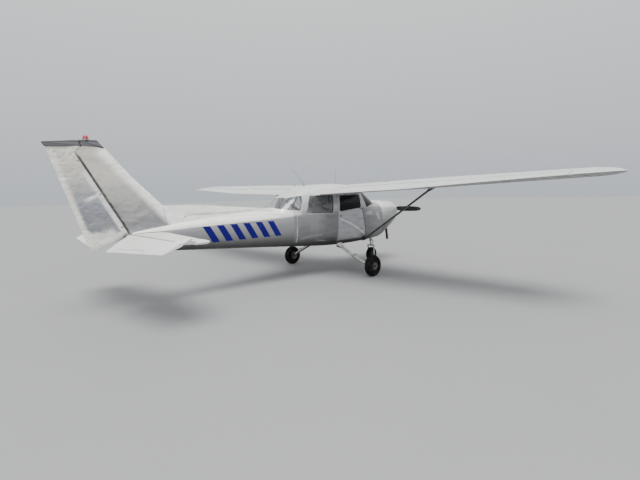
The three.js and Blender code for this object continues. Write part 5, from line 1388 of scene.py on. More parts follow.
def makeWingMiddle():
    piece = makePiece("wingMiddle", loft([wingRing(y, wingStation(0))
                                          for y in (-wing["root"] + 0.4, wing["root"] - 0.4)]))
    carve(piece, bodySolid(-9, -3000, fuselage["wall"], 90, 18))
    carve(piece, band(lines["windshield"], lap))
    dress(piece, "wing", "airframe", "painted_skin", sharpAngle=34)


for side, label in sides:
    makeWingSide(side, label)
makeWingMiddle()
print("wings, flaps and ailerons are made")

strut = {"foot": (-700, 470, 672), "head": (-1070, 2460, 1862), "chord": 104, "thickness": 40,
         "hidden": 1800, "cuffGrowth": (1.16, 1.5), "cuffHalf": 20,
         # share of the strut from its end, length and how the outer end flares
         "cuffs": (("foot", 0.012, 62, 0.92), ("head", -0.025, 170, 1.7))}


def makeStrut(side, label):
    foot, head = Vector(strut["foot"]), Vector(strut["head"])
    run = head - foot
    tilt = math.atan2(run.z, run.y)
    profile = [(math.cos(t), math.sin(t) * (0.62 + 0.38 * (1 + math.cos(t)) / 2))
               for t in np.linspace(0, 2 * math.pi, 33)[:-1]]
    rings = []
    for share in np.linspace(-0.035, 1.03, 30):
        centre = foot + run * float(share)
        narrow = 1 - 0.3 * max(0, (0.06 - share) / 0.06) ** 2 - 0.3 * max(0, (share - 0.95) / 0.06) ** 2
        ring = []
        for c, s in profile:
            across = 0.5 * strut["thickness"] * s * narrow
            ring.append(point(centre.x + 0.5 * strut["chord"] * c * narrow,
                              side * (centre.y - across * math.sin(tilt)),
                              centre.z + across * math.cos(tilt)))
        rings.append(ring)
    piece = makePiece(f"strutFairing.{label}", loft(rings))
    carve(piece, wingSolid(side, strut["hidden"]))
    dress(piece, "strut", "airframe", "painted_skin", f"wing_strut_{label}", sharpAngle=40)
    parts = []
    grow, thicken = strut["cuffGrowth"]
    for end, along, size, flare in strut["cuffs"]:
        centre = (foot if end == "foot" else head) + run * along
        cuff = [(c * grow, s * thicken) for c, s in profile]
        rings = []
        for step, scale in ((-0.5, 0.88), (-0.4, 1.0), (0.1, 0.6 + 0.4 * max(1, flare)), (0.5, flare)):
            middle = centre + run.normalized() * step * size
            half = strut["cuffHalf"]
            rings.append([point(middle.x + 0.5 * strut["chord"] * c * scale,
                                side * (middle.y - half * s * scale * math.sin(tilt)),
                                middle.z + half * s * scale * math.cos(tilt)) for c, s in cuff])
        parts.append(loft(rings))
    cuffs = makePiece(f"strutCuffs.{label}", joined(*parts))
    carve(cuffs, wingSolid(side, strut["hidden"]))
    dress(cuffs, "strut", "airframe", "painted_skin", sharpAngle=40)
    x, y, z = strut["head"]
    lug = roundedBox(x - 190, x - 120, side * (y - 15), side * (y + 15), z - 70, z + 12, 12)
    centre = point(x - 155, side * y, z - 62)
    ring = tube([centre + Vector((0.022 * math.cos(t), 0, 0.022 * math.sin(t) - 0.004))
                 for t in np.linspace(0, 2 * math.pi, 25)[:-1]], 0.004, 8, loop=True)
    build(f"tieDownLug.{label}", joined(lug, ring), "strut", "airframe", "painted_skin")


for side, label in sides:
    makeStrut(side, label)
print("struts are made")

# Fin, rudder, stabiliser and elevator

tail = {
    "finRows": [(1190, -4990, 54), (1598, -5372, 50), (2060, -5838, 42), (2470, -6202, 34)],
    "finTop": 2460, "hornFoot": 2364, "hornLead": -6530, "noseFoot": 1216, "controlGap": 7,
    "dorsal": [(-3300, 1494, 22), (-3600, 1518, 30), (-4106, 1552, 36), (-4900, 1606, 44),
               (-5400, 1606, 50)],
    "hinge": (1163, -5965, -0.536), "hingeHeights": (1300, 1790, 2260),
    "nose": [(1190, 40), (2364, 26)], "trail": (1001, -6487, -0.307),
    "foot": [(1000, -6404, 8), (1060, -6240, 22), (1133, -6078, 30)],
    "finCap": [(-6199, 2452), (-6295, 2562), (-6532, 2546), (-6494, 2452)], "finCapHalf": 34,
    "hornCut": [(-6950, 2352), (-6590, 2352), (-6490, 2460), (-6490, 2600), (-6950, 2600)],
    "rudderCap": [(-6503, 2464), (-6541, 2545), (-6968, 2490), (-6926, 2429), (-6700, 2440)],
    "rudderCapHalf": 27, "trailHalf": 3, "crumple": 0.0032, "crumpleSize": 0.17,
}
level = {
    "height": 1145, "hinge": -5965, "rootLead": -5310, "tipLead": -5534, "tip": 1702,
    "hornInner": 1521, "tipRear": -5742, "rootHalf": 44, "tipHalf": 27, "controlGap": 7,
    "droop": 23, "inner": 108, "innerTrail": 250, "outer": 1722, "innerChord": 452,
    "outerChord": 262, "innerNose": 36, "outerNose": 22, "elevatorHorn": 1536, "hornReach": 196,
    "tube": 18, "hinges": (420, 1250), "beadPitch": 0.075, "beadDepth": 0.0035,
    "beadEnd": 1486,
}
trimTab = {"inner": 470, "outer": 1150, "chord": 84, "gap": 5, "pin": 3, "seat": 11}
foilCurve = monotone([math.sqrt(f) for f in (0, 0.03, 0.12, 0.35, 0.6, 1)],
                     [0, 0.4, 0.75, 1, 1, 0.82])


def foil(lead, rear, half, steps=18):
    chord = lead - rear
    shares = [(i / steps) ** 1.7 for i in range(steps + 1)]
    flank = [(lead - f * chord, half * max(0.0, float(foilCurve(math.sqrt(f))))) for f in shares]
    return flank + [(x, -t) for x, t in flank[:0:-1]]


def rudderHingeAt(z):
    height, x, slope = tail["hinge"]
    return x + (z - height) * slope


def rudderTrailAt(z):
    height, x, slope = tail["trail"]
    return x + (z - height) * slope


def noseRadius(z):
    return rowValue(tail["nose"], z, 1)


hingeLean = math.hypot(1, tail["hinge"][2])


def rudderHinges():
    slope = tail["hinge"][2]
    return [(z, hingeFrame(point(rudderHingeAt(z), 0, z), (slope, 0, 1), (1, 0, -slope)))
            for z in tail["hingeHeights"]]


def levelHinge(y):
    return hingeFrame(point(level["hinge"], y, level["height"]), (0, 1, 0), (1, 0, 0))


def finRear(z):
    return rudderHingeAt(z) + (noseRadius(z) + tail["controlGap"]) * hingeLean


# Small uneven pushes along the normals, as handling leaves them in thin sheet
def crumple(piece, depth, size, keep):
    normals = [v.normal.copy() for v in piece.data.vertices]
    for vertex, normal in zip(piece.data.vertices, normals):
        push = noise.noise(vertex.co / size) + 0.5 * noise.noise(vertex.co * 2.3 / size)
        vertex.co += normal * depth * keep(vertex.co) * push


def makeFin():
    lead, half = curvesOf(tail["finRows"])
    blade = makePiece("finSkin", loft([[point(x, y, z) for x, y in
                                        foil(float(lead(z)), finRear(z), float(half(z)))]
                                       for z in spread(1190, tail["finTop"], 26)]))
    crumple(blade, tail["crumple"], tail["crumpleSize"],
            lambda co: min(1, max(0, (co.z - 1.3) * 6)) if abs(co.y) > 0.01 else 0)
    carve(blade, sidePrism(tail["hornCut"], -200, 200))
    carve(blade, bodySolid(-3000, -5900, 1.0, 60, 16))
    dress(blade, "fin", "airframe", "painted_skin", "fin", sharpAngle=34)
    tops, halves = curvesOf(tail["dorsal"])
    rings = []
    for x in spread(-3300, -5400, 40):
        base = float(bodyCurves[1](x)) - 30
        top, half = float(tops(x)), float(halves(x))
        profile = [(half * narrow, base + share * (top - base))
                   for narrow, share in ((1, 0), (0.72, 0.25), (0.42, 0.55), (0.22, 0.85))]
        profile += [(4, top - 1), (0, top)]
        rings.append([point(x, y, z) for y, z in profile]
                     + [point(x, -y, z) for y, z in profile[-2::-1]])
    fillet = makePiece("dorsalFillet", loft(rings))
    carve(fillet, bodySolid(-3000, -5900, 1.0, 60, 16))
    carve(fillet, band(lines["rearWindow"], lap))
    dress(fillet, "deck", "airframe", "painted_skin", sharpAngle=40)
    lugs = [hingeLug(place, noseRadius(z) + tail["controlGap"] + hinge["seat"])
            for z, place in rudderHinges()]
    build("finLugs", joined(*lugs), "silver", "airframe", "painted_skin")
    build("finCap", pillow(tail["finCap"], tail["finCapHalf"]), "grey", "airframe", "painted_skin",
          sharpAngle=40)


# An outline with soft corners and rounded edges, by (share of the half width, growth)
def pillow(outline, half):
    soft = rounded(outline, 16, 4)
    edges = [(1, -10), (0.93, -5), (0.78, -1.5), (0.55, 0)]
    levels = [(-half * share, growth) for share, growth in edges]
    levels += [(half * share, growth) for share, growth in edges[::-1]]
    return loft([[point(x, y, z) for x, z in grown(soft, growth)] for y, growth in levels])


def rudderRing(z, front, trail, half):
    ring = [(front + half * hingeLean * math.cos(t), half * math.sin(t))
            for t in np.linspace(-math.pi / 2, math.pi / 2, 13)]
    flank = [(front + (trail - front) * t, half + (tail["trailHalf"] - half) * t)
             for t in [i / 20 for i in range(1, 21)]]
    ring += flank + [(x, -y) for x, y in flank[::-1]]
    return [point(x, y, z) for x, y in ring]


def makeRudder():
    foot, horn = tail["noseFoot"], tail["hornFoot"]
    rows = [*tail["foot"], (foot, rudderHingeAt(foot), noseRadius(foot))]
    fronts, halves = curvesOf(rows)
    rings = [rudderRing(z, float(fronts(z)), rudderTrailAt(z), float(halves(z)))
             for z in spread(1000, foot, 18)]
    rings += [rudderRing(z, rudderHingeAt(z), rudderTrailAt(z), noseRadius(z))
              for z in spread(foot, horn, 26)[1:]]
    hornNose, start = rudderHingeAt(horn), horn + 10
    rings.append(rudderRing(start, hornNose, rudderTrailAt(start), 26))
    rings += [rudderRing(z, hornNose + (tail["hornLead"] - hornNose) * (z - start)
                         / (tail["finTop"] - start), rudderTrailAt(z), 25.5)
              for z in spread(start, tail["finTop"], 22)[1:]]
    blade = makePiece("rudderSkin", loft(rings))
    crumple(blade, tail["crumple"] * 0.8, tail["crumpleSize"] * 0.8,
            lambda co: 1.0 if abs(co.y) < 0.2 and (co.x * 1000 + originStation)
            < rudderHingeAt(co.z * 1000) - 20 and abs(co.y) > 0.006 else 0)
    pins = []
    for _, place in rudderHinges():
        carve(blade, hingeSlot(place))
        pins.append(hingePin(place))
    dress(blade, "rudder", "rudder", "painted_skin", "rudder", sharpAngle=40)
    build("rudderPins", joined(*pins), "steel", "rudder", "painted_skin")
    build("rudderCap", pillow(tail["rudderCap"], tail["rudderCapHalf"]), "grey", "rudder",
          "painted_skin", sharpAngle=40)


makeFin()
makeRudder()
print("fin and rudder are made")


def stabiliserRear(y):
    nose = level["innerNose"] + (level["outerNose"] - level["innerNose"]) * abs(y) / level["outer"]
    return level["hinge"] + level["controlGap"] + nose


def stabiliserRing(y, rear, lift=0.0, narrow=1.0):
    share = abs(y) / level["tip"]
    half = (level["rootHalf"] + (level["tipHalf"] - level["rootHalf"]) * share) * narrow
    lead = level["rootLead"] + (level["tipLead"] - level["rootLead"]) * share - lift
    return [point(x, y, level["height"] + z) for x, z in foil(lead, rear, half)]


def makeStabiliser():
    inner = level["hornInner"]
    main = makePiece("stabiliserSkin", loft([stabiliserRing(y, stabiliserRear(y))
                                             for y in spread(-inner, inner, 60)]))
    for side in (-1, 1):
        rings = [stabiliserRing(side * y, level["tipRear"]) for y in spread(inner - 6, 1660, 30)]
        rings += [stabiliserRing(side * (1660 + 42 * math.sin(t)), level["tipRear"]
                  + 26 * (1 - math.cos(t)), 60 * (1 - math.cos(t)), max(0.12, math.cos(t)))
                  for t in np.linspace(0.15, math.pi / 2, 9)]
        carve(main, loft(rings), "UNION")
    dress(main, "tail", "airframe", "painted_skin", "stabiliser", sharpAngle=36)
    lugs = [hingeLug(levelHinge(side * y), elevatorNose(y) + level["controlGap"] + hinge["seat"])
            for side in (-1, 1) for y in level["hinges"]]
    build("stabiliserLugs", joined(*lugs), "silver", "airframe", "painted_skin")


def elevatorPoint(y, behind, up):
    droop = math.radians(level["droop"])
    return point(level["hinge"] - behind * math.cos(droop) - up * math.sin(droop), y,
                 level["height"] - behind * math.sin(droop) + up * math.cos(droop))


def elevatorShare(y):
    return (y - level["inner"]) / (level["outer"] - level["inner"])


def elevatorChord(y):
    return level["innerChord"] + (level["outerChord"] - level["innerChord"]) * elevatorShare(y)


def elevatorNose(y):
    return level["innerNose"] + (level["outerNose"] - level["innerNose"]) * elevatorShare(y)


def elevatorRing(share, side):
    y = level["inner"] + (level["outer"] - level["inner"]) * share
    spanLeft = level["outer"] - 40 - level["inner"]
    yTrail = min(y, level["outer"]) if y > level["outer"] - 40 else (
        level["innerTrail"] + (level["outer"] - 40 - level["innerTrail"])
        * (y - level["inner"]) / spanLeft)
    radius, chord = elevatorNose(y), elevatorChord(yTrail)
    ring = [elevatorPoint(side * y, -radius * math.cos(t), radius * math.sin(t))
            for t in np.linspace(-math.pi / 2, math.pi / 2, 11)]
    edge = wing["trailingHalf"]
    flank = [(y + (yTrail - y) * t, chord * t, radius + (edge - radius) * t)
             for t in [i / 16 for i in range(1, 17)]]
    ring += [elevatorPoint(side * a, b, c) for a, b, c in flank]
    ring += [elevatorPoint(side * a, b, -c) for a, b, c in flank[::-1]]
    return ring


def tabNose(y):
    start = elevatorChord(y) - trimTab["chord"]
    edge = wing["trailingHalf"]
    return start, elevatorNose(y) + (edge - elevatorNose(y)) * start / elevatorChord(y)


def tabWire(radius, seat):
    ends = []
    for y in (trimTab["inner"], trimTab["outer"]):
        start, half = tabNose(y)
        ends.append(elevatorPoint(-y, start + half, 0))
    past = (ends[1] - ends[0]).normalized() * (wing["sideGap"] + seat) / 1000
    return rod(ends[0] - past, ends[1] + past, radius / 1000, 10)


def beadWeight(co):
    droop = math.radians(level["droop"])
    dx, dz = co.x * 1000 + originStation - level["hinge"], co.z * 1000 - level["height"]
    behind = -dx * math.cos(droop) - dz * math.sin(droop)
    y = abs(co.y) * 1000
    share = behind / elevatorChord(y)
    inTab = co.y < 0 and trimTab["inner"] - 40 < y < trimTab["outer"] + 40
    rear = 0.68 if inTab else 0.93
    return beadFade(share, rear, level["beadEnd"] - y)


def makeElevator():
    halves = []
    for side, label in sides:
        count = beadRings(level)
        shape = loft([elevatorRing(i / count, side) for i in range(count + 1)])
        piece = beaded(f"elevatorSkin.{label}", shape, beadWeight, "tail", level["beadPitch"],
                       level["beadDepth"])
        horn = loft([[elevatorPoint(side * y, -x, z) for x, z in
                      foil(level["hornReach"] - inset, -60, level["outerNose"] * thin)]
                     for y, inset, thin in ((level["elevatorHorn"], 0, 1), (1690, 0, 1),
                                            (1710, 6, 0.85), (level["outer"], 20, 0.45))])
        carve(piece, horn, "UNION")
        for y in level["hinges"]:
            carve(piece, hingeSlot(levelHinge(side * y)))
        if side < 0:
            rings = []
            for y in (trimTab["inner"] - wing["sideGap"], trimTab["outer"] + wing["sideGap"]):
                start = elevatorChord(y) - trimTab["chord"] - trimTab["gap"]
                rings.append([elevatorPoint(-y, a, b) for a, b in
                              ((start, -60), (start, 60), (start + 300, 60), (start + 300, -60))])
            carve(piece, loft(rings))
        sharpen(piece, 50)
        while len(piece.data.materials) > 1:
            piece.data.materials.pop()
        halves.append(show(piece, "elevator", "painted_skin", "elevator"))
    reach = level["inner"] + 20
    droopTube = crossRod(level["hinge"], -reach, reach, level["height"], level["tube"] / 1000, 24)
    pins = [hingePin(levelHinge(side * y)) for side in (-1, 1) for y in level["hinges"]]
    build("elevatorTube", joined(droopTube, *pins), "steel", "elevator", "painted_skin")


def makeTrimTab():
    rings = []
    for y in spread(trimTab["inner"], trimTab["outer"], 40):
        start, half = tabNose(y)
        whole, edge = elevatorChord(y), wing["trailingHalf"]
        ring = [elevatorPoint(-y, start + half - half * math.cos(t), half * math.sin(t))
                for t in np.linspace(-math.pi / 2, math.pi / 2, 9)]
        run = [(start + half + (whole - start - half) * t, half + (edge - half) * t)
               for t in (0.25, 0.5, 0.75, 1.0)]
        ring += [elevatorPoint(-y, a, b) for a, b in run]
        ring += [elevatorPoint(-y, a, -b) for a, b in run[::-1]]
        rings.append(ring)
    build("trimTabSkin", loft(rings), "tail", "trim_tab", "painted_skin", "trim_tab", sharpAngle=40)
    build("trimTabWire", tabWire(trimTab["pin"], trimTab["seat"]), "steel", "trim_tab", "painted_skin")


makeStabiliser()
makeElevator()
makeTrimTab()
print("stabiliser, elevator and trim tab are made")

# Landing gear

mainWheel = {"x": -1450, "y": 1275, "radius": 222, "width": 160, "rim": 84, "rimHalf": 66,
             "bore": 21, "hubHalf": 66, "disc": True}
noseWheel = {"x": 200, "y": 0, "radius": 178, "width": 128, "rim": 68, "rimHalf": 50, "bore": 13,
             "hubHalf": 82, "disc": False}
gear = {
    "leg": [(-1530, 330, 655, 40), (-1532, 470, 590, 40), (-1545, 760, 440, 36),
            (-1505, 1050, 290, 31), (-1452, 1150, 224, 29)],
    "stepY": 850, "stepLength": 150, "stepWidth": 90, "stepThick": 14,
    "axleInner": 1150, "axleOuter": 1346, "flangeInner": 1163, "flangeOuter": 1196, "flange": 46,
    "steeringFoot": (186, 400), "steeringHead": (112, 960), "crown": 430, "forkHalf": 84,
    "forkThick": 16, "forkWidth": 54,
    # height and radius along the nose gear's barrel, and the heights of its collars
    "barrel": [(520, 34), (524, 36), (560, 36), (566, 33), (700, 33), (706, 36), (930, 36),
               (940, 34)],
    "collars": (600, 745, 900), "collar": [(-9, 37), (-7, 39.5), (7, 39.5), (9, 37)],
    "piston": (420, 560, 26),
    # height, half width and half depth of the brackets on the firewall, and how far they reach past
    "brackets": [(910, 40, 26, 8), (744, 22, 16, 6)],
    "knee": (118, 508), "clips": (10, 18, 26, 34), "clipHalf": 6,
    # which point of the leg, and how much wider than the leg the fairing is there
    "fairing": [(3, 34), (5, 22), (7, 7), (8, 1.5)],
}
brake = {"front": 52, "rear": 118, "inner": 1150, "outer": 1194, "bottom": 205, "top": 290,
         "stud": (-100, 226), "studPitch": (32, 44), "studEnds": (1146, 1199), "studRadius": 0.0055,
         "hoseEnd": [(-92, 1140, 262), (-90, 1156, 262)], "hoseRadius": 0.0042}


# Side profile of a tyre with straight grooves round its tread
def tyreProfile(wheel):
    rim, radius, half = wheel["rim"], wheel["radius"], 0.5 * wheel["width"]
    wall = [(0.10, 0.80), (0.24, 0.90), (0.40, 0.97), (0.55, 0.995), (0.68, 0.975), (0.79, 0.90),
            (0.88, 0.78), (0.945, 0.62)]
    outline = [(rim, 0.60), (rim + 2, 0.70)]
    outline += [(rim + share * (radius - rim), s) for share, s in wall] + [(radius - 2.6, 0.47)]
    side = [(r, half * s) for r, s in outline]
    tread = []
    for groove in (0.36, 0.12):
        y, crown = half * groove, radius - 1.6 * groove ** 2
        tread += [(crown - 0.6, y + 3.6), (crown - 5.2, y + 2.4), (crown - 5.2, y - 2.4),
                  (crown - 0.4, y - 3.6)]
    right = side + tread
    return [(r, -y) for r, y in right] + [(r, y) for r, y in reversed(right)]


def wheelParts(wheel, side):
    rim, rimHalf, bore, hubHalf = (wheel[k] for k in ("rim", "rimHalf", "bore", "hubHalf"))
    edge = rim - 1.4
    profile = [(bore, -hubHalf + 12), (0.42 * rim, -hubHalf + 12), (0.46 * rim, -hubHalf + 16),
               (0.48 * rim, -rimHalf + 30), (0.62 * rim, -rimHalf + 27),
               (0.86 * rim, -rimHalf + 20), (0.9 * rim, -rimHalf + 4), (0.95 * rim, -rimHalf),
               (edge, -rimHalf), (edge, rimHalf), (0.95 * rim, rimHalf), (0.9 * rim, rimHalf - 4),
               (0.87 * rim, rimHalf - 18), (0.66 * rim, rimHalf - 24), (0.48 * rim, rimHalf - 24),
               (0.46 * rim, hubHalf - 16), (0.42 * rim, hubHalf - 12), (bore, hubHalf - 12)]
    centre = point(wheel["x"], wheel["y"] * side, wheel["radius"])
    axis = (0, side, 0)
    parts = [turned(profile, centre, axis, 72)]
    if wheel["disc"]:
        disc = [(bore, -rimHalf + 20), (0.5 * rim, -rimHalf + 20), (0.62 * rim, -rimHalf),
                (1.1 * rim, -rimHalf - 2), (1.12 * rim, -rimHalf - 4), (1.12 * rim, -rimHalf - 8),
                (1.1 * rim, -rimHalf - 10), (0.62 * rim, -rimHalf - 8), (bore, -rimHalf - 8)]
        parts.append(turned(disc, centre, axis, 72))
    bolts = []
    for turn in turnsOf(6):
        out = Vector((math.cos(turn), 0, math.sin(turn))) * 0.62 * rim / 1000
        base = centre + out + Vector((0, side * (rimHalf - 25) / 1000, 0))
        bolts.append(rod(base, base + Vector((0, side * 0.011, 0)), 0.0065, 6))
        bolts.append(rod(base, base + Vector((0, side * 0.016, 0)), 0.003, 10))
    return joined(*parts), joined(*bolts), centre, axis


def makeWheel(wheel, side, body, wheelNode, tyreNode):
    shape, bolts, centre, axis = wheelParts(wheel, side)
    tag = wheelNode.replace("_wheel", "")
    build(f"rim.{tag}", shape, "hub", body, "wheel_metal", wheelNode, sharpAngle=28)
    build(f"rimBolts.{tag}", bolts, "steel", body, "wheel_metal", sharpAngle=30)
    tyre = makePiece(f"tyre.{tag}", turned(tyreProfile(wheel), centre, axis, 128), finish["tyre"], 42)
    show(tyre, body, "tyre", tyreNode)
    if wheel["disc"]:
        place = centre + Vector((0, side * (wheel["hubHalf"] - 13) / 1000, 0))
        ring = [(30, 0), (36, 0), (36, 5), (30, 5)]
        build(f"hubRing.{tag}", turned(ring, place, axis, 48), "steel", body, "wheel_metal")
    valve = centre + Vector((0.72 * wheel["rim"] / 1000, side * (wheel["rimHalf"] - 22) / 1000, 0))
    build(f"valve.{tag}", rod(valve, valve + Vector((0.004, side * 0.022, 0)), 0.004, 10), "steel", body,
          "wheel_metal")


for side, label in sides:
    makeWheel(mainWheel, side, f"main_wheel_{label}", f"main_wheel_{label}", f"main_tyre_{label}")
makeWheel(noseWheel, 1, "nose_wheel", "nose_wheel", "nose_tyre")


# Centre of a leg at one of its points, and the directions along it, ahead and across
def legFrame(rows, i, side):
    before, place, after = (point(row[0], side * row[1], row[2]) for row in
                            (rows[max(0, i - 1)], rows[i], rows[min(len(rows) - 1, i + 1)]))
    run = (after - before).normalized()
    ahead = (Vector((1, 0, 0)) - run * run.x).normalized()
    return place, run, ahead, run.cross(ahead)


def makeMainLeg(side, label):
    rows = smoothPath(gear["leg"], 44)
    rings = []
    for i, row in enumerate(rows):
        centre, _, ahead, across = legFrame(rows, i, side)
        rings.append([centre + row[3] / 1000 * (math.cos(t) * ahead + 0.98 * math.sin(t) * across)
                      for t in turnsOf(32)])
    hub = point(mainWheel["x"], 0, mainWheel["radius"])
    out = Vector((0, side, 0))
    axle = rod(hub + out * gear["axleInner"] / 1000, hub + out * gear["axleOuter"] / 1000,
               (mainWheel["bore"] - 0.8) / 1000, 32)
    build(f"springLeg.{label}", loft(rings), "leg", "airframe", "leg_paint", f"main_leg_{label}",
          sharpAngle=40)
    flange = turned(box2d(0, gear["flange"], gear["flangeInner"], gear["flangeOuter"]), hub, out, 48)
    nut = rod(hub + out * (gear["axleOuter"] - 16) / 1000, hub + out * gear["axleOuter"] / 1000,
              0.027, 6)
    pin = rod(hub + out * 1.338 + Vector((0, 0, -0.034)), hub + out * 1.338 + Vector((0, 0, 0.034)),
              0.0025, 8)
    build(f"axle.{label}", joined(axle, flange, nut, pin), "steel", "airframe", "leg_paint")
    heights = sorted((r[1], r[2], r[0]) for r in gear["leg"])
    z = rowValue(heights, gear["stepY"], 1) + 30
    x = rowValue(heights, gear["stepY"], 2)
    half, width = 0.5 * gear["stepLength"], 0.5 * gear["stepWidth"]
    tread = roundedBox(x - half, x + half, side * (gear["stepY"] - width),
                       side * (gear["stepY"] + width), z, z + gear["stepThick"], 6)
    ribs = [roundedBox(x - half + 8, x + half - 8, side * (gear["stepY"] + k - 2.5),
                       side * (gear["stepY"] + k + 2.5), z + gear["stepThick"] - 1,
                       z + gear["stepThick"] + 2.5, 1.5, 1) for k in range(-36, 37, 9)]
    build(f"stepPlate.{label}", tread, "leg", "airframe", "leg_paint")
    build(f"stepGrip.{label}", joined(*ribs), "black", "airframe", "leg_paint")
    # The brake's caliper holds the disc from the inner side, and its hose follows the leg
    hubX = mainWheel["x"]
    body = roundedBox(hubX - brake["rear"], hubX - brake["front"], side * brake["inner"],
                      side * brake["outer"], brake["bottom"], brake["top"], 10)
    (studX, studZ), (pitchX, pitchZ) = brake["stud"], brake["studPitch"]
    near, far = brake["studEnds"]
    studs = [crossRod(hubX + studX + pitchX * k, side * near, side * far, studZ + pitchZ * j,
                      brake["studRadius"], 8) for k in (0, 1) for j in (0, 1)]
    build(f"brakeCaliper.{label}", joined(body, *studs), "cast", "airframe", "leg_paint")
    hose = [point(x - radius * 0.82, side * y, z + radius * 0.62) for x, y, z, radius in rows[5:-3]]
    hose += [point(hubX + x, side * y, z) for x, y, z in brake["hoseEnd"]]
    build(f"brakePipe.{label}", tube(hose, brake["hoseRadius"], 10), "seal", "airframe", "leg_paint")
    clips = []
    for i in gear["clips"]:
        centre, run, ahead, across = legFrame(rows, i, side)
        clips.append(loft([circle(centre + run * step / 1000, ahead, across,
                                  (rows[i][3] + 1.2) / 1000, 28)
                           for step in (-gear["clipHalf"], gear["clipHalf"])]))
    build(f"hoseClips.{label}", joined(*clips), "steel", "airframe", "leg_paint")
    # A short fairing closes the skin round the leg
    cuff = [(point(rows[i][0], side * rows[i][1], rows[i][2]), (rows[i][3] + grow) / 1000)
            for i, grow in gear["fairing"]]
    fairing = tube([c for c, _ in cuff], [r for _, r in cuff], 32)
    build(f"legFairing.{label}", fairing, "leg", "airframe", "leg_paint")


for side, label in sides:
    makeMainLeg(side, label)


def steeringAt(z):
    (x0, z0), (x1, z1) = gear["steeringFoot"], gear["steeringHead"]
    return x0 + (x1 - x0) * (z - z0) / (z1 - z0)


def onStrut(z):
    return point(steeringAt(z), 0, z)


def kneeAt():
    return steeringAt(500) + gear["knee"][0], gear["knee"][1]


def makeNoseGear():
    barrel = tube([onStrut(z) for z, _ in gear["barrel"]], [r / 1000 for _, r in gear["barrel"]], 40)
    collars = [tube([onStrut(z + up) for up, _ in gear["collar"]],
                    [r / 1000 for _, r in gear["collar"]], 40) for z in gear["collars"]]
    arms = [roundedBox(2, steeringAt(z) + past, -half, half, z - deep, z + deep, past)
            for z, half, deep, past in gear["brackets"]]
    build("noseBarrel", joined(barrel, *collars), "silver", "airframe", "nose_leg_metal", "nose_strut")
    build("noseBrackets", joined(*arms), "steel", "airframe", "nose_leg_metal")
    low, high, radius = gear["piston"]
    build("nosePiston", rod(onStrut(low), onStrut(high), radius / 1000, 40), "chrome", "nose_fork",
          "nose_leg_metal")
    crown, half, thick = gear["crown"], gear["forkHalf"], gear["forkThick"]
    x = steeringAt(crown)
    parts = [roundedBox(x - 45, x + 45, -half - thick, half + thick, crown - 34, crown, 12)]
    for side in (-1, 1):
        rings = []
        for share in np.linspace(0, 1, 12):
            z = crown - 10 + (noseWheel["radius"] - crown + 10) * share
            cx = x + (noseWheel["x"] - x) * share
            width = gear["forkWidth"] * (1 - 0.32 * math.sin(math.pi * share) + 0.02 * share)
            outline = rounded(box2d(cx - width / 2, cx + width / 2, -thick / 2, thick / 2), 5, 3)
            rings.append([point(a, side * (half + thick / 2) + b, z) for a, b in outline])
        parts.append(loft(rings))
        boss = point(noseWheel["x"], side * half, noseWheel["radius"])
        parts.append(rod(boss, boss + Vector((0, side * 0.02, 0)), 0.029, 32))
    build("noseFork", joined(*parts), "silver", "nose_fork", "nose_leg_metal", "nose_fork", sharpAngle=40)
    reach = half + thick + 14
    hub = point(noseWheel["x"], 0, noseWheel["radius"])
    parts = [rod(hub - Vector((0, reach / 1000, 0)), hub + Vector((0, reach / 1000, 0)), 0.0122, 24)]
    for side in (-1, 1):
        face = hub + Vector((0, side * (half + thick + 4) / 1000, 0))
        parts.append(rod(face, face + Vector((0, side * 0.008, 0)), 0.021, 6))
    build("noseAxle", joined(*parts), "steel", "nose_fork", "nose_leg_metal")
    # The lower torque link runs from the fork to the knee that it shares with the upper one
    (kneeX, kneeZ), (footX, footZ) = kneeAt(), (steeringAt(440) + 30, 434)
    parts = [rod(point(footX, side * 15, footZ), point(kneeX, side * 8, kneeZ), 0.0065, 12)
             for side in (-1, 1)]
    parts += [crossRod(kneeX, -18, 18, kneeZ, 0.008, 16), crossRod(footX, -24, 24, footZ, 0.008, 16)]
    build("torqueLinkLower", joined(*parts), "silver", "nose_fork", "nose_leg_metal")
    print("nose gear is made")


makeNoseGear()
print("wheels and legs are made")

# Propeller, spinner, exhaust, engine and beacon

propeller = {
    "station": 1062, "z": 1345, "hubRadius": 61, "hubHalf": 38, "bolts": 6, "boltCircle": 44,
    # distance from the shaft, half chord, half thickness, pitch in degrees
    "rows": [(40, 34, 26, 55), (150, 52, 20, 44), (420, 76, 11, 27), (760, 66, 6.5, 18),
             (920, 46, 4, 15), (952, 12, 2, 14)],
    "wornFrom": 430, "spinnerBase": 1000, "spinnerRadius": 150, "spinnerTip": 1190,
    "wall": 3, "screws": 10, "bladeFrom": 40, "bladeEnd": 951.9, "tipFrom": 880, "bladeGap": 6.0,
}


def bladeShape(side, growth=0.0):
    start, end = propeller["bladeFrom"], propeller["bladeEnd"]
    tipFrom, columns = propeller["tipFrom"], curvesOf(propeller["rows"])
    rings = []
    for radius in spread(start, tipFrom, 28) + [tipFrom + 72 * math.sin(math.pi / 2 * i / 9)
                                                for i in range(1, 10)]:
        chord, thick, degrees = (float(c(min(radius, end))) for c in columns)
        if radius > tipFrom:
            chord = max(6.0, 52 * math.sqrt(max(0.0, 1 - ((radius - tipFrom) / 72.5) ** 2)))
        pitch = math.radians(degrees)
        ring = []
        for turn in np.linspace(0, 2 * math.pi, 29)[:-1]:
            c = (chord + growth) * math.cos(turn)
            t = (thick + growth) * math.sin(turn) * (0.78 if math.sin(turn) < 0 else 1)
            ring.append(point(propeller["station"] + t * math.cos(pitch) + c * math.sin(pitch),
                              side * min(radius, end),
                              propeller["z"] + side * (c * math.cos(pitch) - t * math.sin(pitch))))
        rings.append(ring)
    return loft(rings)


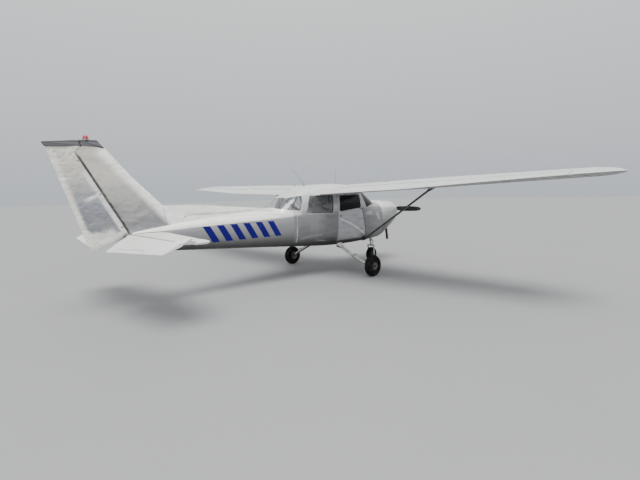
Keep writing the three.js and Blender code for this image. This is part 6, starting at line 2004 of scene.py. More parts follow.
def spinnerProfile(inset):
    length = propeller["spinnerTip"] - propeller["spinnerBase"] - inset
    radius = propeller["spinnerRadius"] - inset
    arc = [(radius * max(0.0, math.cos(t)) ** 0.8, length * math.sin(t))
           for t in np.linspace(0, math.pi / 2, 22)]
    return [(0, inset), (radius, inset)] + arc[1:-1] + [(0, length)]


def makePropeller():
    centre = point(propeller["station"], 0, propeller["z"])
    half, radius = propeller["hubHalf"], propeller["hubRadius"]
    hub = turned([(0, -half), (radius - 4, -half), (radius, -half + 4), (radius, half - 4),
                  (radius - 4, half), (34, half), (30, half - 3), (0, half - 3)], centre, (1, 0, 0), 40)
    piece = makePiece("propellerBlades", hub, finish["blade"])
    for side in (-1, 1):
        carve(piece, bladeShape(side), "UNION")
    sharpen(piece, 34)
    piece.data.materials.append(finish["steel"])
    for face in piece.data.polygons:
        c = face.center
        side = 1 if c.y > 0 else -1
        lead = (c.z * 1000 - propeller["z"]) * side
        chord = rowValue(propeller["rows"], abs(c.y) * 1000, 1)
        if abs(c.y) * 1000 > propeller["wornFrom"] and lead < -0.86 * chord * 0.93:
            face.material_index = 1
    show(piece, "propeller", "propeller_blade", "propeller")
    bolts = []
    for k in range(propeller["bolts"]):
        turn = 2 * math.pi * (k + 0.5) / propeller["bolts"]
        seat = centre + Vector((0.036, propeller["boltCircle"] / 1000 * math.cos(turn),
                                propeller["boltCircle"] / 1000 * math.sin(turn)))
        bolts.append(stacked(seat, (1, 0, 0), ((0, 0.009), (0.007, 0.009), (0.009, 0.0075)), 6))
    build("propellerBolts", joined(*bolts), "steel", "propeller", "propeller_blade")
    base = point(propeller["spinnerBase"], 0, propeller["z"])
    spinner = makePiece("spinnerShell", turned(spinnerProfile(0), base, (1, 0, 0), 96))
    carve(spinner, turned(spinnerProfile(propeller["wall"]), base, (1, 0, 0), 48))
    hole = propeller["hubRadius"] + 2
    carve(spinner, turned([(0, -20), (hole, -20), (hole, 30), (0, 30)], base, (1, 0, 0), 40))
    for side in (-1, 1):
        carve(spinner, bladeShape(side, propeller["bladeGap"]))
    dress(spinner, "hub", "propeller", "bare_skin", "spinner", sharpAngle=36)
    heads = []
    for k in range(propeller["screws"]):
        turn = 2 * math.pi * (k + 0.5) / propeller["screws"]
        out = Vector((0, math.cos(turn), math.sin(turn)))
        seat = base + Vector((0.012, 0, 0)) + out * (propeller["spinnerRadius"] - 1.2) / 1000
        heads.append(stacked(seat, out, ((-0.001, 0.0045), (0.0012, 0.0045), (0.0022, 0.0025)), 10))
    build("spinnerScrews", joined(*heads), "rivet", "propeller", "bare_skin")


makePropeller()
print("propeller and spinner are made")

engine = {
    # rear, front, both sides, bottom, top and corner radius
    "boxes": [(136, 826, -120, 120, 1180, 1440, 34), (200, 640, -150, 150, 1112, 1196, 30),
              (140, 250, -105, 105, 1275, 1430, 22)],
    "baffle": (180, 720, -322, 322, 1398, 1404, 3),
    "cylinders": (330, 570), "cylinderZ": 1302, "reach": (118, 318), "finRadius": 84,
    "barrel": 62, "finPitch": 8.5, "shaftFrom": 822, "shaft": 0.039,
    "rockerHalf": 62, "rocker": (316, 329, 1246, 1362), "mountBar": 0.011,
    "starterRing": [(60, 968), (88, 968), (90, 972), (88, 978), (60, 978)],
    "mounts": [[(130, 96, 1360), (60, 120, 1400), (6, 180, 1430)],
               [(140, 90, 1290), (70, 110, 1270), (6, 150, 1255)]],
    "exhaust": [(514, -226, 1168), (520, -234, 1040), (517, -243, 900), (508, -268, 740),
                (500, -299, 562)],
    "exhaustOuter": 31.5, "exhaustInner": 28,
}


def makeEngine():
    parts = [roundedBox(*row) for row in engine["boxes"]]
    for x in engine["cylinders"]:
        for side in (-1, 1):
            low, high = engine["reach"]
            count = int((high - low) / engine["finPitch"])
            profile = [(0, low)]
            for k in range(count):
                start = low + k * engine["finPitch"]
                profile += [(engine["barrel"], start), (engine["barrel"], start + 5),
                            (engine["finRadius"], start + 5.5), (engine["finRadius"], start + 7.5)]
            profile += [(engine["finRadius"] - 12, high + 6), (0, high + 8)]
            parts.append(turned(profile, point(x, 0, engine["cylinderZ"]), (0, side, 0), 30))
            half, (inner, outer, bottom, top) = engine["rockerHalf"], engine["rocker"]
            parts.append(roundedBox(x - half, x + half, side * inner, side * outer, bottom, top, 12))
    parts.append(rod(point(engine["shaftFrom"], 0, propeller["z"]),
                     point(propeller["station"] - 40, 0, propeller["z"]), engine["shaft"], 32))
    parts.append(turned(engine["starterRing"], point(0, 0, propeller["z"]), (1, 0, 0), 72))
    parts += [tube([point(x, side * y, z) for x, y, z in path], engine["mountBar"], 10)
              for side in (-1, 1) for path in engine["mounts"]]
    parts.append(roundedBox(*engine["baffle"]))
    build("engineBlock", joined(*parts), "cast", "airframe", "engine_casting", "engine", sharpAngle=30)
    pipe = [point(*p) for p in smoothPath(engine["exhaust"], 26)]
    stack = makePiece("exhaustPipe", tube(pipe, engine["exhaustOuter"] / 1000, 28))
    past = pipe[-1] + (pipe[-1] - pipe[-2]) * 3
    carve(stack, tube([*pipe[4:], past], engine["exhaustInner"] / 1000, 24))
    dress(stack, "exhaust", "airframe", "exhaust_steel", "exhaust_pipe", sharpAngle=40)


makeEngine()


beacon = {"x": -6430, "z": 2555, "radius": 42, "height": 70}


def makeBeacon():
    x, z, radius, height = (beacon[k] for k in ("x", "z", "radius", "height"))
    lens = [(radius - 4, 10)]
    lens += [((radius - 4) * math.cos(t) ** 0.7, 10 + (height - 12) * math.sin(t))
             for t in np.linspace(0.05, math.pi / 2 - 0.02, 16)]
    shape = turned([(0, 8), *lens, (0, height - 2)], point(x, 0, z), (0, 0, 1), 48)
    build("beaconLens", shape, "red", "airframe", "beacon_lens", "beacon", sharpAngle=40)
    collar = turned([(0, -8), (radius, -8), (radius, 6), (radius - 3, 11), (0, 11)], point(x, 0, z),
                    (0, 0, 1), 48)
    build("beaconCollar", collar, "hub", "airframe", "painted_skin", sharpAngle=40)


makeBeacon()


def dressNode(name, material):
    data = bpy.data.objects[name].data
    data.materials.clear()
    data.materials.append(material)


dressNode("firewall", finish["steel"])
dressNode("baggage_wall", finish["trim"])
print("engine, exhaust and beacon are made")

# Cabin: seats, belts, panel and control wheels

seat = {
    "y": 240, "half": 200, "cushion": [(-1105, 992), (-1092, 1060), (-1150, 1078), (-1455, 1056),
                                       (-1520, 1040), (-1520, 992)],
    "back": [(-1462, 1075), (-1478, 1330), (-1566, 1558), (-1592, 1588), (-1628, 1578), (-1630, 1500),
             (-1590, 1240), (-1556, 1060), (-1500, 1052)],
    "voxel": 0.009, "pressure": 4.0, "cap": 0.013, "frames": 20, "inset": 9,
    "channels": (-105, -35, 35, 105), "channelDepth": 0.006, "channelWidth": 0.008,
}
bench = {
    "half": 402, "cushion": [(-1985, 992), (-1975, 1056), (-2025, 1072), (-2360, 1054),
                             (-2420, 1036), (-2420, 992)],
    "back": [(-2348, 1072), (-2362, 1240), (-2430, 1462), (-2482, 1474), (-2492, 1300),
             (-2488, 1062), (-2400, 1050)],
    "voxel": 0.012, "channels": (-300, -200, -100, 0, 100, 200, 300),
}


def softBlock(name, outline, y0, y1, inset):
    shape = grown(rounded(outline, 34, 5), -inset)
    steps = 12
    rings = []
    for i in range(steps + 1):
        edge = min(i, steps - i)
        pull = -10 * (1 - min(1.0, edge / 2.0)) ** 2
        rings.append([point(x, y0 + (y1 - y0) * i / steps, z) for x, z in grown(shape, pull)])
    return makePiece(name, loft(rings), None, 180)


# Swells a cushion with cloth under pressure, and keeps every point near where it began
def inflate(piece, voxel):
    remesh = piece.modifiers.new("remesh", "REMESH")
    remesh.mode = "VOXEL"
    remesh.voxel_size = voxel
    remesh.use_smooth_shade = True
    applyModifiers(piece)
    start = np.array([v.co[:] for v in piece.data.vertices])
    cloth = piece.modifiers.new("cloth", "CLOTH")
    cloth.settings.use_pressure = True
    cloth.settings.uniform_pressure_force = seat["pressure"]
    cloth.settings.effector_weights.gravity = 0
    cloth.settings.tension_stiffness = cloth.settings.compression_stiffness = 18
    cloth.settings.bending_stiffness = 0.6
    cloth.point_cache.frame_end = seat["frames"]
    for step in range(1, seat["frames"] + 1):
        bpy.context.scene.frame_set(step)
    applyModifiers(piece)
    bpy.context.scene.frame_set(1)
    moved = np.array([v.co[:] for v in piece.data.vertices]) - start
    size = np.linalg.norm(moved, axis=1)
    share = np.minimum(1, seat["cap"] / np.maximum(size, 1e-9))
    piece.data.vertices.foreach_set("co", (start + moved * share[:, None]).ravel())


def channel(piece, lines, y, keep):
    normals = [v.normal.copy() for v in piece.data.vertices]
    for vertex, normal in zip(piece.data.vertices, normals):
        if not keep(vertex.co, normal):
            continue
        near = min(abs(vertex.co.y * 1000 - y - line) for line in lines) / 1000
        sink = math.exp(-(near / seat["channelWidth"]) ** 2)
        vertex.co -= normal * seat["channelDepth"] * sink


def finishCushion(piece, node, lines, y, facing, edging):
    smooth = piece.modifiers.new("smooth", "SUBSURF")
    smooth.levels = smooth.render_levels = 1
    applyModifiers(piece)
    channel(piece, lines, y, facing)
    for material in ("cloth", "vinyl"):
        piece.data.materials.append(finish[material])
    for face in piece.data.polygons:
        face.use_smooth = True
        face.material_index = int(abs(face.center.y - y / 1000) > edging / 1000)
    show(piece, "airframe", "upholstery", node)


def topFacing(co, normal):
    return normal.z > 0.5


def frontFacing(co, normal):
    return normal.x > 0.4


def makeSeats():
    shapes = {}
    for part, facing in (("cushion", topFacing), ("back", frontFacing)):
        first = softBlock(f"seat.{part}", seat[part], -seat["half"], seat["half"], seat["inset"])
        inflate(first, seat["voxel"])
        shapes[part] = first
        for side, label in sides:
            piece = duplicate(first, f"frontSeat.{part}.{label}")
            piece.data.transform(Matrix.Translation((0, side * seat["y"] / 1000, 0)))
            finishCushion(piece, f"seat_front_{label}", seat["channels"], side * seat["y"], facing,
                          seat["half"] - 42)
        discard(first)
        wide = softBlock(f"rearBench.{part}", bench[part], -bench["half"], bench["half"],
                         seat["inset"])
        inflate(wide, bench["voxel"])
        finishCushion(wide, "rear_bench", bench["channels"], 0, facing, bench["half"] - 50)
    print("front seats and rear bench are padded")


seatBase = {"bar": 0.011, "rail": 14, "legFrom": 40, "lean": 30, "bend": 860, "legTop": 978,
            "rear": 976, "front": 980, "plate": (982, 990)}


def seatFrame(y, half, rear, front, name):
    parts = []
    floor, bar, rail = fuselage["floorTop"] + 1, seatBase["bar"], seatBase["rail"]
    for at in (y - half, y + half):
        parts.append(roundedBox(rear - 40, front + 60, at - rail, at + rail, floor, floor + rail, 4))
        for x, lean in ((rear + seatBase["legFrom"], seatBase["lean"]),
                        (front - seatBase["legFrom"], -seatBase["lean"])):
            parts.append(tube([point(x, at, floor + 12), point(x + lean * 0.3, at, seatBase["bend"]),
                               point(x + lean, at, seatBase["legTop"])], bar))
        parts.append(rod(point(rear, at, seatBase["rear"]), point(front, at, seatBase["front"]), bar))
    for x, z in ((front - 8, seatBase["front"] - 1), (rear + 8, seatBase["rear"])):
        parts.append(crossRod(x, y - half, y + half, z, bar, 12))
    parts.append(roundedBox(rear - 10, front + 10, y - half, y + half, *seatBase["plate"], 3))
    build(name, joined(*parts), "steel", "airframe", "interior_plastic")


# Paths on one side as (station, side, height), with a width and the direction that it runs in
straps = [
    ([(-1560, 478, 1700), (-1500, 420, 1560), (-1448, 330, 1420), (-1420, 250, 1250),
      (-1385, 232, 1112)], 46, (0.2, 1, 0.3)),
    ([(-2330, 20, 1850), (-2342, 130, 1650), (-2330, 250, 1480), (-2315, 330, 1300),
      (-2262, 375, 1100)], 50, (1, 0, 0.1)),
    ([(-2395, 12, 1842), (-2470, 150, 1690), (-2560, 290, 1560), (-2640, 372, 1470)], 40, (0, 1, 0)),
]
# Rear and front end, height, side and half width of the belts over the laps
lapBelts = [(-1480, -1330, 1096, seat["y"], 207), (-2385, -2230, 1090, 215, 150)]
webbing = {"width": 46, "across": (1, 0, 0.2), "thickness": 1.6, "steps": 40, "anchor": 1000,
           "buckleHalf": (30, 32), "buckle": 14}


# A flat strap through points, whose width runs as near to a direction as its path allows
def strap(path, width, across):
    steps = webbing["steps"]
    points = [point(*p) for p in smoothPath(path, steps)]
    across = Vector(across).normalized()
    rings = []
    for i, p in enumerate(points):
        along = (points[min(i + 1, steps)] - points[max(i - 1, 0)]).normalized()
        wide = (across - along * across.dot(along)).normalized() * width / 2000
        thick = along.cross(wide).normalized() * webbing["thickness"] / 2000
        rings.append([p - wide - thick, p + wide - thick, p + wide + thick, p - wide + thick])
    return loft(rings)


def makeBelts():
    parts, metal = [], []
    for side in (-1, 1):
        for rear, front, top, y, half in lapBelts:
            middle, (long, wide) = side * y, webbing["buckleHalf"]
            for edge in (-1, 1):
                outer = middle + edge * half
                path = [(rear + 20, outer, webbing["anchor"]), (rear + 50, outer - edge * 24, top - 8),
                        (rear + 110, middle + edge * 95, top + 4), (front, middle + edge * 22, top + 6)]
                parts.append(strap(path, webbing["width"], webbing["across"]))
            metal.append(roundedBox(front - long, front + long, middle - wide, middle + wide, top,
                                    top + webbing["buckle"], 5))
        parts += [strap([(x, side * y, z) for x, y, z in path], width, across)
                  for path, width, across in straps]
    build("beltWebbing", joined(*parts), "belt", "airframe", "interior_trim", sharpAngle=60)
    build("beltBuckles", joined(*metal), "chrome", "airframe", "interior_plastic")


makeSeats()
for side, label in sides:
    seatFrame(side * seat["y"], 160, -1505, -1120, f"seatFrame.{label}")
seatFrame(0, 280, -2450, -2000, "benchFrame")
makeBelts()
print("seat frames and belts are made")

board = {
    "rear": -391, "front": -336, "bottom": 1012, "shelfBottom": 1424, "shelfTop": 1460,
    "dialRadius": 40, "flight": [(150, 1355), (242, 1355), (334, 1355), (150, 1258), (242, 1258),
                                 (334, 1258)],
    "small": [(80, 1385), (80, 1330), (80, 1275), (-80, 1385), (-80, 1330), (-300, 1345)],
    "smallRadius": 24, "ticks": 12, "wallGap": 0.6, "widest": 900,
    "radios": (1380, 1336, 1292, 1240), "radioHalf": (62, 19), "knobs": (-50, 50),
    "knob": [(0, 0), (8, 0), (7, 12), (0, 12)], "levers": (-30, 0, 30), "leverZ": 1120,
    "lever": [(0, 0), (11, 0), (14, 6), (14, 14), (9, 19), (0, 19)],
    "switches": [330 - 26 * k for k in range(7)], "switch": (8, 1098, 1124),
    "tray": (-410, -200, 1050, 1165), "compass": (-446, -396, -26, 26, 1470, 1512, 10),
}
yoke = {"x": -562, "y": 240, "z": 1190, "shaft": 0.0125, "hole": 0.016, "box": (12, 44, 1172, 1212),
        "grip": [(20, 1190), (90, 1187), (132, 1200), (143, 1240), (134, 1296)],
        "radii": [0.010] * 8 + [0.0125] * 16 + [0.009]}


def dialAt(y, z, radius, turn):
    base = point(board["rear"], y, z)
    bezel = turned([(radius - 3, 0), (radius + 4, 0), (radius + 4, 5), (radius, 8), (radius - 3, 5)],
                   base, (-1, 0, 0), 40)
    face = turned([(0, 0), (radius - 3, 0), (radius - 3, 2), (0, 2)], base, (-1, 0, 0), 40)
    marks = []
    for k, angle in enumerate(turnsOf(board["ticks"])):
        low, high = (0.72, 0.92) if k % 3 == 0 else (0.82, 0.92)
        out = Vector((0, math.cos(angle), math.sin(angle)))
        start = base + Vector((-0.0024, 0, 0)) + out * radius * low / 1000
        marks.append(rod(start, start + out * radius * (high - low) / 1000, 0.0009, 6))
    out = Vector((0, math.cos(turn), math.sin(turn)))
    centre = base + Vector((-0.003, 0, 0))
    marks.append(tube([centre - out * radius * 0.2 / 1000, centre + out * radius * 0.66 / 1000],
                      [0.0018, 0.0006], 6))
    return bezel, face, marks


def makeBoard():
    inset, widest = fuselage["wall"] + board["wallGap"], board["widest"]
    skin = makePiece("instrumentBoard", bodySolid(-300, -470, inset, 30, 26))
    carve(skin, roundedBox(board["rear"], board["front"], -widest, widest, board["bottom"],
                           board["shelfTop"], 8), "INTERSECT")
    for y in (-yoke["y"], yoke["y"]):
        carve(skin, rod(point(-500, y, yoke["z"]), point(-200, y, yoke["z"]), yoke["hole"], 24))
    dress(skin, "trim", "airframe", "interior_plastic", "instrument_panel")
    shelf = makePiece("glareShield", bodySolid(-60.5, -462, inset, 30, 26))
    carve(shelf, roundedBox(-449, -62, -widest, widest, board["shelfBottom"], board["shelfTop"], 16),
          "INTERSECT")
    dress(shelf, "black", "airframe", "interior_plastic")
    bezels, faces, marks = [], [], []
    for kind, radius, first, step in (("flight", board["dialRadius"], 1.2, 0.9),
                                      ("small", board["smallRadius"], 2.4, -0.5)):
        for k, (y, z) in enumerate(board[kind]):
            bezel, face, scale = dialAt(y, z, radius, first + step * k)
            bezels.append(bezel)
            faces.append(face)
            marks += scale
    rear = board["rear"]
    wide, high = board["radioHalf"]
    for z in board["radios"]:
        faces.append(roundedBox(rear - 7, rear + 1, -wide, wide, z - high, z + high, 4))
        for y in board["knobs"]:
            bezels.append(turned(board["knob"], point(rear - 6, y, z), (-1, 0, 0), 18))
    z = board["leverZ"]
    for y in board["levers"]:
        bezels.append(rod(point(rear, y, z), point(rear - 46, y, z), 0.004, 10))
        bezels.append(turned(board["lever"], point(rear - 44, y, z), (-1, 0, 0), 20))
    half, low, high = board["switch"]
    for y in board["switches"]:
        faces.append(roundedBox(rear - 9, rear + 1, y - half, y + half, low, high, 3))
    faces.append(roundedBox(rear - 5, rear + 1, *board["tray"], 8))
    faces.append(roundedBox(*board["compass"]))
    build("dialBezels", joined(*bezels), "black", "airframe", "interior_plastic")
    build("dialFaces", joined(*faces), "dial", "airframe", "interior_plastic")
    build("dialMarks", joined(*marks), "mark", "airframe", "interior_plastic")


def makeYokes():
    parts = []
    for side in (-1, 1):
        x, y, (thick, wide, low, high) = yoke["x"], side * yoke["y"], yoke["box"]
        parts.append(rod(point(x, y, yoke["z"]), point(-345, y, yoke["z"]), yoke["shaft"], 20))
        parts.append(roundedBox(x - thick, x + thick, y - wide, y + wide, low, high, 10))
        for end in (-1, 1):
            grip = smoothPath([(x, y + end * out, z) for out, z in yoke["grip"]], 24)
            parts.append(tube([point(*p) for p in grip], yoke["radii"], 14))
    build("controlWheels", joined(*parts), "black", "airframe", "interior_plastic")


makeBoard()
makeYokes()
print("panel and control wheels are made")

# Rivets, seams, frames, hinges, lights and antennas


def treeOf(name):
    return BVHTree.FromObject(bpy.data.objects[name], bpy.context.evaluated_depsgraph_get())


# Geometry Nodes put a small head on each point, turned to the skin
def makeRivetTree():
    tree, given = newGroup("rivetHeads", {"Geometry": "Geometry", "Radius": 0.0032, "Rise": 0.0013,
                                          "Material": "Material"}, ["Geometry"], "Geometry")
    top = times(tree, given["Radius"], 0.55)
    head = makeNode(tree, "GeometryNodeMeshCone", {"Vertices": 7, "Radius Top": top,
                    "Radius Bottom": given["Radius"], "Depth": given["Rise"]})
    facing = makeNode(tree, "GeometryNodeInputNamedAttribute", {"Name": "facing"},
                      data_type="FLOAT_VECTOR").outputs[0]
    turn = makeNode(tree, "FunctionNodeAlignRotationToVector", {"Vector": facing}, axis="Z")
    placed = makeNode(tree, "GeometryNodeInstanceOnPoints", {"Points": given["Geometry"],
                      "Instance": head.outputs["Mesh"], "Rotation": turn.outputs[0]})
    return endShape(tree, placed.outputs[0], given["Material"])


rivetTree = makeRivetTree()


def rivets(name, body, slot, spots, material="rivet", radius=0.0032, rise=0.0013):
    mesh = bpy.data.meshes.new(name)
    mesh.from_pydata([place - out * 0.0003 for place, out in spots], [], [])
    piece = linked(name, mesh)
    facing = mesh.attributes.new("facing", "FLOAT_VECTOR", "POINT")
    facing.data.foreach_set("vector", [c for _, out in spots for c in out])
    runTree(piece, rivetTree, Radius=radius, Rise=rise, Material=finish[material])
    show(piece, body, slot)


# Where rays from the starts meet a skin, with the direction out of it
def struck(tree, starts, direction):
    direction = Vector(direction)
    hits = [tree.ray_cast(start, direction) for start in starts]
    return [(hit[0], hit[1] if hit[1].dot(direction) < 0 else -hit[1]) for hit in hits
            if hit[0] is not None]


def struckFromSides(tree, starts):
    spots = []
    for side in (-1, 1):
        spots += struck(tree, [point(x, side * 600, z) for x, z in starts], (0, -side, 0))
    return spots


def onSkin(x, z, side):
    place = point(x, side * skinY(x, z), z)
    near = outerTree.find_nearest(place)
    return near[0], near[1]


def along(outline, pitch, closed=True):
    ends = outline[1:] + outline[:1] if closed else outline[1:]
    return [(a[0] + (b[0] - a[0]) * t, a[1] + (b[1] - a[1]) * t) for a, b in zip(outline, ends)
            for t in [i / max(1, round(math.dist(a, b) / pitch))
                      for i in range(max(1, round(math.dist(a, b) / pitch)))]]


# The cabin's laps are given as station, lowest and highest point and whether they are pale
seams = {"tail": (-3160, -3640, -4210, -4890, -5420), "bandWidth": 30, "pitch": 42,
         "stringers": (0.36, -0.05, -0.42), "windowFrame": 17, "skinRise": 1.0,
         "cabin": ((-2812, 790, 1318, True), (-2303, 712, 1322, False), (-1706, 735, 1345, False)),
         "paleWidth": 20, "lapWidth": 9, "hoodGap": 14, "threadPitch": 44}


def skinBand(station, width):
    half = 0.5 * width
    rise = seams["skinRise"]
    return loft([bodyRing(x, inset) for x, inset in
                 ((station - half, -rise), (station + half, -rise), (station + half, 1.5),
                  (station - half, 1.5))], loop=True)


# A thin raised strip on the body between two offsets of a path of (station, height)
def skinStrip(inner, outer, side, rise, closed=True):
    rings = []
    for (x0, z0), (x1, z1) in zip(inner, outer):
        a, b = point(x0, side * skinY(x0, z0), z0), point(x1, side * skinY(x1, z1), z1)
        out = outerTree.find_nearest((a + b) / 2)[1]
        rings.append([a + out * rise / 1000, b + out * rise / 1000, b - out * 0.003,
                      a - out * 0.003])
    return loft(rings, loop=closed)


def openStrip(path, width, side, rise):
    points = [Vector(p) for p in path]
    inner, outer = [], []
    for i, p in enumerate(points):
        run = (points[min(i + 1, len(points) - 1)] - points[max(i - 1, 0)]).normalized()
        step = Vector((run.y, -run.x)) * width / 2
        inner.append(tuple(p - step))
        outer.append(tuple(p + step))
    return skinStrip(inner, outer, side, rise, False)


def makeSeams():
    bands = [skinBand(station, seams["bandWidth"]) for station in seams["tail"]]
    piece = makePiece("tailSeamBands", joined(*bands), finish["deck"])
    carve(piece, band(lines["rearWindow"], seams["hoodGap"]))
    show(piece, "airframe", "bare_skin")
    strips, laps = [], []
    for side in (-1, 1):
        for x, low, high, pale in seams["cabin"]:
            if side > 0 and -2800 < x < -2350:
                continue
            path = [(x, z) for z in spread(low, high, 40)]
            width = seams["paleWidth"] if pale else seams["lapWidth"]
            (strips if pale else laps).append(openStrip(path, width, side, seams["skinRise"]))
    build("cabinLapEdges", joined(*laps), "marks", "airframe", "bare_skin")
    for side, label in sides:
        for key, body in (("sideWindow", "airframe"), ("doorWindow", f"door_{label}")):
            shape = along(rounded(lines[key], lines["windowCorner"]), 30)
            frame = skinStrip(grown(shape, 1.0), grown(shape, seams["windowFrame"]), side, 2.0)
            rubber = skinStrip(grown(shape, -7), grown(shape, 2.0), side, 1.2)
            build(f"{key}Frame.{label}", frame, "silver", body, "bare_skin")
            build(f"{key}Seal.{label}", rubber, "seal", body, "bare_skin")
    build("cabinSeamStrips", joined(*strips), "silver", "airframe", "bare_skin")


makeSeams()


rear = {
    "hood": [(-2244, 2100), (-2244, 1921), (-2600, 1728), (-2720, 1720), (-2872, 1684),
             (-2872, 2100)],
    "frame": [(-2608, 1722), (-2660, 1570), (-2700, 1450), (-2724, 1424), (-2760, 1420)],
    "brace": 0.011, "top": (-2600, 0, 1690), "foot": [(-2664, 190, 1592), (-2742, 392, 1466)],
    "front": [(-2500, 0, 1800), (-2440, 0, 1842)],
}


# The painted hood over the upper part of the rear pane, its slim frame and the braces inside
def makeRearHood():
    hood = makePiece("rearHood", bodySolid(-2200, -2900, -1.5), finish["wing"], 30)
    carve(hood, bodySolid(-2100, -3000, 0.2))
    carve(hood, band(rear["hood"]), "INTERSECT")
    sharpen(hood, 30)
    show(hood, "airframe", "painted_skin")
    path = rear["frame"] + [(x, 1478 - 0.13 * (3150 + x) - 8) for x in range(-2820, -3150, -60)]
    frames = [openStrip(path, 16, side, 1.5) for side in (-1, 1)]
    build("rearFrame", joined(*frames), "wing", "airframe", "painted_skin")
    paths = [[(x, side * y, z) for x, y, z in rear["foot"]] for side in (-1, 1)] + [rear["front"]]
    legs = [tube([point(*p) for p in (rear["top"], *path)], rear["brace"]) for path in paths]
    build("rearBraces", joined(*legs), "leg", "airframe", "interior_trim")


makeRearHood()


# Stations of the first and the last bar, and height and slope per millimetre of their two ends
bars = {"first": -4790, "last": -3190, "count": 6, "share": 0.52, "slant": 175, "rise": 1.5,
        "sunk": 2, "upper": (1232, 0.018), "lower": (944, 0.012), "slopeFrom": -4800}


def makeBars():
    pitch = (bars["last"] - bars["first"] - bars["slant"]) / (bars["count"] - 1 + bars["share"])
    shapes = []
    for side in (-1, 1):
        for k in range(bars["count"]):
            rear = bars["first"] + k * pitch
            rows = []
            for i in range(9):
                v = i / 8
                start = rear + bars["slant"] * v
                upper, lower = (height + slope * (start - bars["slopeFrom"])
                                for height, slope in (bars["upper"], bars["lower"]))
                z = upper + (lower - upper) * v
                rows.append([(start + pitch * bars["share"] * j / 6, z) for j in range(7)])
            outer = [[onSkin(x, z, side) for x, z in row] for row in rows]
            top = [[p + n * bars["rise"] / 1000 for p, n in row] for row in outer]
            under = [[p - n * bars["sunk"] / 1000 for p, n in row] for row in outer]
            shapes.append(loft([t + u[::-1] for t, u in zip(top, under)]))
    build("blueBars", joined(*shapes), "blue", "airframe", "painted_skin", sharpAngle=60)


makeBars()


ribs = {"wing": (640, 900, 1230, 1560, 1890, 2220, 2500, 2860, 3220, 3580, 3940, 4300, 4660, 5020),
        "fin": (1330, 1520, 1710, 1900, 2090, 2280, 2430), "rudder": (1240, 1560, 1880, 2200, 2420)}


def levelLead(y):
    return level["rootLead"] + (level["tipLead"] - level["rootLead"]) * abs(y) / level["tip"]


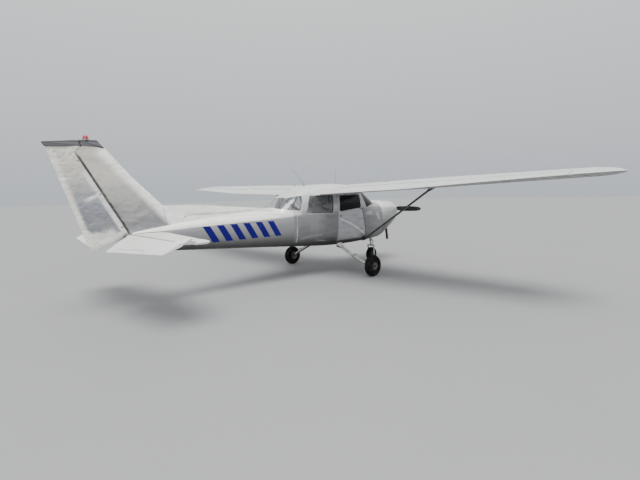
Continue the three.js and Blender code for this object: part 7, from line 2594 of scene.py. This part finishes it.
def makeRivets():
    spots = []
    for station in seams["tail"]:
        for shift in (-10, 10):
            for p in bodyRing(station + shift, 0, 11):
                near = outerTree.find_nearest(p)
                spots.append((near[0] + near[1] * seams["skinRise"] / 1000, near[1]))
    for share in seams["stringers"]:
        for x in spread(-3190, -5850, seams["pitch"]):
            bottom, top, wide = (bodyCurves[k](x) for k in (0, 1, 3))
            z = wide + share * ((top - wide) if share > 0 else (wide - bottom))
            spots += [onSkin(x, z, side) for side in (-1, 1)]
    rivets("tailRivets", "airframe", "bare_skin",
           [s for s in spots if not (abs(s[0].y) < 0.055 and s[0].z > 1.2)])
    spots = []
    doorEdge = grown(rounded(doorOpening, lines["doorCorner"]), lines["doorGap"] + 14)
    for side in (-1, 1):
        spots += [onSkin(x, z, side) for x, z in along(doorEdge, seams["pitch"]) if 705 < z < 1400]
        for x, low, high, _ in seams["cabin"]:
            for shift in (-8, 8):
                spots += [onSkin(x + shift, z, side) for z in
                          spread(low + 10, high - 10, seams["threadPitch"])]
        for z in (745, 1330):
            spots += [onSkin(x, z, side) for x in spread(-1760, -2860, seams["pitch"])
                      if z < 1000 or not -2600 < x < -1800]
        spots += [onSkin(x, z, side) for z in (760, 1100, 1385) for x in spread(-30, -640, seams["pitch"])]
        spots += [onSkin(-26, z, side) for z in spread(760, 1380, seams["pitch"])]
    rivets("cabinRivets", "airframe", "bare_skin", spots)
    for side, label in sides:
        edge = grown(rounded(lines["door"], lines["doorCorner"]), -16)
        path = [p for p in along(edge, seams["pitch"]) if p[1] < 1395]
        rivets(f"doorRivets.{label}", f"door_{label}", "bare_skin",
               [onSkin(x, z, side) for x, z in path])
        skin = treeOf(f"wingSkin.{label}")
        spots, places = [], []
        for y in ribs["wing"]:
            last = 0.69 if y < wing["taper"] else 0.74
            places += [(y, f) for f in spread(0.05, last, 45 / wingStation(y)["chord"])]
        places += [(y, f) for f in (0.05, 0.3, 0.665) for y in spread(620, 5080, 62)]
        for y, f in places:
            station = wingStation(y)
            x = station["lead"] - f * station["chord"]
            for start, down in ((3000, -1), (1000, 1)):
                spots += struck(skin, [point(x, side * y, start)], (0, 0, down))
        rivets(f"wingRivets.{label}", "airframe", "painted_skin", spots)
    skin = treeOf("finSkin")
    starts = []
    for z in ribs["fin"]:
        lead = rowValue(tail["finRows"], z, 1)
        starts += [(x, z) for x in spread(lead - 40, finRear(z) + 18, 40)]
    for z in spread(1320, 2440, 34):
        lead = rowValue(tail["finRows"], z, 1)
        starts += [(finRear(z) + 26, z), (lead - 46, z), (0.5 * (lead + finRear(z)), z)]
    rivets("finRivets", "airframe", "painted_skin", struckFromSides(skin, starts))
    skin = treeOf("rudderSkin")
    starts = [(rudderHingeAt(z) - 34, z) for z in spread(1120, 2350, 30)]
    starts += [(rudderHingeAt(z) - 190, z) for z in spread(1840, 2330, 30)]
    for z in ribs["rudder"]:
        starts += [(x, z) for x in spread(rudderHingeAt(z) - 40, rudderTrailAt(z) + 50, 36)]
    starts += [(rudderTrailAt(z) + 22, z) for z in spread(1060, 2420, 40)]
    rivets("rudderRivets", "rudder", "painted_skin", struckFromSides(skin, starts), "marks", 0.0048,
           0.0016)
    skin = treeOf("stabiliserSkin")
    starts = []
    for y in spread(-1640, 1640, 205):
        lead = levelLead(y)
        starts += [(x, y) for x in spread(lead - 45, stabiliserRear(min(abs(y), 1500)) + 24, 40)]
    for y in spread(-1500, 1500, 52):
        starts += [(stabiliserRear(y) + 26, y), (levelLead(y) - 45, y)]
    spots = []
    for start, down in ((2000, -1), (400, 1)):
        places = [point(x, y, start) for x, y in starts if abs(y) > 70]
        spots += struck(skin, places, (0, 0, down))
    rivets("stabiliserRivets", "airframe", "painted_skin", spots)
    spots = []
    for name in ("cowlSkin.upper", "cowlSkin.lower"):
        skin = treeOf(name)
        z = cowl["split"] + (20 if name.endswith("upper") else -20)
        for side in (-1, 1):
            spots += struck(skin, [point(x, side * 900, z) for x in spread(50, 900, 94)],
                            (0, -side, 0))
            heights = spread(cowl["split"] + 40, 1480, 70) if name.endswith("upper") else \
                spread(760, cowl["split"] - 50, 85)
            spots += struck(skin, [point(20, side * 900, h) for h in heights], (0, -side, 0))
    rivets("cowlFasteners", "airframe", "bare_skin", spots, "steel", 0.0075, 0.0018)


makeRivets()
print("seams, bars and rivets are made")

doorHinges = [(-745, 518, 850, 12), (-862, 556, 1410, 38)]
baggageHinges = [(-2357, 484, 960, 32), (-2357, 484, 1235, 30)]
hingeReach, hingeHalf, hingeFit = 62, 4, 1


def sideHingeFrame(row, axis, side):
    return hingeFrame(point(row[0], side * row[1], row[2]), axis, (1, 0, 0))


def fixedLug(row, axis, side):
    place = sideHingeFrame(row, axis, side)
    foot = framed(plainBlock(0.45 * hingeReach, hingeReach, -hingeHalf, hingeHalf,
                             *sorted((0, side * row[3]))), place)
    return joined(hingeLug(place, hingeReach), foot)


def movingStrap(row, axis, side):
    place = sideHingeFrame(row, axis, side)
    low, high = hingeHalf + hingeFit, 3 * hingeHalf + hingeFit
    eye, pin = hinge["eye"] / 1000, hinge["pin"] / 1000
    parts = [rod((0, low / 1000, 0), (0, high / 1000, 0), eye, 20),
             rod((0, -0.005, 0), (0, high / 1000, 0), pin, 14),
             plainBlock(-hingeReach, 0, low, high, -0.8 * hinge["eye"], 0.8 * hinge["eye"]),
             plainBlock(-hingeReach, -0.45 * hingeReach, low, high, *sorted((0, side * row[3])))]
    return framed(joined(*parts), place)


def makeSideHinges():
    for side, label in sides:
        low, high = doorHinges
        axis = Vector((high[0] - low[0], side * (high[1] - low[1]), high[2] - low[2]))
        lugs = [fixedLug(row, axis, side) for row in doorHinges]
        if side > 0:
            lugs += [fixedLug(row, (0, 0, 1), side) for row in baggageHinges]
        build(f"hingeLugs.{label}", joined(*lugs), "marks", "airframe", "bare_skin")
        flush = sideHingeFrame(low, axis, side)
        skin = bpy.data.objects[f"doorSkin.{label}"]
        carve(skin, hingeSlot(flush))
        sharpen(skin, 30)
        build(f"doorHinge.{label}", joined(movingStrap(high, axis, side), hingePin(flush)), "marks",
              f"door_{label}", "bare_skin")
    straps = [movingStrap(row, (0, 0, 1), 1) for row in baggageHinges]
    build("hatchHinges", joined(*straps), "steel", "baggage_door", "bare_skin")


makeSideHinges()


def handleShape(x, z, side, length):
    base, out = onSkin(x, z, side)
    grip = tube([base + out * 0.004 + Vector((length / 2000, 0, 0)), base + out * 0.016
                 + Vector((length / 2400, 0, 0)), base + out * 0.018,
                 base + out * 0.016 - Vector((length / 2400, 0, 0)),
                 base + out * 0.012 - Vector((length / 2000, 0, 0))], 0.006, 12)
    plate = stacked(base, out, ((-0.002, 0.024), (0.003, 0.024), (0.005, 0.02)), 24)
    return joined(grip, plate)


# Dark strips in the stabiliser's rear gap and along its root, painted shade where those gaps fall dark,
# and the seam ahead of the fin
def makeTailGapShadeAndSeam():
    z = level["height"]
    shapes = []
    for side in (-1, 1):
        rows = []
        for y in spread(70, level["hornInner"] - 20, 120):
            share = y / level["tip"]
            half = level["rootHalf"] + (level["tipHalf"] - level["rootHalf"]) * share
            rear = stabiliserRear(y)
            rows.append([point(rear + 14, side * y, z + half * 0.84 + 1.6),
                         point(rear + 0.5, side * y, z + half * 0.82 + 1.6),
                         point(rear + 0.5, side * y, z + half * 0.6),
                         point(rear + 14, side * y, z + half * 0.6)])
        shapes.append(loft(rows))
    skin = treeOf("stabiliserSkin")
    for side in (-1, 1):
        top = struck(skin, [point(x, side * (skinY(x, z + 40) + 3), 2000)
                            for x in spread(-5400, -5880, 60)], (0, 0, -1))
        shapes.append(tube([p + Vector((0, 0, 0.001)) for p, _ in top], 0.007, 8))
    # These dark strips stand in for the shade in the tail's gaps
    build("tailSeals", joined(*shapes), "seal", "airframe", "painted_skin")
    skin = treeOf("finSkin")
    starts = [(-5352 - 0.11 * (h - 1306), h) for h in spread(1290, 1575, 24)]
    threads = [tube([p for p, _ in struck(skin, [point(x, side * 600, h) for x, h in starts],
                                          (0, -side, 0))], 0.0035, 6) for side in (-1, 1)]
    build("finSeam", joined(*threads), "seal", "airframe", "painted_skin")


makeTailGapShadeAndSeam()


def makeHandles():
    for side, label in sides:
        build(f"doorHandle.{label}", handleShape(-1600, 1272, side, 110), "steel", f"door_{label}",
              "bare_skin")
        low, out = onSkin(-1600, 1215, side)
        lock = stacked(low, out, ((-0.002, 0.011), (0.002, 0.011), (0.003, 0.008)), 20)
        build(f"doorLock.{label}", lock, "chrome", f"door_{label}", "bare_skin")
        rest = roundedBox(-1500, -1180, side * 468, side * 490, 1195, 1222, 9)
        build(f"armRest.{label}", rest, "black", f"door_{label}", "interior_plastic")
    build("hatchHandle", handleShape(-2740, 1100, 1, 70), "steel", "baggage_door", "bare_skin")


makeHandles()


def domeAt(centre, axis, radius, height):
    arc = [(radius * math.cos(t), height * math.sin(t)) for t in np.linspace(0, math.pi / 2, 9)[:-1]]
    return turned([(0, -2), (radius, -2), *arc, (0, height)], centre, axis, 24)


# Stations, sides and heights of the antennas, caps and lamps
fittings = {"whip": (-1185, -1181, 2314), "tail": [(-2205, 0, 1926), (-2222, 0, 1984), (-2561, 0, 2289)],
            "fuelCap": (-1169, 1450), "tipLamp": (5440, 5442), "lampSize": (17, 30),
            "drains": (650, 1300, 1950, 2450), "drainAt": 0.45,
            "pitot": [(-890, 3105, 1885), (-872, 3105, 1842), (-840, 3105, 1829), (-690, 3105, 1829)],
            "pitotRadii": [0.013, 0.012, 0.010, 0.007], "rootFairing": (-26, 30),
            "capRows": ((-0.004, 0.056), (0.004, 0.056), (0.008, 0.05), (0.0085, 0.03),
                        (0.013, 0.026))}


def makeTopFittings():
    footX, topX, topZ = fittings["whip"]
    whipFoot = treeOf("wingMiddle").ray_cast(point(footX, 0, 3000), Vector((0, 0, -1)))[0]
    top = point(topX, 0, topZ)
    pieces = [turned([(0, -6), (26, -6), (22, 6), (9, 26), (0, 26)], whipFoot, (0, 0, 1), 28),
              tube([whipFoot + Vector((0, 0, 0.02)), whipFoot.lerp(top, 0.5), top],
                   [0.0045, 0.0036, 0.0026], 10)]
    foot, bend, tip = (point(*p) for p in fittings["tail"])
    pieces += [turned([(0, -12), (24, -12), (20, 8), (8, 26), (0, 26)], foot, (0, 0, 1), 28),
               tube([foot + Vector((0, 0, 0.02)), bend - Vector((0, 0, 0.01)), bend,
                     bend.lerp(tip, 0.1), tip], [0.0075, 0.007, 0.006, 0.004, 0.0026], 10)]
    build("antennas", joined(*pieces), "whip", "airframe", "painted_skin")
    for side, label in sides:
        skin = treeOf(f"wingSkin.{label}")
        capX, capY = fittings["fuelCap"]
        cap = struck(skin, [point(capX, side * capY, 3000)], (0, 0, -1))
        shapes = [stacked(place, out, fittings["capRows"], 36) for place, out in cap]
        build(f"fuelCap.{label}", joined(*shapes), "hub", "airframe", "bare_skin")
        sectionY, lampY = fittings["tipLamp"]
        x, z = sectionPoint(tipStation(sectionY)[0], 0.02, 0)
        lamp = domeAt(point(x - 8, side * lampY, z + 4), (0.85, side * 0.5, 0), *fittings["lampSize"])
        build(f"tipLamp.{label}", lamp, "red" if side > 0 else "green", "airframe", "beacon_lens")
        drains = [(wingStation(y), y) for y in fittings["drains"]]
        spots = struck(skin, [point(station["lead"] - fittings["drainAt"] * station["chord"],
                                    side * y, 1000) for station, y in drains], (0, 0, 1))
        rivets(f"drainCaps.{label}", "airframe", "bare_skin", spots, "steel", 0.016, 0.004)
        station = wingStation(wing["root"])
        loop = [sectionPoint(station, f, (sectionHeights(f)[face] + lift) * station["chord"])
                for face, lift, fs in ((0, 0.001, np.linspace(0, 1, 24)),
                                       (1, -0.001, np.linspace(1, 0, 24)[1:-1])) for f in fs]
        strip = sidePrism(loop, *(side * (wing["root"] + step) for step in fittings["rootFairing"]))
        build(f"rootFairing.{label}", strip, "wing", "airframe", "painted_skin", sharpAngle=30)
    pitot = tube([point(*p) for p in fittings["pitot"]], fittings["pitotRadii"], 16)
    build("pitotTube", pitot, "steel", "airframe", "bare_skin")


makeTopFittings()


def makeNoseFittings():
    intake = roundedBox(938, 972, -70, 70, 1130, 1168, 10)
    build("airFilter", intake, "black", "airframe", "bare_skin")
    skin = treeOf("cowlSkin.upper")
    edge = along([(330, -190), (520, -190), (520, -330), (330, -330)], 24)
    top = struck(skin, [point(x, y, 3000) for x, y in edge], (0, 0, -1))
    strip = tube([p + n * 0.0012 for p, n in top], 0.0022, 6, loop=True)
    build("oilDoorEdge", strip, "seal", "airframe", "bare_skin")
    kneeX, kneeZ = kneeAt()
    parts = [rod(point(steeringAt(590) + 30, side * 15, 594), point(kneeX, side * 14, kneeZ + 4),
                 0.006, 12) for side in (-1, 1)]
    parts.append(crossRod(steeringAt(596) + 34, -22, 22, 596, 0.0075, 16))
    build("torqueLinkUpper", joined(*parts), "silver", "airframe", "nose_leg_metal")


makeNoseFittings()
print("hinges, handles, lights and antennas are made")

for spare in (fuselageForm, cabinTube, glassTube):
    discard(spare)
